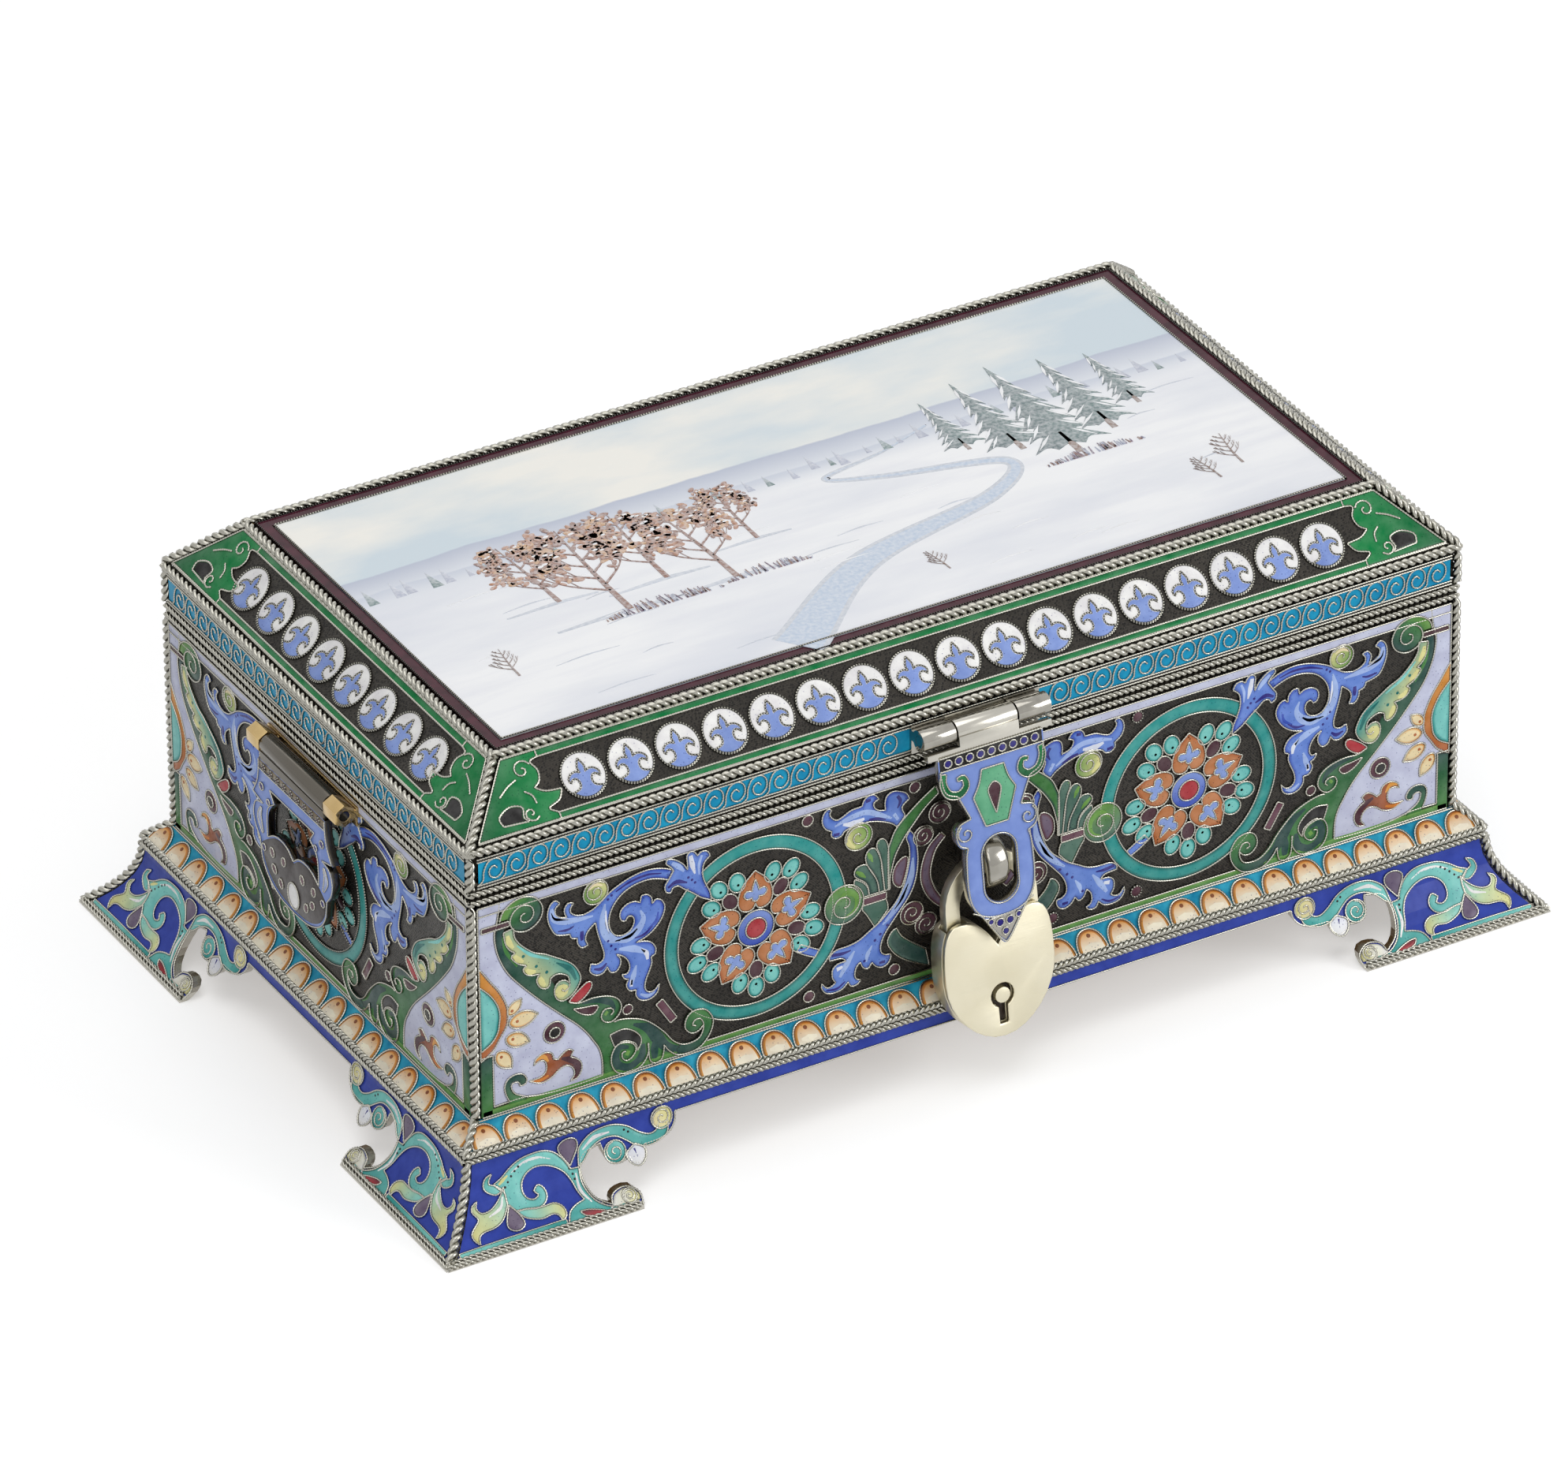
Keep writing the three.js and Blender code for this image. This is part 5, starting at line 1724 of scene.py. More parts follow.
@dataclass
class Walls:
    """The four enamel walls: corner fields, scrolls, rings with rosettes and the middle of the long sides."""

    ring_along: float = 37.0
    ring_up: float = 34.5
    ring_outer: float = 15.3
    ring_inner: float = 13.0
    corner_reach: float = 38.6
    top_strip: float = 51.1
    low_strip: float = 17.6

    def corner(self) -> Drawing:
        """Draws the field, scroll and leaves next to a left corner of a long side.

        Returns:
            The drawing.
        """
        d = Drawing()
        self._corner_field(d)
        self._green_scroll(d)
        self._blue_leaves(d)
        return d

    def _corner_field(self, d: Drawing) -> None:
        """Draws the lilac field with the flower, the dot, the brown leaf and the green curl.

        Args:
            d: The drawing it goes on.
        """
        d.blob("-82.9,52.5! -79.3,52.5! -79.6,50 -80.2,47.4 -80,45 -79.6,43.4 -79,41.8 -78.3,40.4 "
               "-77.3,38.9 -75,36.1 -72.5,33.3 -70,30.7 -68.5,29.2 -67.1,27.8 -65.9,26.4 -64.9,25 "
               "-64.2,23.8 -63.5,22.6 -63,21.1 -62.8,19.4 -62.8,17.4! -66,17.2 -70,17.2 -73.5,17.5 "
               "-76.5,18 -80.9,17.9! -80.9,26.8! -82.9,26.8!", Tint.LILAC, lift=0.04)
        d.plain("-82.9,16.5 -80.9,16.5 -80.9,26.7 -82.9,26.2", Tint.GREEN, Tint.GREEN_DEEP, wired=False)
        d.line(flat_points("-80.9,17.9 -80.9,26.6"))
        d.blob("-82.9,42.3! -82.3,41.5 -80.95,39.4 -79.8,37.7 -78.9,35.9 -78.35,34.2 -78.3,32.3 -78.6,31 "
               "-79.7,29.3 -80.9,27.6 -82.9,26.3!", Tint.RUST, Tint.AMBER)
        d.blob("-82.9,39.2! -82.1,38.4 -80.95,37 -80,35.2 -79.65,33.5 -79.8,31.8 -80.1,30.5 -81.1,29.1 "
               "-82.9,28!", Tint.TEAL, Tint.AQUA, 150, lift=0.18, heart=Tint.AQUA)
        for x, y, turn, size in ((-77.1, 34.0, 45, 1.6), (-75.7, 31.5, 3, 2.45), (-76.7, 28.2, -25, 2.2),
                                 (-79.0, 25.4, -55, 2.1)):
            d.petal(x, y, size, turn, Tint.AMBER, Tint.CREAM)
            way, back = math.radians(turn), 0.45 * size
            d.dots(f"{x - back * math.cos(way):.3f},{y - back * math.sin(way):.3f}", 0.26, Tint.RUST, 0.15)
        d.disc(-70.7, 27.5, 1.8, Tint.MAROON, Tint.MULBERRY, 0)
        d.disc(-70.7, 27.5, 0.9, Tint.BLACK, lift=0.24)
        d.blob("-75,20.4! -73.1,19.5 -71.4,19.8 -70,20.8 -68.8,21.1 -67.8,20.4 -67.5,19.2 -68.2,18.2! "
               "-67,18.4 -66.3,19.6 -66.4,20.9 -67.3,21.9 -68.1,22.3! -67.6,23.3! -68.5,23.8 -69.6,23.2 "
               "-70.2,22.6! -70.9,22.9! -71.2,24 -72.4,24.5 -73.8,23.9 -74.2,22.9! -73.4,23.3 -72.5,23.2 "
               "-72.1,22.2 -72.3,21.1 -73.2,20.5", Tint.RUST, Tint.MAROON, 0)
        d.paint("-73.9,23.6 -72.6,23.9 -71.8,22.8", (0.3, 0.8, 0.3), Tint.AMBER, 0.1)
        d.paint("-74.6,20.3 -73.2,20 -71.8,20.4", (0.2, 0.6, 0.3), Tint.ORANGE, 0.1)
        d.paint("-69.6,22.6 -67.6,21.6 -66.9,20.2 -67.2,18.8", (0.4, 1.2, 1.1, 0.3), Tint.MAROON, 0.1)
        curl = ("-78.9,19.4 -79.1,20.9 -78.5,22 -77.2,22.4 -76,22 -75.4,20.9 -75.8,20.2 -76.6,20.2! "
                "-76.7,20.8 -77.4,21.1 -78,20.8 -77.9,19.9 -77.4,19.1 -76.5,18.5")
        d.blob(f"-78.3,17.3! {curl} -75.2,17.3!", Tint.GREEN_DEEP, Tint.GREEN, 270, wired=False)
        d.trail(f"-78.3,18 {curl} -75.2,17.8", 0.16)

    def _green_scroll(self, d: Drawing) -> None:
        """Draws the green scroll from the top volute to the curls on the bottom strip.

        Args:
            d: The drawing it goes on.
        """
        deep, light = Tint.GREEN_DEEP, Tint.GREEN_LIGHT
        hook = ("-45.1,18.5 -44.4,20.2 -44.5,21.6 -45.6,23.2 -47.3,23.65 -48.4,23.2 -49,22.2 -49,20.9 "
                "-48,19.85 -46.8,19.9")
        wave = ("-46.1,19.7 -46.8,18.6 -48.3,18.25 -49.7,18.5 -51.2,19.7 -52.4,21.4 -54.1,23.3 -55.8,24.75 "
                "-57.9,25.7 -59.9,26.2")
        crest = "-60.1,27.1 -59.6,28.4 -60.2,29.9 -61.8,30.9 -64.2,31.4 -66.6,31.3"
        d.bar(-80.1, 48.6, 4.6, 0.85, 0, Tint.MAROON, lift=0.16)
        d.blob("-79.8,47.9! -80,46.6 -79.85,44.8 -79.5,43.2 -78.9,41.7 -78.2,40.3 -77.2,38.8 -75,36.1 "
               "-72.4,33.2 -69.8,30.5 -68.4,29.2 -66.9,27.6 -65.7,26.2 -64.7,24.9 -63.9,23.5 -63.2,21.9 "
               f"-62.7,19.8 -62.6,17.2! -46.3,17.2! {hook} -46.05,20.6! {wave} -60.9,26.2! {crest} "
               "-68.2,31.9! -69.5,34 -71,36.5 -73,39 -75.5,41.5 -77.6,44.4 -78.6,47.9!",
               deep, Tint.GREEN, 290, lift=0.08, wired=False)
        for words in (f"-68.2,31.9 {backwards(crest)} -61.3,26.3 -62.5,26.7 -63,27.7 -62.5,28.7 "
                      "-61.4,28.7 -60.9,28 -61.4,27.5",
                      f"-60.9,26.1 {backwards(wave)} -46,21 -46.6,22 -47.5,21.9 -47.8,21.2 -47.2,20.9",
                      f"-46.05,20.6 {backwards(hook)} -46.6,17 -48.5,16.6 -50.4,16.9 -51.9,18.2 "
                      "-52.6,19.4! -52.7,18.2 -53.1,17 -54.2,16.7 -55,17.5 -55.2,19.4 -55.3,20.6",
                      "-55.2,20.6 -55.3,18.7 -56.5,17 -58.4,16.5 -60.3,17 -61.3,18.5 -61.4,20.3 -60.6,21.8 "
                      "-59.4,22 -57.9,21.4 -57.3,20.2 -57.9,19.1 -58.9,18.7 -59.6,19.4 -59.6,20.3 -59,20.4"):
            d.trail(words, 0.26)
        d.strokes(0.08,
                  ("-57.6,24.5 -55.2,23.1 -53.6,20.8 -52,18.7 -49.5,17.5 -46.6,17.9 -45.2,19.8 -45.4,22",
                   (0.4, 1.5, 2.0, 1.5, 1.2, 1.2, 1.1, 0.5), deep),
                  ("-54.2,20.4 -54.1,18.4 -54.1,17.3", (0.6, 1.3, 1.2, 0.8), deep),
                  ("-56,20.6 -56.4,18.4 -58.2,17.3 -60,18 -60.6,19.6 -60,21.2 -58.4,20.8",
                   (0.6, 1.3, 1.4, 1.4, 1.2, 1.1, 0.5), deep),
                  ("-66,30.9 -63.6,30.7 -61.4,29.6 -60.6,28.1", (0.3, 0.9, 1.1, 0.4), deep),
                  ("-48.2,22 -47.4,22.8 -46.2,22.2", (0.4, 0.8, 0.4), light),
                  ("-62.3,27.6 -61.8,28.2", (0.5, 0.5), light),
                  ("-58.8,19.5 -58.4,20.2", (0.7, 0.6), light),
                  ("-78.9,46.6 -78.4,44 -76.6,40.8", (0.3, 0.6, 0.3), Tint.GREEN))
        d.blob("-79.5,49.3! -78.9,50.8 -77.4,52.1 -75.4,52.4 -74.2,51.6! -76.4,51.2 -77.6,50 -77.9,49.3!",
               Tint.GREEN, light, 150, lift=0.18, wired=False)
        d.disc(-75.2, 49.4, 2.85, deep, Tint.GREEN, 130, 0.15, wired=False)
        d.trail("-79.4,49.4 -78.9,50.8 -77.4,52 -75.4,52.4 -73.4,51.6 -72.3,49.6 -72.9,47.6 -74.8,46.5 "
                "-76.8,47 -77.7,48.6 -77.2,50.2 -75.8,51 -74.2,50.4 -73.8,49 -74.6,48 -75.8,48.3 "
                "-75.9,49.3 -75.2,49.6", 0.24)
        d.blob(f"-50.6,17.9! -49.7,18.5 -48.3,18.25 -46.8,18.6 -46.1,19.7 -46.05,20.6! {backwards(hook)} "
               "-46.6,17 -48.5,16.6 -50.4,16.9!", deep, Tint.GREEN, 60, lift=0.2, wired=False)
        d.blob("-77.1,47.6! -77,46.1 -76.4,44.9 -75.4,43.7 -73.8,42.3 -72.1,41.5 -70.4,40.4 -68.6,39.2 "
               "-67.4,38.1 -66.6,36.8 -66.2,35.5 -66.6,34.3 -67.5,33.2 -68.5,32.6 -69.4,32.5 -70.2,33.1 "
               "-70.6,34.3 -70.4,35.4 -69.7,36 -68.8,35.9 -68.05,35.2! -68.3,36.4 -69.2,37.1 -70.3,37.4 "
               "-71.2,37! -71.4,35.8 -72.1,35.5 -73,36.1 -73.5,37.4 -73,38.4! -74.2,38.5 -75.2,39 -75.7,40 "
               "-75.1,40.5! -76.3,41.1 -77.2,42 -77.6,42.8 -76.9,43.3! -77.6,43.8 -78.2,44.6 -78.6,45.8 "
               "-78.8,47.3!", Tint.TEAL, Tint.YELLOW, 216, lift=0.16)
        for words in ("-78.1,46.6 -77.9,45.4 -77.2,44.2", "-77,42.8 -76.5,42 -75.6,41.3",
                      "-75.1,39.8 -74.6,39.2 -73.6,39", "-72.9,37.8 -72.6,36.8 -72.1,36.1"):
            d.paint(words, (0.5, 1.0, 0.4), Tint.YELLOW, 0.16)
        d.paint("-70.2,39.4 -68,37.6 -67,35.4", (0.2, 0.9, 0.4), Tint.TEAL_DEEP, 0.16)
        d.paint("-76.6,44.4 -74.4,42.2 -71.4,40.4", (0.2, 0.6, 0.2), Tint.AQUA, 0.16)
        d.dots("-75.6,42.25 -73.5,39.85 -71.8,38.3", 0.27, Tint.TEAL_DEEP, 0.165)
        d.dots("-69.35,34.25", 1.15, Tint.YELLOW, 0.15)
        d.trail("-68.05,35.2 -68.2,34.5 -68.9,34.1 -69.4,34.5", 0.22)
        d.blob("-68.3,32! -67.4,32.9 -66.2,33.8 -65.2,34.4 -64.5,34.2 -64.5,33.3 -65.5,32.1 -66.9,31.4",
               Tint.RED, lift=0.2)
        d.blob("-67.5,30.5! -65.9,30.2 -64.2,30 -63.4,29.6 -64.2,28.6 -65.6,28.85 -66.9,29.8",
               Tint.MAROON, lift=0.16)
        d.blob("-61.55,24! -59.4,24.3 -57.7,23.5 -56.5,22.1 -56.4,20.9 -57.1,19.7! -57.2,20.9 -57.9,21.6 "
               "-59.4,22.2 -60.8,21.6! -61.2,22.8", Tint.BLACK, lift=0.16)
        d.bar(-52.05, 25, 4.6, 1.3, -59, Tint.MULBERRY)
        d.disc(-58.5, 27.4, 0.85, Tint.MAROON)

    def _blue_leaves(self, d: Drawing) -> None:
        """Draws the blue leaves that branch round a curl.

        Args:
            d: The drawing it goes on.
        """
        blue, pale, white, lift = Tint.BLUE, Tint.BLUE_PALE, Tint.BLUE_WHITE, 0.14
        d.blob("-50.6,48.9! -52.5,49.8 -55,50.3 -57.5,50 -59.8,49.2 -61.5,48.3 -62.9,47.2! -64,46.5 "
               "-65.5,46.1! -66.8,46.4 -67.7,47.2 -67.6,48.1 -67.1,48.6! -68,48.9 -68.7,48.1 -68.6,47.1 "
               "-68.3,46.6! -69.3,46.8 -70.1,47.5 -70.2,48.6 -69.4,49.3! -70.2,50 -71.1,49.4 -71.5,48 "
               "-71.3,46.4 -70.7,44.9! -70.1,44.1 -69,43.7 -67.9,43.5! -67.6,42.7 -66.7,42.4! -66.6,41.4 "
               "-65.9,40.5 -64.9,40.7! -65.3,41.7 -65.1,42.7 -64.4,43.5 -63.6,44.1! -63.5,43.2 -63.2,41.8 "
               "-62.7,40 -62.3,38.4 -62.5,37.3 -63.5,36.9 -64.5,37.3! -64.7,36 -63.6,35 -62.4,35.1 "
               "-61.8,35.9! -61.3,34.8 -60.3,34.6 -59.6,35.6 -59.6,36.6 -60.2,37.5! -59.1,36.8 -58.3,35.7 "
               "-58.1,34.4 -58.6,33.6 -59.4,33.8! -59,32.9 -58.3,32.6! -58.7,31.6 -58.1,30.5 -57.1,30.4! "
               "-57.1,29.3 -56.3,28.3 -54.9,28 -53.6,28.7 -53.2,30.2! -54,29.3 -55,29.3 -55.6,30.2 "
               "-55.4,31.6 -54.8,33 -54.4,34.2 -54.5,35.2! -53.8,35.5! -53.7,36.5 -54.4,37.7 -55.6,38.3 "
               "-56.9,38.5! -55.2,39 -53.6,40.1 -52.5,41.6 -52.1,43.2 -52.7,44.5 -53.6,44.9! -54.2,44.3! "
               "-54.3,45.4 -55.1,46.2 -56,46.2! -56.2,45.1! -57,45.6 -58.2,45.6 -59.3,44.9 -59.6,43.8 "
               "-59.2,42.9 -58.6,42.8! -58.2,43.4 -57.5,43.2 -57.2,42.3 -57.7,41.1 -58.8,40.5 -60.1,40.7 "
               "-61,41.7 -61.4,43.3 -61.1,45.1 -60.2,46.6 -58.8,47.8 -56.8,48.5 -54.6,48.6 -52.8,48.1 "
               "-51.5,47.5!", blue, Tint.BLUE_MID, 200, lift=lift, heart=Tint.BLUE_MID)
        d.blob("-44.4,41.8! -44.6,43.2 -45.2,44.6 -45.7,46 -45.8,47.4 -45.5,48.6 -44.5,49.5! -45,50.4 "
               "-46,50.6 -46.6,50.1! -47.1,50.9 -47.8,51.2 -48.4,50.6 -48.3,49.4 -48.3,48.2! -48.9,49.3 "
               "-49.8,50.2 -50.7,50.8 -51.6,51.1! -51.9,50.4 -51.2,49.7 -50.6,48.9! -51.5,47.5! -52.1,46.6 "
               "-51.9,45.5 -51.1,45.2! -50.8,45.9 -49.9,46 -49,45.2 -47.6,44.1 -46,42.7",
               blue, Tint.BLUE_MID, 115, lift=0.24, heart=Tint.BLUE_MID)
        d.strokes(lift + 0.03,
                  ("-62,46.8 -62.4,44.4 -62.1,42 -61,40.4 -59.4,39.7", (0.2, 0.8, 1.0, 1.1, 0.4), pale),
                  ("-61.9,45.6 -61.9,43.4 -61.4,41.4", (0.15, 0.4, 0.15), white),
                  ("-60.6,39.9 -58.2,39.8 -56.4,40.9 -55.7,42.4 -56.2,43.8",
                   (0.3, 1.1, 1.1, 0.7, 0.2), pale),
                  ("-60,39.9 -58,40 -56.7,40.9", (0.2, 0.6, 0.3), white),
                  ("-64,45.4 -66.4,45.6 -68.8,46 -70.5,47.1 -70.8,48.8", (0.2, 0.6, 0.8, 0.9, 0.4), pale),
                  ("-68,46.1 -70.3,46.9 -70.9,48.2", (0.2, 0.5, 0.2), white),
                  ("-59.8,38.3 -57.4,37.6 -55.4,36.4", (0.3, 0.9, 0.5), pale),
                  ("-56.2,37.2 -55.3,36.2 -55.1,35", (0.2, 0.6, 0.3), white),
                  ("-57,34.6 -57.5,32.9 -57.9,31.4", (0.2, 0.7, 0.4), pale),
                  ("-57.8,32.4 -57.9,31.2", (0.4, 0.4), white),
                  ("-56.4,29.4 -55.2,28.7 -54,29", (0.2, 0.5, 0.2), pale),
                  ("-57.2,39.35 -55.6,39.5 -54.2,40.5", (0.15, 0.35, 0.15), Tint.INK),
                  ("-60.2,48.3 -57.8,49.2 -55,49.5 -52.6,49", (0.15, 0.3, 0.3, 0.15), Tint.INK),
                  ("-69.8,44.6 -68.2,44.4 -67.2,44.7", (0.15, 0.35, 0.15), Tint.INK),
                  ("-65.9,43.4 -65.9,41.8", (0.4, 0.5, 0.3), Tint.INK),
                  ("-64,36.2 -62.8,35.9 -61.9,36.6", (0.2, 0.5, 0.2), Tint.INK),
                  ("-53.2,42.6 -53.6,41.2 -55,40.2", (0.2, 0.4, 0.15), blue), grow=1.35)
        d.strokes(0.27,
                  ("-48.9,48.2 -49.8,49.3 -50.9,50.2", (0.3, 0.7, 0.4), pale),
                  ("-47.8,50.5 -47.5,48.8 -47.1,47.2", (0.5, 0.7, 0.2), white),
                  ("-45.9,50 -46.4,48.6 -46.4,46.8", (0.3, 0.4, 0.15), pale),
                  ("-51.6,46.2 -50.2,46.8 -48.4,46.1", (0.3, 0.6, 0.2), Tint.INK), grow=1.25)
        d.dots("-61.6,40.3 -61.1,39.3 -60.4,38.5 -61.5,47.4 -60.9,47.9", 0.22, Tint.INK, 0.18)
        d.dots("-48.2,46.9 -47.6,46.3 -47.1,45.7", 0.22, Tint.INK, 0.28)
        d.volute(-63.5, 49.3, 2.05, Tint.GREEN_LIGHT, Tint.YELLOW, 40, 1)
        d.paint("-64.7,49.9 -63.6,50.6 -62.4,50.1", (0.2, 0.6, 0.2), Tint.CREAM, 0.15)

    def ring(self) -> Drawing:
        """Draws a teal ring round a five-petalled rosette, about the face's middle.

        Returns:
            The drawing.
        """
        d = Drawing()
        up = self.ring_up
        d.ring(0, up, self.ring_outer, self.ring_inner, Tint.TEAL_DEEP, Tint.TEAL, 60, heart=Tint.TEAL)
        d.ribbon(f"7.2,{up - 6.0} 8.9,{up - 7.1} 10.3,{up - 7.9}", (1.3, 1.4, 1.3), Tint.BLUE,
                 heart=Tint.BLUE_MID)
        for petal in range(5):
            way = math.radians(90 + 72 * petal)
            self._petal(d, way, up)
            self._bud(d, way + math.radians(36), up)
        d.disc(0, up, 3.05, Tint.BLUE, Tint.LAVENDER, lift=0.22)
        d.disc(0, up, 1.75, Tint.RED, lift=0.3, heart=Tint.RED)
        return d

    @staticmethod
    def _spin(text: str, way: float, up: float) -> str:
        """Turns a written path, drawn pointing along, to an angle about the ring's middle.

        Args:
            text: The path.
            way: Its angle about the ring's middle.
            up: Height of the ring's middle.

        Returns:
            The turned path.
        """
        cos, sin = math.cos(way), math.sin(way)
        return write_path((x * cos - y * sin, up + x * sin + y * cos, sharp)
                          for x, y, sharp in parse_path(text))

    def _petal(self, d: Drawing, way: float, up: float) -> None:
        """Draws one heart-shaped petal with its blue flower.

        Args:
            d: The drawing it goes on.
            way: Its angle about the ring's middle.
            up: Height of the ring's middle.
        """
        turn = math.degrees(way)
        d.blob(self._spin("9.9,0! 7.8,2.1 5.6,2.9 3.9,2.6 3.2,1.5 3.4,0.4 4.3,0! 3.4,-0.4 3.2,-1.5 "
                          "3.9,-2.6 5.6,-2.9 7.8,-2.1",
                          way, up), Tint.RUST, Tint.COPPER, turn + 180, lift=0.14, heart=Tint.COPPER)
        d.blob(self._spin("8.4,0! 7.2,0.45 6.5,0.55! 6.7,1.5 6,1.95 5.3,1.4 5.4,0.6! 4.9,0.5 4.6,0! "
                          "4.9,-0.5 5.4,-0.6! 5.3,-1.4 6,-1.95 6.7,-1.5 6.5,-0.55! 7.2,-0.45",
                          way, up), Tint.LAVENDER, Tint.BLUE_PALE, turn, lift=0.22)

    def _bud(self, d: Drawing, way: float, up: float) -> None:
        """Draws one dark bud with its turquoise lobes.

        Args:
            d: The drawing it goes on.
            way: Its angle about the ring's middle.
            up: Height of the ring's middle.
        """
        for offset, reach in ((-17, 9.2), (17, 9.2), (0, 10.3)):
            angle = way + math.radians(offset)
            turn = math.degrees(angle)
            d.oval(reach * math.cos(angle), up + reach * math.sin(angle), 1.75, 1.4, turn, Tint.TEAL,
                   lift=0.1, heart=Tint.AQUA)
            inner = reach - 0.5
            d.dots(f"{inner * math.cos(angle)},{up + inner * math.sin(angle)}", 0.28, Tint.TEAL_DEEP, 0.1)
        d.oval(7.2 * math.cos(way), up + 7.2 * math.sin(way), 1.55, 1.2, math.degrees(way), Tint.MAROON,
               lift=0.16)

    def middle(self) -> Drawing:
        """Draws the left half of a long side's middle.

        Returns:
            The drawing.
        """
        d = Drawing()
        grey, light, deep = Tint.GREEN_GREY, Tint.GREEN_LIGHT, Tint.GREEN_DEEP
        d.blob("-14.6,23.9! -14.7,25 -14,26.2 -13.2,26.6! -12.6,25.4 -12,24.6 -10.1,22.9 -8.2,21.4! "
               "-7.6,18.3! -8.4,18.6 -11.6,20.5 -13.5,22.2", grey, deep, 320, heart=deep)
        for outline, lift in (("-20.2,37.3! -18.9,36.4 -18.1,35.3 -17.8,33.8! -19.2,33.8! -19.6,35.3 "
                               "-20.4,36.4", 0.1),
                              ("-18.1,39.1! -18.6,39.4 -19.5,39.4 -20.2,38.9 -20.3,38 -19.7,37.3 "
                               "-18.6,36.4 -18,35.3 -17.8,33.8! -16.1,33.8! -16.3,35.3 -16.7,36.5 "
                               "-17.5,37.9", 0.12),
                              ("-15.7,38.1! -15.8,39.3 -16.3,40.8 -16.9,41.7 -17.7,41.8 -18.3,41.1 "
                               "-18.4,40.2 -18.1,39.1 -17.4,37.9 -16.7,36.5 -16.3,35.3 -16.1,33.8! "
                               "-15.2,33.8!", 0.14),
                              ("-14.5,40.2! -14.6,41.4 -15,42.5 -15.7,43 -16.4,42.6 -16.5,41.7 -16.1,40.6 "
                               "-15.8,39.3 -15.6,38 -15.2,33.8! -14.5,33.8!", 0.16)):
            d.blob(outline, deep, grey, 100, lift=lift, heart=grey)
        for words in ("-20,38.6 -19.2,37.9 -18.4,37.1", "-16.1,42.5 -15.7,41.6 -15.4,40.6", "-18,41.2 "
                                                                                            "-17.6,40.4 "
                                                                                            "-17.2,39.4"):
            d.paint(words, (0.4, 0.8, 0.2), light, 0.16)
        d.blob("-6.5,49.2! -9.2,47.4 -11.6,45.5 -13.3,43.8 -14.2,41.9 -14.6,40.2 -14.6,33.8! -14.3,33.8! "
               "-14.3,35.7 -13.9,37.6 -13.4,39.3 -12.6,40.8 -11.6,42.3 -10.3,43.8 -8.4,45.9 -6,47.8!",
               deep, Tint.GREEN, 60, lift=0.18,
               heart=Tint.GREEN)
        d.blob("-19,31.6! -18.9,32.3! -15,32.3! -14.7,31.5 -14.6,30.4! -15.8,29 -16.9,28! -17.6,29.3 "
               "-18.3,30.6", grey)
        d.bar(-16.9, 32.95, 3.9, 1.2, 0, Tint.MULBERRY, lift=0.2)
        d.volute(-22.1, 33.6, 3.3, grey, light, 80, -1, 0.2)
        d.paint("-22.2,31.2 -20.2,32.2 -20,34.4 -21.8,35.5 -23.4,34.2",
                (0.3, 0.8, 0.9, 0.8, 0.2), light, 0.22)
        d.blob("-13.8,35 -13.7,36.7 -12.9,38 -11.8,38.6 -11.2,38.2 -11.3,36.7 -11.8,34.8 -12.4,33.5 "
               "-13.3,34", Tint.MULBERRY, heart=Tint.GREY_LILAC)
        for x, y, radius, hand in ((-8.6, 41.2, 1.7, 1), (-5.8, 44.4, 1.85, 1), (-10.6, 28.4, 1.95, -1),
                                   (-8.2, 25.8, 1.85, -1)):
            d.volute(x, y, radius, Tint.MAROON, Tint.MULBERRY, 0, hand)
        d.ribbon("-5.2,40.4 -7.1,38.5 -8,36.1 -8.2,33.8 -7.5,31.4 -6.4,29.5 -5.2,28.2",
                 (1.2, 1.5, 1.7, 1.7, 1.7, 1.5, 1.2),
                 Tint.MULBERRY, heart=Tint.GREY_LILAC)
        self._middle_leaves(d)
        d.volute(-19.6, 44.6, 2.3, light, Tint.YELLOW, 190, -1, 0.2)
        d.paint("-21.3,45.4 -21.3,44 -20.2,42.9", (0.3, 0.9, 0.3), Tint.YELLOW, 0.2)
        for x, y in ((-28.1, 50.0), (-10.0, 50.0), (-28.1, 19.5), (-13.6, 19.5)):
            d.disc(x, y, 0.95, Tint.MAROON, Tint.MULBERRY)
        return d

    @staticmethod
    def _middle_leaves(d: Drawing) -> None:
        """Draws the two blue leaves beside a long side's middle.

        Args:
            d: The drawing it goes on.
        """
        blue, pale, white, lift = Tint.BLUE, Tint.BLUE_PALE, Tint.BLUE_WHITE, 0.16
        d.blob("-10.9,42.9! -10.1,41.7 -9.7,39.7 -9.55,37.6 -9.7,35.5 -10.2,33.3 -11.15,31.4 -12.65,29.5 "
               "-13.9,28 -15,26.6 -15.65,25.4 -15.95,24.15 -15.75,23.1 -15,22.55! -14.3,22.5 -14.2,21.9 "
               "-14.7,20.95 -15.65,20.6 -16.7,21.05 -17.45,22! -18.1,21.15 -18.95,21.6 -19.4,22.7! "
               "-20.1,22 -20.35,20.7 -20,19.9 -19.3,19.65! -19.9,19 -21,19 -21.5,19.9! -22.5,19 -24,18.8 "
               "-25.3,19.2 -26,20.3 -25.9,21.05! -25.2,20.1 -24.4,20 -23.6,20.5! -24.1,21.3 -24.2,22.1 "
               "-24.1,22.9 -23.3,23.6 -21.8,23.7! -22.6,24.4 -24.6,24.6! -24.6,25.3 -23.5,26.1 -21.2,26.2 "
               "-19.5,26.6 -17.8,27.6 -16.1,28.6 -14.6,29.9 -13.3,31.2 -12.2,33.1 -11.6,34.8 -11.15,36.75 "
               "-10.95,38.25 -11.05,40.2 -11.5,41.8",
               blue, Tint.BLUE_MID, 200, lift=lift, heart=Tint.BLUE_MID)
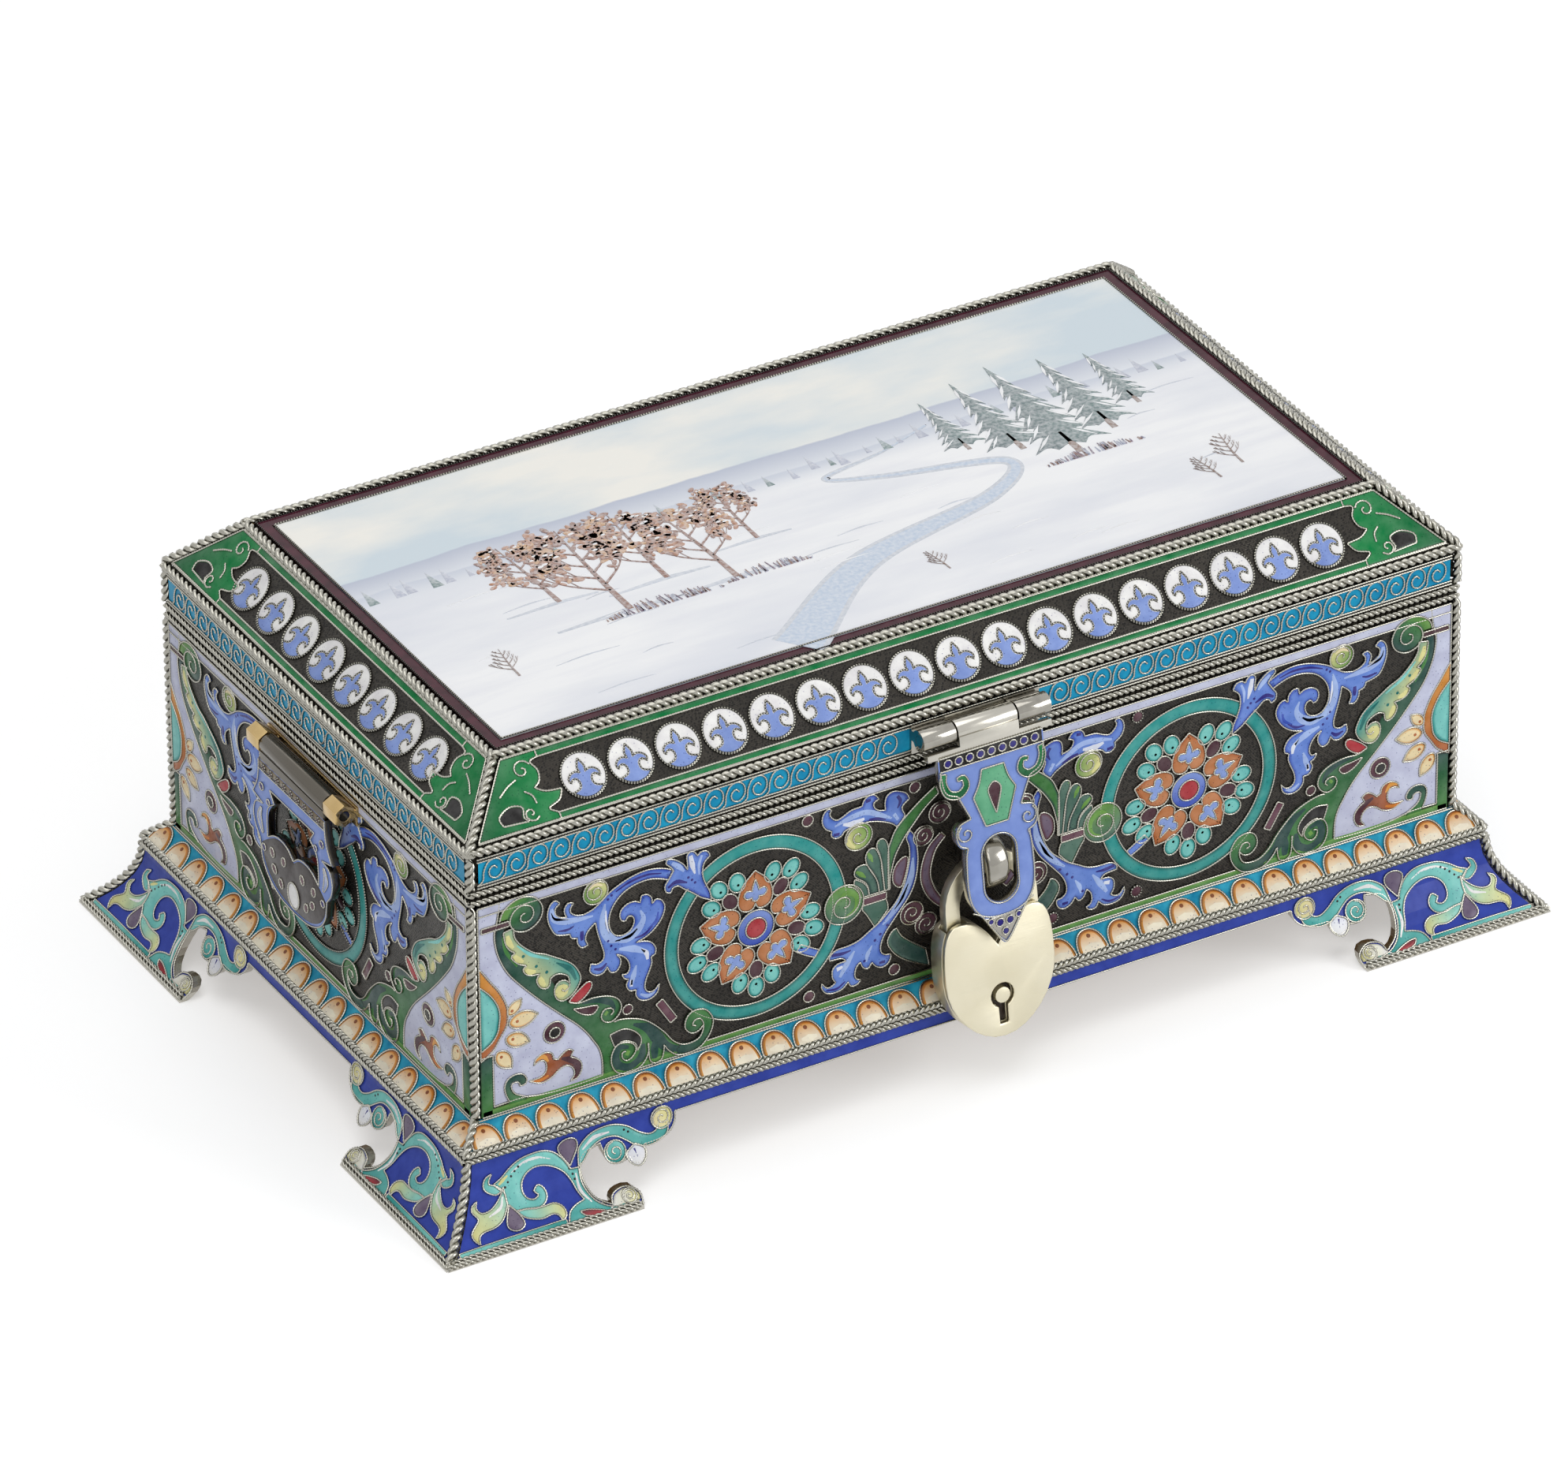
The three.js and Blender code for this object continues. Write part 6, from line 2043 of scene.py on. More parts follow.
        d.blob("-13.1,44.2! -12.2,45 -11.7,45.8! -12.2,47 -12,47.65 -10.95,48.4! -11.4,49.4 -12.4,50.1 "
               "-13.7,50.5 -14.8,50 -15.1,48.8 -15,47.7! -16.1,48 -16.8,48.6 -17,49.5 -16.1,50! "
               "-16.9,50.95 -18,51 -18.7,50.4 -18.95,49.6! -20.8,49.5 -22.3,48.8 -23.3,48.6 -24.2,49.4 "
               "-24.4,50.1 -24.1,50.6! -24.7,50.95 -25.5,50.2 -25.7,48.9 -25.15,47.65 -24.1,46.9! "
               "-24.2,46.15 -23.5,45.5 -22.5,45.6 -22,46.2! -21.2,46.5 -19.9,46.6 -18.1,46.6 -16.7,46.3 "
               "-15.2,45.7 -13.9,45", blue, Tint.BLUE_MID, 250, lift=lift, heart=Tint.BLUE_MID)
        d.strokes(lift + 0.03,
                  ("-10.4,38 -10.7,35 -11.9,32.2 -13.8,29.6 -15.6,28", (0.3, 1.0, 1.2, 1.1, 0.3), pale),
                  ("-11.2,33.8 -12.4,31.4 -13.6,30", (0.3, 0.7, 0.3), white),
                  ("-20.4,25 -21.8,23 -22.9,21.2", (0.3, 1.1, 0.5), pale),
                  ("-23.4,22.7 -22.4,22.9", (0.7, 0.5), white),
                  ("-17.4,25 -18.2,23.6 -18.4,22.4", (0.2, 0.8, 0.3), pale),
                  ("-25.2,19.6 -23.4,19.4 -22,20.2", (0.2, 0.45, 0.2), Tint.INK),
                  ("-16.2,21.5 -15.2,21.5", (0.4, 0.5), Tint.INK),
                  ("-24.2,25.4 -22.4,25.2 -21,25.3", (0.5, 0.6, 0.2), Tint.INK),
                  ("-22.2,47.5 -20.4,47.1 -18.6,47.4", (0.4, 1.2, 0.4), white),
                  ("-23.6,47.6 -21.4,48.2 -18.4,48.4 -16,47.2 -14,46", (0.3, 0.9, 0.9, 0.9, 0.3), pale),
                  ("-13,49.5 -12.5,48.5 -13,47.4", (0.5, 0.6, 0.2), Tint.INK),
                  ("-17.8,46.9 -16.4,46.7 -15,46.1", (0.4, 0.5, 0.2), Tint.INK),
                  ("-18.3,50.2 -17.5,50.3", (0.5, 0.5), Tint.INK),
                  ("-23.8,46.2 -22.8,46.1", (0.5, 0.5), Tint.INK),
                  ("-13.6,46.6 -12.9,45.4", (0.6, 0.5), pale))
        d.dots("-14.8,27.7 -16,26.5 -16.9,25.7 -18.7,22.7", 0.24, Tint.INK, 0.2)

    def borders(self, run: float) -> Drawing:
        """Draws the strips along the top and the bottom of a wall.

        Args:
            run: Half the side's length.

        Returns:
            The drawing.
        """
        d = Drawing()
        reach, inner = run - ROPE_ROOM, run - self.corner_reach
        d.strip(reach, self.top_strip, SIZES.wall_top - 0.1, Tint.LILAC, lift=0.1)
        low = SIZES.wall_bottom + 0.2
        d.strip(reach, low, self.low_strip, Tint.GREEN, Tint.GREEN_LIGHT, edges=False)
        d.level(reach, low)
        if inner > 0:
            d.level(inner, self.low_strip)
        return d

    def long_side(self) -> Drawing:
        """Draws a long side.

        Returns:
            The drawing.
        """
        corner, ring, middle = self.corner(), self.ring(), self.middle()
        whole = self.borders(SIZES.half_length)
        return whole.add(corner, corner.mirrored(), ring.moved(-self.ring_along),
                         ring.mirrored().moved(self.ring_along), middle, middle.mirrored())

    def short_side(self) -> Drawing:
        """Draws an end: the corner of a long side on both sides of one ring."""
        corner = self.corner().moved(SIZES.half_length - SIZES.half_depth)
        return self.borders(SIZES.half_depth).add(corner, corner.mirrored(), self.ring())

    def build(self, bench: Bench) -> None:
        """Builds the walls' ornament and dresses their solids.

        Args:
            bench: The maker's bench.
        """
        for side in SIDES:
            drawing = self.long_side() if side in (FRONT, BACK) else self.short_side()
            bench.ornament(f"wall_{side.name}", drawing, SideFace(side), Body.CASKET, "wall_enamel")
            bench.dress_node(f"wall_panel_{side.name}", "ground")


@dataclass
class BeadBand:
    """The sloped band of enamel beads over the ledge."""

    pitch: float = 5.42
    corner_room: float = 2.3
    half_width: float = 2.48
    height: float = 3.85
    foot: float = 0.35
    fullness: float = 0.9
    arch_steps: int = 17
    wire_room: float = 1.6

    def bead_outline(self, along: float, shrink: float = 0.0) -> np.ndarray:
        """Gives the arch of one bead, drawn in a little where asked.

        Args:
            along: Its place along.
            shrink: How far it is drawn in.

        Returns:
            The outline.
        """
        half, top = self.half_width - shrink, self.height - shrink
        angle = np.linspace(0, math.pi, self.arch_steps)
        across = np.sign(np.cos(angle)) * np.abs(np.cos(angle)) ** self.fullness
        up = self.foot + (top - self.foot) * np.sin(angle) ** self.fullness
        return np.column_stack((along + half * across, up))

    def build(self, bench: Bench) -> None:
        """Builds the beads on every side.

        Args:
            bench: The maker's bench.
        """
        for side in SIDES:
            drawing = Drawing(wire_radius=MEDIUM_WIRE)
            length = 2 * (side.run + self.corner_room)
            count = round(length / self.pitch)
            for number in range(count):
                along = (number - (count - 1) / 2) * length / count
                drawing.cell(self.bead_outline(along), Tint.ORANGE, Tint.RUST, lift=0.12)
                drawing.cell(self.bead_outline(along, 0.25), Tint.AMBER, Tint.ORANGE, lift=0.3, wired=False)
                drawing.flat(self.bead_outline(along, 0.6), Tint.IVORY, 0.39, Tint.AMBER)
                # Painted highlight: a pale stroke across the foot of each bead.
                shine = f"{along - 1.3},1.05 {along},0.95 {along + 1.3},1.05"
                drawing.paint(shine, (0.4, 1.2, 0.4), Tint.IVORY, 0.33)
                drawing.dots(f"{along},2.7", 0.34, Tint.BROWN, 0.33)
            reach = side.run + self.wire_room
            drawing.level(reach + 1.2, 0.25, 0.1)
            drawing.level(reach - 1.4, 4.25, 0.1)
            bench.ornament(f"bead_{side.name}", drawing, BandFace(side), Body.CASKET, "bead_enamel")
            bench.dress_node(f"bead_band_{side.name}", "bead")


@dataclass
class Frieze:
    """The upright turquoise frieze of the lid, with a running scroll of wire."""

    pitch: float = 3.64
    margin: float = 0.5
    coil_up: float = 58.45
    end_room: float = 3.0
    hasp_room: float = 11.5
    curl: str = ("-2.5,-1.9 -1.75,-1.3 -1.6,0.2 -0.9,1.6 0.35,1.95 1.4,1.1 1.5,-0.4 0.6,-1.35 -0.45,-1 "
                 "-0.75,0.1 0,0.8 0.6,0.2")

    def build(self, bench: Bench) -> None:
        """Builds the scrolls on every side.

        Args:
            bench: The maker's bench.
        """
        for side in SIDES:
            drawing = Drawing(wire_radius=MEDIUM_WIRE, lift=0.04)
            for along in row(int((2 * side.run - self.end_room) // self.pitch), self.pitch):
                if side is FRONT and abs(along) < self.hasp_room:
                    continue
                drawing.line(smooth_path(self.curl, False) + (along, self.coil_up), 0.06)
            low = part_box(f"frieze_panel_{side.name}")[0].z / MM
            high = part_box(f"frieze_panel_{side.name}")[1].z / MM
            for foot in (low + 0.1, high - self.margin - 0.1):
                drawing.strip(side.run - ROPE_ROOM, foot, foot + self.margin, Tint.BLACK, lift=0.03)
            bench.ornament(f"frieze_{side.name}", drawing, SideFace(side), Body.LID, "frieze_enamel")
            bench.dress_node(f"frieze_panel_{side.name}", "frieze")


@dataclass
class Slopes:
    """The lid's slopes: a row of roundels between green strips and corner fields."""

    pitch: float = 7.83
    roundel: float = 3.55
    roundel_up: float = 6.1
    field_width: float = 14.0
    edge_room: float = 1.3
    strip_room: float = 1.4
    long_count: int = 17
    short_count: int = 8

    def roundel_drawing(self, along: float) -> Drawing:
        """Draws one roundel: a lavender lily on white.

        Args:
            along: Its place along.

        Returns:
            The drawing.
        """
        d = Drawing(wire_radius=MEDIUM_WIRE)
        up = self.roundel_up
        d.disc(along, up, self.roundel, Tint.WHITE, lift=0.08, heart=Tint.WHITE)
        half = parse_path("0.62,1.3 0.45,0.5! 1.1,0.8 1.95,0.6 2.55,-0.1 2.35,-0.8! 1.9,-0.3 1.3,-0.35 "
                          "1,-0.95 1.15,-1.65 1.75,-2 2.6,-2.2! 1.5,-3.05")
        other = [(-x, y, sharp) for x, y, sharp in reversed(half)]
        lily = [(0.0, 2.65, True), *half, (0.0, -3.4, False), *other]
        d.blob(write_path(((along + x, up + y, sharp) for x, y, sharp in lily), 3), Tint.LAVENDER, lift=0.12)
        return d

    def corner_field(self, run: float) -> Drawing:
        """Draws the green field with its curls at the left end of a slope.

        Args:
            run: Half the side's length.

        Returns:
            The drawing.
        """
        d = Drawing(wire_radius=MEDIUM_WIRE)
        edge = self.edge_room - run
        slant = SIZES.slope_inset / SIZES.slope_length
        foot, head = edge + slant * 0.9, edge + slant * 11.8
        inner = self.field_width - run

        def moved(text: str) -> str:
            """Moves a path that counts from the field's inner edge."""
            return write_path(((inner + x, y, sharp) for x, y, sharp in parse_path(text)), 3)

        ragged = moved("1.6,0.95! 1.6,2! 0.4,2.9 2.4,3.7 3.4,5.2! 0.9,5.5 -0.6,6.4! 0.5,7.2 0.9,8.8 "
                       "0.2,10.3 1.6,10.7! 1.6,11.8!")
        d.blob(f"{foot:.3f},0.95! {ragged} {head:.3f},11.8!", Tint.EMERALD, Tint.BOTTLE, 180, lift=0.1)
        d.blob(moved("-7.4,2.2! -7.6,3.6 -5.6,4.7 -3.6,4.2 -3.9,2.6 -3.2,1.9!"), Tint.BLACK, lift=0.16)
        d.coil(inner - 1.5, 9.4, 1.6, 1.2, 20, 1, 0.2)
        d.coil(inner - 2.6, 2.9, 1.3, 1.2, -30, -1, 0.2)
        d.trail(moved("-6.4,6.4 -4.6,7.6 -2.9,8.3"), 0.2)
        d.trail(moved("-2.4,6.3 -1.4,5.4 -1.2,4.1"), 0.2)
        return d

    def build(self, bench: Bench) -> None:
        """Builds the slopes' ornament on every side.

        Args:
            bench: The maker's bench.
        """
        length = SIZES.slope_length
        slant = SIZES.slope_inset / length
        for side in SIDES:
            corner = self.corner_field(side.run)
            drawing = Drawing(wire_radius=MEDIUM_WIRE).add(corner, corner.mirrored())
            inner = side.run - self.field_width - self.strip_room
            for low, high in ((0.95, 1.95), (10.7, 11.8)):
                drawing.strip(inner, low, high, Tint.EMERALD, Tint.BOTTLE)
            for up in (0.8, length - 1.05):
                drawing.level(side.run - self.edge_room - slant * up, up, 0.08, 0.24)
            count = self.long_count if side in (FRONT, BACK) else self.short_count
            drawing.add(*map(self.roundel_drawing, row(count, self.pitch)))
            bench.ornament(f"slope_{side.name}", drawing, SlopeFace(side), Body.LID, "slope_enamel")
            bench.dress_node(f"slope_panel_{side.name}", "ground")


@dataclass
class Plaque:
    """The plaque on the lid: a generic winter landscape in a plum border with silver wires."""

    half_long: float = 71.6
    half_deep: float = 34.6
    layer_rise: float = 0.006
    paint_rise: float = 0.02
    seed: int = 11

    def __post_init__(self) -> None:
        """Starts the painter's hand."""
        self.hand = random.Random(self.seed)

    def height(self, layer: float) -> float:
        """Gives the height of a layer of the painting."""
        return self.paint_rise + layer * self.layer_rise

    def stroke(self, d: Drawing, text: str, widths: Sequence[float], tint: Tint, layer: int) -> None:
        """Draws a brush stroke on a layer of the painting."""
        d.paint(text, widths, tint, self.height(layer) - STROKE_RISE)

    def dab(self, d: Drawing, x: float, y: float, size: float, turn: float, tint: Tint, layer: int) -> None:
        """Draws a short dab on a layer of the painting."""
        d.flat(circle_points(x, y, size, size * 0.55, turn, 8), tint, self.height(layer))

    def fir(self, d: Drawing, x: float, y: float, tall: float, tint: Tint, layer: int) -> None:
        """Draws one fir tree: a stem, tiers of boughs and the snow on them.

        Args:
            d: The drawing it goes on.
            x: Its place along.
            y: Its place up.
            tall: Its height.
            tint: Its colour.
            layer: The painting's layer.
        """
        self.stroke(d, f"{x},{y} {x},{y + tall * 0.5}", (tall * 0.05, tall * 0.02), Tint.TWIG, layer)
        for tier in range(7):
            base = y + tall * (0.1 + 0.125 * tier)
            wide, rise = tall * 0.25 * (1 - tier / 7.6), tall * 0.26
            wide *= self.hand.uniform(0.9, 1.1)
            lift = self.height(layer + tier * 0.3)
            text = (f"{x},{base + rise}! {x + wide},{base - rise * 0.06}! "
                    f"{x + wide * 0.55},{base + rise * 0.1} {x + wide * 0.3},{base - rise * 0.1}! "
                    f"{x},{base + rise * 0.06} "
                    f"{x - wide * 0.4},{base - rise * 0.08}! {x - wide * 0.6},{base + rise * 0.1} "
                    f"{x - wide},{base - rise * 0.04}!")
            d.flat(smooth_path(text, True, 0.8)[::-1], tint, lift, Tint.PINE, 40.0)
            for side in (-1, 1):
                far, near = self.hand.uniform(0.7, 0.95), self.hand.uniform(0.1, 0.3)
                bough = (f"{x + side * wide * far},{base + rise * 0.08} "
                         f"{x + side * wide * near},{base + rise * 0.62}")
                d.paint(bough, (0.12, tall * 0.026, 0.1), Tint.SNOW, lift - 0.08)

    def bare_tree(self, d: Drawing, x: float, y: float, tall: float, lean: float, tint: Tint,
                  layer: int) -> list[tuple[float, float]]:
        """Draws a bare tree and gives the ends of its branches.

        Args:
            d: The drawing it goes on.
            x: Its place along.
            y: Its place up.
            tall: Its height.
            lean: How far it leans.
            tint: Its colour.
            layer: The painting's layer.

        Returns:
            The branches' ends.
        """
        ends = []
        thick = tall * 0.045
        self.stroke(d, f"{x},{y} {x + lean * tall * 0.2},{y + tall * 0.4} {x + lean * tall},{y + tall}",
                    (thick, thick * 0.6, thick * 0.15), tint, layer)
        for number in range(9):
            share = 0.24 + 0.075 * number
            side = 1 if number % 2 else -1
            bx, by = x + lean * tall * share ** 1.6, y + tall * share
            reach = tall * (0.46 - 0.034 * number) * self.hand.uniform(0.85, 1.1)
            ex, ey = bx + side * reach * 0.66, by + reach * 0.72
            self.stroke(d, f"{bx},{by} {bx + side * reach * 0.4},{by + reach * 0.34} {ex},{ey}",
                        (thick * 0.42, thick * 0.25, thick * 0.08), tint, layer)
            for twig in (0.45, 0.7):
                tx, ty = bx + side * reach * 0.66 * twig, by + reach * 0.66 * twig ** 1.3
                tip = (tx + side * reach * 0.1, ty + reach * 0.34)
                self.stroke(d, f"{tx},{ty} {tip[0]},{tip[1]}", (thick * 0.2, thick * 0.06), tint, layer)
                ends.append(tip)
            ends.append((ex, ey))
        return ends

    def russet_tree(self, d: Drawing, x: float, y: float, tall: float, lean: float, layer: int) -> None:
        """Draws a tree that keeps its russet leaves through the winter.

        Args:
            d: The drawing it goes on.
            x: Its place along.
            y: Its place up.
            tall: Its height.
            lean: How far it leans.
            layer: The painting's layer.
        """
        for side, reach in ((-1, 0.5), (1, 0.35)):
            shadow = f"{x},{y} {x + side * tall * reach},{y - tall * 0.02}"
            self.stroke(d, shadow, (tall * 0.05, tall * 0.02), Tint.HAZE, 1)
        ends = self.bare_tree(d, x, y, tall, lean, Tint.CHESTNUT, layer)
        tints = (Tint.RUSSET, Tint.RUSSET, Tint.BROWN, Tint.OCHRE, Tint.CHESTNUT)
        for ex, ey in ends:
            for _ in range(9):
                px, py = self.hand.gauss(ex, tall * 0.045), self.hand.gauss(ey, tall * 0.04)
                self.dab(d, px, py, tall * self.hand.uniform(0.022, 0.046), self.hand.uniform(0, 180),
                         self.hand.choice(tints), layer + 1 + self.hand.randrange(3))
            if self.hand.random() < 0.5:
                self.dab(d, ex, ey + tall * 0.03, tall * 0.022, 10, Tint.SNOW, layer + 5)

    def thicket(self, d: Drawing, x: float, y: float, wide: float, tall: float, tints: Sequence[Tint],
                layer: int) -> None:
        """Draws a low thicket of upright twigs.

        Args:
            d: The drawing it goes on.
            x: Its place along.
            y: Its place up.
            wide: Half its width.
            tall: Its height.
            tints: Colours of its twigs.
            layer: The painting's layer.
        """
        for _ in range(int(wide * 7)):
            share = self.hand.uniform(-1, 1)
            high = tall * (1 - share * share) * self.hand.uniform(0.5, 1.0) + 0.4
            px = x + share * wide
            self.stroke(d, f"{px},{y} {px + self.hand.uniform(-0.4, 0.4)},{y + high}", (0.28, 0.12),
                        self.hand.choice(tints), layer)

    def painting(self) -> Drawing:
        """Draws a frozen stream, drifts, far firs, a russet grove, near firs and bare shrubs.

        Returns:
            The drawing.
        """
        d = Drawing()
        stream = "26,10.5 16,7 5,4.6 13,0.8 31,-4.6 24,-12 -2,-19 -22,-34.3"
        self.stroke(d, stream, (0.3, 0.9, 1.6, 2.2, 3.4, 4.6, 6.4, 8.6), Tint.HAZE, 0)
        self.stroke(d, stream, (0.2, 0.6, 1.1, 1.6, 2.6, 3.7, 5.3, 7.4), Tint.ICE, 1)
        for drift in range(26):
            x, y = self.hand.uniform(-66, 58), self.hand.uniform(-33, 2)
            far = self.hand.uniform(5, 11)
            self.stroke(d, f"{x},{y} {x + far * 0.5},{y + 0.5} {x + far},{y + 0.3}", (0.08, 0.32, 0.06),
                        Tint.SNOW if drift % 2 else Tint.HAZE, 2)
        for number in range(44):
            x = -69 + number * 3.2 + self.hand.uniform(-1.1, 1.1)
            tint = Tint.HILL if number % 3 else Tint.PINE
            self.far_fir(d, x, 7.2 + self.hand.uniform(-0.5, 0.7), self.hand.uniform(2.2, 4.6), tint)
        for x, y, tall in ((28, 1, 14), (57, 0, 15), (35, -3, 20), (50, -4.5, 21), (42, -8, 26)):
            self.fir(d, x, y, tall, Tint.PINE_DEEP, 6)
        for x, y, tall, lean in ((-12, -5, 16, 0.06), (-46, -6, 18, -0.05), (-29, -8, 20, 0.05),
                                 (-20, -13, 22, -0.06), (-38, -13, 25, 0.04)):
            self.russet_tree(d, x, y, tall, lean, 9)
        for x, y, wide, tall in ((-33, -14.5, 10, 2.6), (-15, -14, 7, 2.2), (44, -9.5, 9, 2.0)):
            self.thicket(d, x, y, wide, tall, (Tint.PLUM, Tint.CHESTNUT, Tint.HILL), 14)
        for x, y, tall, lean in ((61, -23, 9, 0.14), (56, -25, 7, -0.1), (-61, -21, 8, 0.1),
                                 (8, -27, 6, -0.12)):
            self.bare_tree(d, x, y, tall, lean, Tint.TWIG, 12)
        return d

    def far_fir(self, d: Drawing, x: float, y: float, tall: float, tint: Tint) -> None:
        """Draws a small fir far away."""
        text = f"{x},{y + tall}! {x + tall * 0.2},{y}! {x - tall * 0.2},{y}!"
        d.flat(smooth_path(text, True, 2.0)[::-1], tint, 0.03, Tint.HAZE)

    def build(self, bench: Bench) -> None:
        """Builds the painting, the bezel wires and the border.

        Args:
            bench: The maker's bench.
        """
        painting = bench.enamel.build("plaque_painting", self.painting(), TopFace())
        bench.settle(painting, Body.LID, "plaque_enamel", "paint")
        bezel = Drawing(wire_radius=MEDIUM_WIRE, lift=0.0)
        for grow, radius in ((0.05, MEDIUM_WIRE), (2.1, FINE_WIRE)):
            x, y = self.half_long + grow, self.half_deep + grow
            bezel.line(np.array([(-x, -y), (x, -y), (x, y), (-x, y)]), 0.0, radius, True)
        bench.ornament("plaque_bezel", bezel, TopFace(), Body.LID, "silver_wire")
        bench.dress_node("plaque", "painting")
        bench.dress_node("plaque_frame", "border")


@dataclass
class Skirts:
    """The flared skirts: leaf scrolls on the feet and wires along the cut edges."""

    strip_depth: float = 2.4
    foot_reach: float = 42.0
    rope_start: float = 0.4
    rope_end: float = 32.4
    rope_pitch: float = 1.9
    rope_steps: int = 12

    def foot(self, edge: float) -> Drawing:
        """Draws the left foot of a skirt.

        Args:
            edge: Where the skirt's outer corner is.

        Returns:
            The drawing, with arc lengths up.
        """
        d = Drawing(wire_radius=SLIM_WIRE)
        aqua, teal, yellow, white = Tint.AQUA, Tint.TEAL, Tint.YELLOW, Tint.WHITE
        d.ribbon("-92.2,1.75 -86,1.8 -80,1.8 -74.4,1.8", (0.7, 0.8, 0.8, 0.8), aqua, teal, 0)
        d.blob("-83.7,10.3! -82.3,10.9 -80.7,12 -79,12.8 -77,13.1 -75,13 -73.3,12.2 -72,10.7 -71.2,9! "
               "-69.9,8.9! -70.1,6.8 -69.8,5.2 -69,3.5 -67.7,2.3 -66.3,1.7 -64.4,1.4! -68,1.3 -74.2,1.4! "
               "-73.4,3 -72,3.8 -70.6,4.1! -71.2,5.6 -71.6,7.3 -72.4,8.9 -73.8,10.1 -75.4,10.8 -77,10.9 "
               "-78.4,10.3 -79.3,9.2 -79.5,7.8 -79,6.8 -78,6.4 -77.2,6.8! -77.8,7.6! -76.9,8.3 -76.1,7.5 "
               "-76,6.3 -76.8,5.3 -78.2,5 -79.9,5.4 -81.2,5.4! -82.4,6.8! -82.4,8.8",
               aqua, teal, -60, lift=0.12)
        d.blob("-82.3,9.6! -82.9,8.6 -83.9,7.6 -85.3,6.8 -86.7,6.8 -87.3,7.7 -86.9,8.7! -87.9,8.1 "
               "-88.1,7.2 -87.5,6 -88.8,4.8 -89.3,4.1 -89.1,3.1 -88.5,2.4! -88.2,3.5 -87.3,4 -85.3,4.2 "
               "-83.7,5 -82.3,6.9!", yellow, aqua, 35, lift=0.12)
        d.blob("-81.4,5.6! -80.4,4.3 -79,3.6 -77.7,3.3 -76,3.5 -75.2,3 -75,2.1! -74.1,2.7 -74.1,4 -75.3,5 "
               "-77.4,5 -79.6,5.4", aqua, yellow, 0, lift=0.12)
        d.blob("-82.7,9! -83.7,8.7 -84.9,9.4 -85.4,10.3 -84.9,11.5 -83.7,12! -84.3,11.1 -84.4,10.5 "
               "-83.7,10.2!", aqua, teal, 90, lift=0.14)
        d.blob("-82.2,6.8! -81,4.8 -80.8,3.3 -82,2.7 -83.2,3.2 -83.4,4.3", Tint.GREY_LILAC, lift=0.18)
        d.blob("-71.2,9.4! -72.6,12.2 -72.1,13.3 -70.8,13.7 -69.6,13.2 -69.5,11.8",
               Tint.GREY_LILAC, lift=0.16)
        d.blob("-69.9,8.9! -69.4,11.2 -68.7,12.2 -67,13.3 -65,13.7 -63,13.5 -61,12.6 -59.3,11.2 -57.7,10.4 "
               "-56.4,10.7 -55.9,11.8! -54.3,11.5! -54.8,9.8 -56.3,9 -58.3,8.8 -60.3,9.5 -61.6,10.6 "
               "-63,11.6 -64.6,11.9 -66.2,11.6 -67.7,10.7 -68.9,9.5", aqua, teal, 0, lift=0.13)
        d.volute(-55.3, 12.3, 1.75, yellow, Tint.CREAM, 200, -1, 0.18)
        d.volute(-63.7, 9.4, 1.75, teal, aqua, 90, 1, 0.18)
        d.blob("-62,8.6 -61.7,7.1 -60.5,6.3 -59.2,7.1 -58.9,8.6 -60.3,9.7!",
               white, Tint.BLUE_WHITE, lift=0.16)
        d.paint("-60.6,9 -60.4,7.6", (0.3, 0.12), Tint.INK, 0.16)
        d.blob("-71.9,2.6! -70.6,2.5 -68.8,1.9 -67.6,1.3! -70,1.35 -71.4,1.8",
               Tint.RED, Tint.MAROON, lift=0.2)
        d.blob("-67.5,1.5! -66.5,2.3 -65.8,3.4 -63.8,3.9 -62.2,2.7 -62.2,1.6!",
               white, yellow, 0, lift=0.15, wired=False)
        d.volute(-63.7, 2.6, 1.15, yellow, white, 180, -1, 0.19)
        d.paint("-80.6,11.2 -78.4,12.1 -76,12.2 -74,11.4", (0.2, 0.6, 0.6, 0.2), white, 0.12)
        d.paint("-82.9,10 -81.2,11", (0.3, 0.6, 0.2), yellow, 0.12)
        d.paint("-68.7,11.2 -66.6,12.5 -64,12.6", (0.2, 0.7, 0.3), white, 0.13)
        d.paint("-70.6,8.2 -70.7,5.6 -69.6,3.4", (0.2, 0.5, 0.2), white, 0.12)
        d.paint("-85.8,5.9 -83.6,6.7 -82.8,8.2", (0.2, 0.5, 0.2), white, 0.12)
        d.dots("-82,9.4 -81.4,10 -80.7,10.7 -80,11.3 -79.3,11.8", 0.22, Tint.BLACK, 0.125)
        d.dots("-71.4,9.1 -71.1,8.2 -71,7.4 -61.6,12.2 -61,11.7", 0.2, Tint.BLACK, 0.13)
        return d.moved(edge + SIZES.half_length + SIZES.foot_flare)

    def edge_path(self, run: float) -> np.ndarray:
        """Gives the right-hand outline of the gap between two feet, as height over along.

        Args:
            run: Half the side's length.

        Returns:
            Points along the edge.
        """
        corner = run + SIZES.foot_flare
        strip = SIZES.skirt_height - self.strip_depth
        scrolls = parse_path("41.8,8.6 40.9,7.5 39.4,6.85 37.6,6.7 36.1,6.7! 35.75,5.2 34.7,4.7 33.65,5 "
                             "33.3,6! 32.6,5.55 31.4,5.45 30,6 29.6,7.1 29.3,8.7! 26.2,7.85 25.2,5.3 "
                             "26,2.7 28.3,1.3! 29,2.35 31.2,2.7 33.05,1.7 32.9,0.35!")
        edge = [(self.foot_reach, strip, True), *scrolls]
        words = (f"{corner - reach:.3f},{up}" + "!" * sharp for reach, up, sharp in edge)
        return smooth_path(" ".join(words), False)

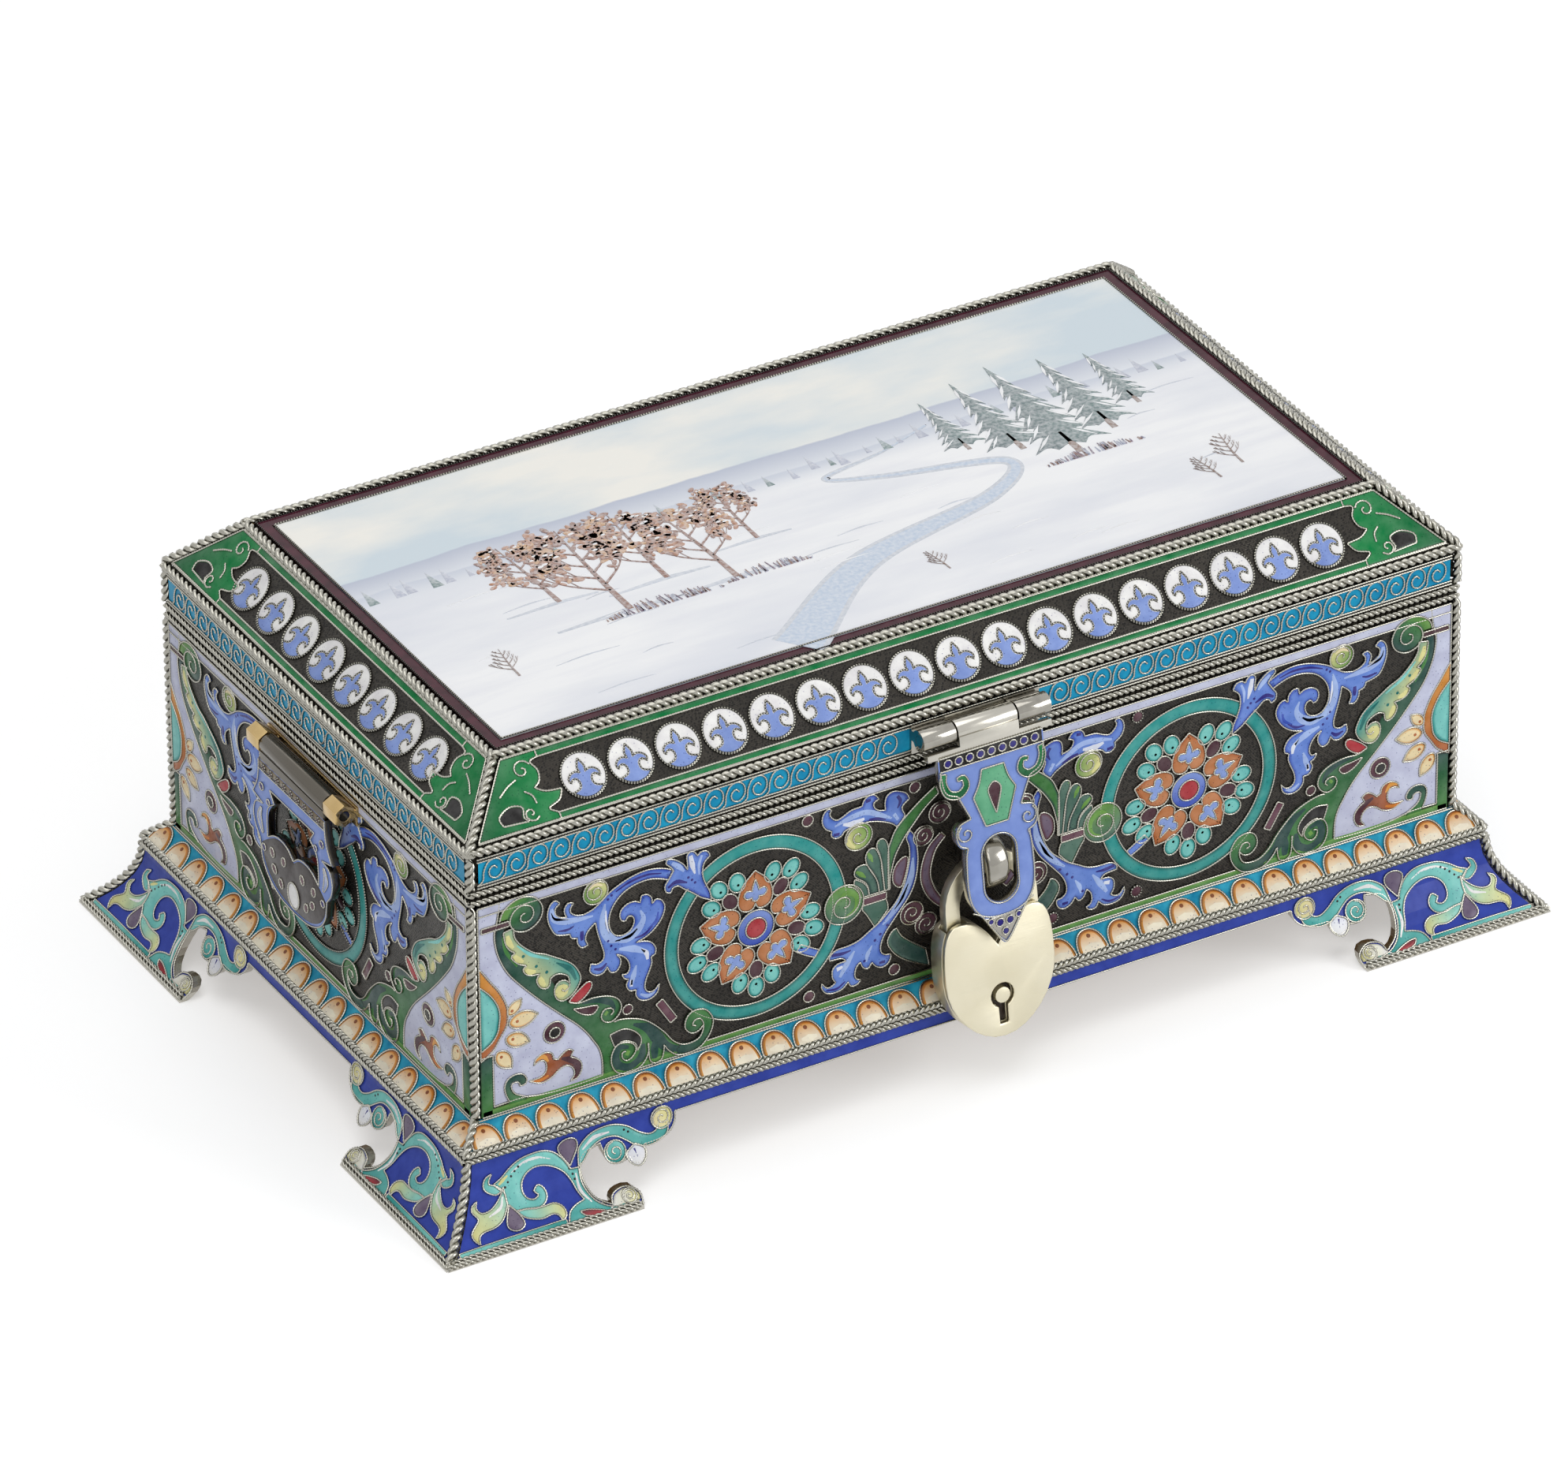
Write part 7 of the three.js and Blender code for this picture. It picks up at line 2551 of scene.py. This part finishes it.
    def build(self, bench: Bench) -> None:
        """Builds the feet's ornament on every side.

        Args:
            bench: The maker's bench.
        """
        top = SkirtFace(FRONT).arc(np.array([SIZES.skirt_height]))[0]
        for side in SIDES:
            face = SkirtFace(side)
            foot = self.foot(-side.run - SIZES.foot_flare)
            drawing = Drawing(wire_radius=SLIM_WIRE).add(foot, foot.mirrored())
            for flip in (-1, 1):
                path = self.edge_path(side.run)
                edge = np.column_stack((flip * path[:, 0], face.arc(path[:, 1]) + 0.12))
                drawing.line(edge, 0.02, MEDIUM_WIRE)
            strip = face.arc(np.array([SIZES.skirt_height - self.strip_depth]))[0] + 0.15
            drawing.level(side.run + SIZES.foot_flare - self.foot_reach, strip, 0.02, MEDIUM_WIRE)
            drawing.level(side.run + SIZES.ledge_reach - 0.6, top - 0.25, 0.06, 0.24)
            bench.ornament(f"skirt_{side.name}", drawing, face, Body.CASKET, "skirt_enamel")
            bench.dress_node(f"skirt_{side.name}", "skirt")
            self._bottom_ropes(bench, side)

    def _bottom_ropes(self, bench: Bench, side: Side) -> None:
        """Winds the rope along the bottom edges of a side's two feet.

        Args:
            bench: The maker's bench.
            side: The side.
        """
        face, steps = SkirtFace(side), self.rope_steps
        corner = side.run + SIZES.foot_flare
        along = np.linspace(corner - self.rope_start, corner - self.rope_end, steps)
        for name, radius, up, lift in (("foot_rope", 0.44, 0.62, 0.2), ("foot_edge_rope", 0.4, 1.22, 0.12)):
            paths = []
            for flip in (-1, 1):
                flat = np.column_stack((flip * along, np.full(steps, up)))
                paths.append(face.place(flat, np.full(steps, lift)) / MM)
            bench.rope(f"{name}_{side.name}", paths, radius, self.rope_pitch, Body.CASKET)


@dataclass
class Ropes:
    """The twisted wires along the casket's edges, in place of the frame's plain rods."""

    pitch: float = 2.7
    pitch_radius: float = 0.75
    braid_radius: float = 0.58
    braid_pitch: float = 0.7
    braid_out: float = 0.2

    @staticmethod
    def _loop(x: float, y: float, z: float) -> list[np.ndarray]:
        """Gives the four sides of a level ring."""
        corners = np.array([(-x, -y, z), (x, -y, z), (x, y, z), (-x, y, z), (-x, -y, z)])
        return [corners[i:i + 2] for i in range(4)]

    def ring(self, bench: Bench, node: str, body: Body) -> None:
        """Winds a rope round the body, one side after another, in place of a ring-shaped rod.

        Args:
            bench: The maker's bench.
            node: The rod's node.
            body: The body it rides on.
        """
        low, high = (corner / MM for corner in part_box(node))
        half = (high.z - low.z) / 2
        paths = self._loop(high.x - half, high.y - half, (high.z + low.z) / 2)
        radius = half / OCTAGON
        bench.rope(f"{node}_twist", paths, radius, self.pitch * radius / self.pitch_radius, body, node)

    def braid(self, bench: Bench, node: str, body: Body) -> None:
        """Lays two ropes of opposite twist one over the other, in place of a ring-shaped rod.

        Args:
            bench: The maker's bench.
            node: The rod's node.
            body: The body it rides on.
        """
        low, high = (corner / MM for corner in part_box(node))
        half, middle = (high.z - low.z) / 2, (low.z + high.z) / 2
        x, y = high.x - half + self.braid_out, high.y - half + self.braid_out
        paths = [path for way in (-1, 1) for path in self._loop(x, y, middle + way * self.braid_radius)]
        bench.rope(f"{node}_twist", paths, self.braid_radius, self.pitch * self.braid_pitch, body, node,
                   hands=(1,) * 4 + (-1,) * 4)

    def straight(self, bench: Bench, node: str, path: np.ndarray, body: Body, radius: float) -> None:
        """Winds a rope along a path in place of a rod."""
        bench.rope(f"{node}_twist", [path], radius, self.pitch, body, node)

    def build(self, bench: Bench) -> None:
        """Builds every rope.

        Args:
            bench: The maker's bench.
        """
        self.braid(bench, "ledge_rope", Body.CASKET)
        for node, body in (("rim_rope", Body.CASKET), ("lid_rim_rope", Body.LID), ("slope_rope", Body.LID),
                           ("top_rope", Body.LID)):
            self.ring(bench, node, body)
        panel_low, panel_high = (corner.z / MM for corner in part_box("frieze_panel_front"))
        for name, (sx, sy) in CORNERS.items():
            low, high = (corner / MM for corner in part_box(f"corner_rope_{name}"))
            middle = (low + high) / 2
            radius = (high.x - low.x) / 2 / OCTAGON
            upright = np.array([(middle.x, middle.y, low.z), (middle.x, middle.y, high.z)])
            self.straight(bench, f"corner_rope_{name}", upright, Body.CASKET, radius)
            x, y, inset = SIZES.half_length, SIZES.half_depth, SIZES.slope_inset
            hip = np.array([(sx * x, sy * y, SIZES.slope_bottom),
                            (sx * (x - inset + 0.4), sy * (y - inset + 0.4), SIZES.lid_top - 0.3)])
            self.straight(bench, f"hip_rope_{name}", hip, Body.LID, radius)
            heights = np.linspace(SIZES.skirt_height, 0.75, 16)
            out = SIZES.flare(heights)
            flare = np.column_stack((sx * (x + out), sy * (y + out), heights))
            self.straight(bench, f"skirt_rope_{name}", flare, Body.CASKET, radius)
            band = np.array([(sx * (x + SIZES.ledge_reach), sy * (y + SIZES.ledge_reach), SIZES.base_top),
                             (sx * x, sy * y, SIZES.wall_bottom + 0.3)])
            bench.rope(f"band_rope_{name}", [band], radius * 0.9, self.pitch, Body.CASKET)
            edge = np.array([(middle.x, middle.y, panel_low), (middle.x, middle.y, panel_high)])
            bench.rope(f"frieze_rope_{name}", [edge], radius, self.pitch, Body.LID)


@dataclass
class Hasp:
    """The hasp: softened plate with enamel fields, and its hinge on the lid."""

    axis_out: float = 2.6
    axis_up: float = 59.4
    stand: float = 1.85
    lean: float = HASP_LEAN

    @property
    def face(self) -> LeaningFace:
        """The front of the hanging plate."""
        return LeaningFace(FRONT, self.axis_out, self.axis_up, self.stand, self.lean)

    def drawing(self) -> Drawing:
        """Draws the hasp's fields.

        Returns:
            The drawing.
        """
        d = Drawing(wire_radius=SLIM_WIRE, lift=0.05)
        d.plain("-8.7,-4.9 8.7,-4.9 8.7,-2.9 -8.7,-2.9", Tint.BLACK, wired=False)
        for up in (-2.85, -4.95):
            d.level(8.7, up, 0.1, MEDIUM_WIRE)
        for along in row(9, 1.84):
            d.disc(along, -3.9, 0.66, Tint.INK, lift=0.14)
        half = Drawing(wire_radius=SLIM_WIRE, lift=0.05)
        half.ribbon("-8.2,-5.4 -8.4,-7 -7.6,-8.8 -5.8,-9.3 -4.6,-8.2 -5,-6.8 -6,-6.9",
                    (0.9, 1.1, 1.2, 1.2, 1.1, 0.9, 0.6),
                    Tint.BOTTLE, Tint.EMERALD, lift=0.1)
        half.coil(-5.25, -15.9, 1.55, 1.25, 120, 1, 0.12)
        half.trail("-8.75,-5 -8.1,-8.4 -6.1,-9.6! -4.25,-13.7! -6.2,-14.3 -6.85,-15.8 -6.4,-17.5 "
                   "-5.1,-18.2! -5.5,-20 -5.6,-24.8 -5.05,-27.8 -3.45,-30.1! -0.95,-33.9 0,-34.85", 0.04)
        half.disc(-2.35, -31, 0.5, Tint.INK, lift=0.12)
        half.disc(-0.85, -31.5, 0.68, Tint.INK, lift=0.12)
        d.add(half, half.mirrored())
        d.blob("-1.9,-6.4! 1.9,-6.4! 2.5,-8.6 3.6,-10.6! 1.9,-15.6! -1.9,-15.6! -3.6,-10.6! -2.5,-8.6",
               Tint.MINT, lift=0.1)
        d.blob("0,-8.8 1.05,-9.8 0.8,-11.4 0,-13.9! -0.8,-11.4 -1.05,-9.8", Tint.MAROON, lift=0.16)
        d.disc(0, -33.1, 0.6, Tint.INK, lift=0.12)
        slot = np.vstack((circle_points(0, -20.3, 3.0, 3.0, count=32)[:17],
                          circle_points(0, -25.5, 3.0, 3.0, count=32)[16:]))
        d.line(slot, 0.03, closed=True)
        d.trail("-5.2,-28.8 -2.6,-30.1 0,-30.4 2.6,-30.1 5.2,-28.8", 0.06)
        return d

    def build(self, bench: Bench) -> None:
        """Builds the hasp, its hinge and the staple.

        Args:
            bench: The maker's bench.
        """
        bench.softened("hasp", Body.HASP, "mount_enamel", "hasp", 0.15)
        bench.ornament("hasp", self.drawing(), self.face, Body.HASP, "mount_enamel")
        tip = Drawing(lift=0.02)
        tip.blob("-3.4,-30.25! 0,-30.5 3.4,-30.25! 0.95,-33.85! 0,-34.75! -0.95,-33.85!",
                 Tint.WHITE, wired=False)
        piece = bench.enamel.build("hasp_tip", tip, self.face)
        bench.settle(piece, Body.HASP, "silver_fittings", "silver")
        bench.softened("hasp_leaf", Body.LID, "silver_fittings", "silver", 0.15)
        bench.softened("staple", Body.CASKET, "silver_fittings", "silver", 0.2)
        bench.dress_node("hasp_pin", "silver")


@dataclass
class Padlock:
    """The heart-shaped padlock with its shackle."""

    axis_out: float = 3.4
    axis_up: float = 36.3
    stand: float = 0.9
    lean: float = HASP_LEAN
    keyhole_up: float = -21.6

    def build(self, bench: Bench) -> None:
        """Builds the padlock from softened copies of its solids, with a dark sheet of painted shadow on the
        floor of its keyhole.

        Args:
            bench: The maker's bench.
        """
        # Painted shadow: a dark brown ring and slot laid in the keyhole, where the deep hole is in shade.
        d = Drawing(lift=0.0)
        d.ring(0, self.keyhole_up, 1.88, 1.32, Tint.SHADOW_BROWN)
        low, high = self.keyhole_up - 4.5, self.keyhole_up - 1.6
        d.plain(f"-0.7,{low} 0.7,{low} 0.7,{high} -0.7,{high}", Tint.SHADOW_BROWN)
        face = LeaningFace(FRONT, self.axis_out, self.axis_up, self.stand, self.lean)
        bench.settle(bench.enamel.build("keyhole_shadow", d, face), Body.PADLOCK, "lock_gold", "cells")
        bench.softened("lock_front_plate", Body.PADLOCK, "lock_gold", "lock", 0.22)
        bench.softened("lock_body", Body.PADLOCK, "lock_gold", "lock", 0.16)
        bench.softened("shackle", Body.SHACKLE, "lock_gold", "lock", 0.3)
        bench.dress_node("shackle_pin", "lock")


@dataclass
class Handles:
    """The drop handles on the ends."""

    axis_up: float = 51.4
    stand: float = 4.0

    def drop(self, text: str) -> str:
        """Moves a path that counts from the axis to heights above the floor."""
        return write_path((x, self.axis_up + y, sharp) for x, y, sharp in parse_path(text))

    def drawing(self) -> Drawing:
        """Draws the fields of a drop handle, counted up from the floor.

        Returns:
            The drawing.
        """
        d, half = (Drawing(wire_radius=FINE_WIRE, lift=0.04) for _ in range(2))
        half.trail(self.drop("-10.2,-2.3 -10.2,-3.4 -10.7,-6.2 -12.2,-8.9! -9.1,-9.6! -11.4,-10.3 "
                             "-12.2,-12.4 -11.7,-14.4 -10.3,-16.2! -9.7,-19.4 -7.7,-21.9 -4.4,-23.4 "
                             "0,-23.85"), 0.03)
        half.trail(self.drop("0,-6.05 -6.9,-6.05! -5.55,-7.9! -7.5,-9.5 -7.95,-11.9 -7.9,-14.75! "
                             "-5.85,-13.5 -3.75,-13.1 -1.7,-13.5 0,-14.75"), 0.03)
        for x, up, size in ((-9.3, -6.7, 0.62), (-7.3, -8.4, 0.5), (-9.1, -17.1, 0.6)):
            half.disc(x, self.axis_up + up, size, Tint.INK, lift=0.12)
        half.ribbon(self.drop("-9.7,-10.6 -10.3,-12.4 -9.4,-14.8"), (0.4, 1.3, 0.4), Tint.LAVENDER,
                    Tint.BLUE_WHITE, lift=0.06)
        for x, up, turn in ((-5.9, -19.2, 40), (-3.9, -20.7, 25), (-6.4, -16.6, 20), (-2.9, -16.4, -20)):
            half.oval(x, self.axis_up + up, 0.62, 0.82, turn, Tint.MAROON, lift=0.16, heart=Tint.MULBERRY)
        d.add(half, half.mirrored())
        d.blob(self.drop("-9.9,-16.6! -8,-15.2 -5.85,-13.9 -3.75,-13.5 -1.7,-13.9 0,-15.1! 1.7,-13.9 "
                         "3.75,-13.5 5.85,-13.9 8,-15.2 9.9,-16.6! 9.3,-19.3 7.4,-21.5 4.2,-23 0,-23.4 "
                         "-4.2,-23 -7.4,-21.5 -9.3,-19.3"),
               Tint.SMOKE, Tint.SMOKE, lift=0.06, wired=False)
        d.oval(0, self.axis_up - 20.7, 1.75, 2.2, 0, Tint.WHITE, lift=0.2, heart=Tint.WHITE)
        d.plain(self.drop("-10.1,-3.75 10.1,-3.75 10.1,-2.3 -10.1,-2.3"), Tint.TAUPE, lift=0.04, wired=False)
        d.level(10.1, self.axis_up - 3.85, 0.06)
        for along in row(9, 2.1):
            d.disc(along, self.axis_up - 3.0, 0.5, Tint.MAROON, lift=0.12)
        return d

    def build(self, bench: Bench) -> None:
        """Builds both handles.

        Args:
            bench: The maker's bench.
        """
        for side, body in ((LEFT, Body.HANDLE_LEFT), (RIGHT, Body.HANDLE_RIGHT)):
            node = f"handle_{side.name}"
            bench.softened(node, body, "mount_enamel", "handle", 0.15)
            bench.ornament(node, self.drawing(), StandingFace(side, self.stand), body, "mount_enamel")
            bench.softened(f"handle_bracket_{side.name}", Body.CASKET, "gilt_fittings", "fitting_gilt", 0.2)
            bench.dress_node(f"handle_pin_{side.name}", "steel")


@dataclass
class Cases:
    """The box inside the panels, the base plate and the rear hinge."""

    def build(self, bench: Bench) -> None:
        """Dresses the solids that the ornament sits on.

        Args:
            bench: The maker's bench.
        """
        for node in ("body_case", "lid_shell", "base_plate"):
            bench.dress_node(node, "case")
        bench.softened("hinge_leaf_body", Body.CASKET, "silver_fittings", "silver", 0.12)
        bench.softened("hinge_leaf_lid", Body.LID, "silver_fittings", "silver", 0.12)
        bench.dress_node("hinge_pin", "silver")


@dataclass
class Studio:
    """White floor, soft lamps and the camera at the photograph's view."""

    image_width: float = 1988.0
    azimuth: float = -29.7735
    elevation: float = 31.9522
    roll: float = -0.4781
    distance: float = 1.941894
    focal_pixels: float = 16456.34
    target: tuple[float, float, float] = (-0.0049612, 0.0, 0.0317364)
    lamps_aim: tuple[float, float, float] = (0.0, 0.0, 0.03)
    floor_size: float = 3.0
    floor_glow: float = 0.4
    surround_light: float = 0.28

    def build(self) -> None:
        """Sets the floor, the light and the camera."""
        self._floor()
        self._lights()
        self._camera()
        bpy.context.scene.view_settings.view_transform = "Standard"

    @staticmethod
    def _seen(sheet: NodeSheet) -> bpy.types.NodeSocket:
        """Gives 1 for what is looked at, also in a mirror or through glass, and 0 for what only sheds light.

        Args:
            sheet: The node sheet.

        Returns:
            The mask.
        """
        rays = sheet.add("ShaderNodeLightPath").outputs
        mirrored = sheet.math("MAXIMUM", rays["Is Glossy Ray"], rays["Is Transmission Ray"])
        return sheet.math("MAXIMUM", rays["Is Camera Ray"], mirrored)

    def _floor(self) -> None:
        """Lays a plain white floor."""
        shape = bmesh.new()
        bmesh.ops.create_grid(shape, x_segments=1, y_segments=1, size=self.floor_size)
        mesh = bpy.data.meshes.new("floor")
        shape.to_mesh(mesh)
        shape.free()
        floor = link_object("floor", mesh)
        material = bpy.data.materials.new("floor_white")
        material.use_nodes = True
        sheet = NodeSheet(material.node_tree)
        glow = sheet.product(self._seen(sheet), self.floor_glow)
        shader = sheet.add("ShaderNodeBsdfPrincipled", {
            "Base Color": (0.9, 0.9, 0.9, 1.0), "Roughness": 0.9, "Specular IOR Level": 0.0,
            "Emission Color": (1.0, 1.0, 1.0, 1.0), "Emission Strength": glow})
        sheet.add("ShaderNodeOutputMaterial", {"Surface": shader.outputs["BSDF"]})
        mesh.materials.append(material)

    def _lights(self) -> None:
        """Hangs soft lamps and a pale surround."""
        world = bpy.data.worlds.new("surround")
        world.use_nodes = True
        sheet = NodeSheet(world.node_tree)
        strength = sheet.span(self._seen(sheet), 0, 1, self.surround_light, 1.0)
        light = sheet.add("ShaderNodeBackground", {"Color": (1.0, 1.0, 1.0, 1.0), "Strength": strength})
        sheet.add("ShaderNodeOutputWorld", {"Surface": light.outputs["Background"]})
        bpy.context.scene.world = world
        for name, place, size, power in (("lamp_above", (-0.15, -0.1, 1.1), 1.0, 4.7),
                                         ("lamp_left", (-0.9, -0.8, 0.7), 0.7, 2.1),
                                         ("lamp_right", (0.8, -0.9, 0.45), 0.6, 6.2),
                                         ("lamp_back", (0.3, 1.0, 0.7), 0.8, 1.6)):
            lamp = bpy.data.lights.new(name, "AREA")
            lamp.size = size
            lamp.energy = power
            holder = link_object(name, lamp)
            holder.location = place
            aim = Vector(self.lamps_aim) - Vector(place)
            holder.rotation_euler = aim.to_track_quat("-Z", "Y").to_euler()

    def _camera(self) -> None:
        """Sets the camera that was solved from the photograph."""
        a, e, r = (math.radians(value) for value in (self.azimuth, self.elevation, self.roll))
        back = Vector((math.sin(a) * math.cos(e), -math.cos(a) * math.cos(e), math.sin(e)))
        right = Vector((math.cos(a), math.sin(a), 0.0))
        above = back.cross(right)
        turned_right = math.cos(r) * right + math.sin(r) * above
        turned_above = -math.sin(r) * right + math.cos(r) * above
        data = bpy.data.cameras.new("camera")
        data.sensor_fit = "HORIZONTAL"
        data.sensor_width = 36.0
        data.lens = self.focal_pixels / self.image_width * data.sensor_width
        data.clip_start = 0.1
        camera = link_object("camera", data)
        place = Vector(self.target) + back * self.distance
        axes = Matrix((turned_right, turned_above, back)).transposed().to_4x4()
        camera.matrix_world = Matrix.Translation(place) @ axes
        bpy.context.scene.camera = camera


def main() -> None:
    """Builds every part of the casket's looks, then the studio."""
    logging.basicConfig(level=logging.INFO, format="%(name)s %(message)s")
    bench = Bench()
    for part in (Cases(), Walls(), BeadBand(), Frieze(), Slopes(), Plaque(), Skirts(), Ropes(), Hasp(),
                 Padlock(), Handles()):
        part.build(bench)
    Studio().build()


if __name__ == "__main__":
    main()
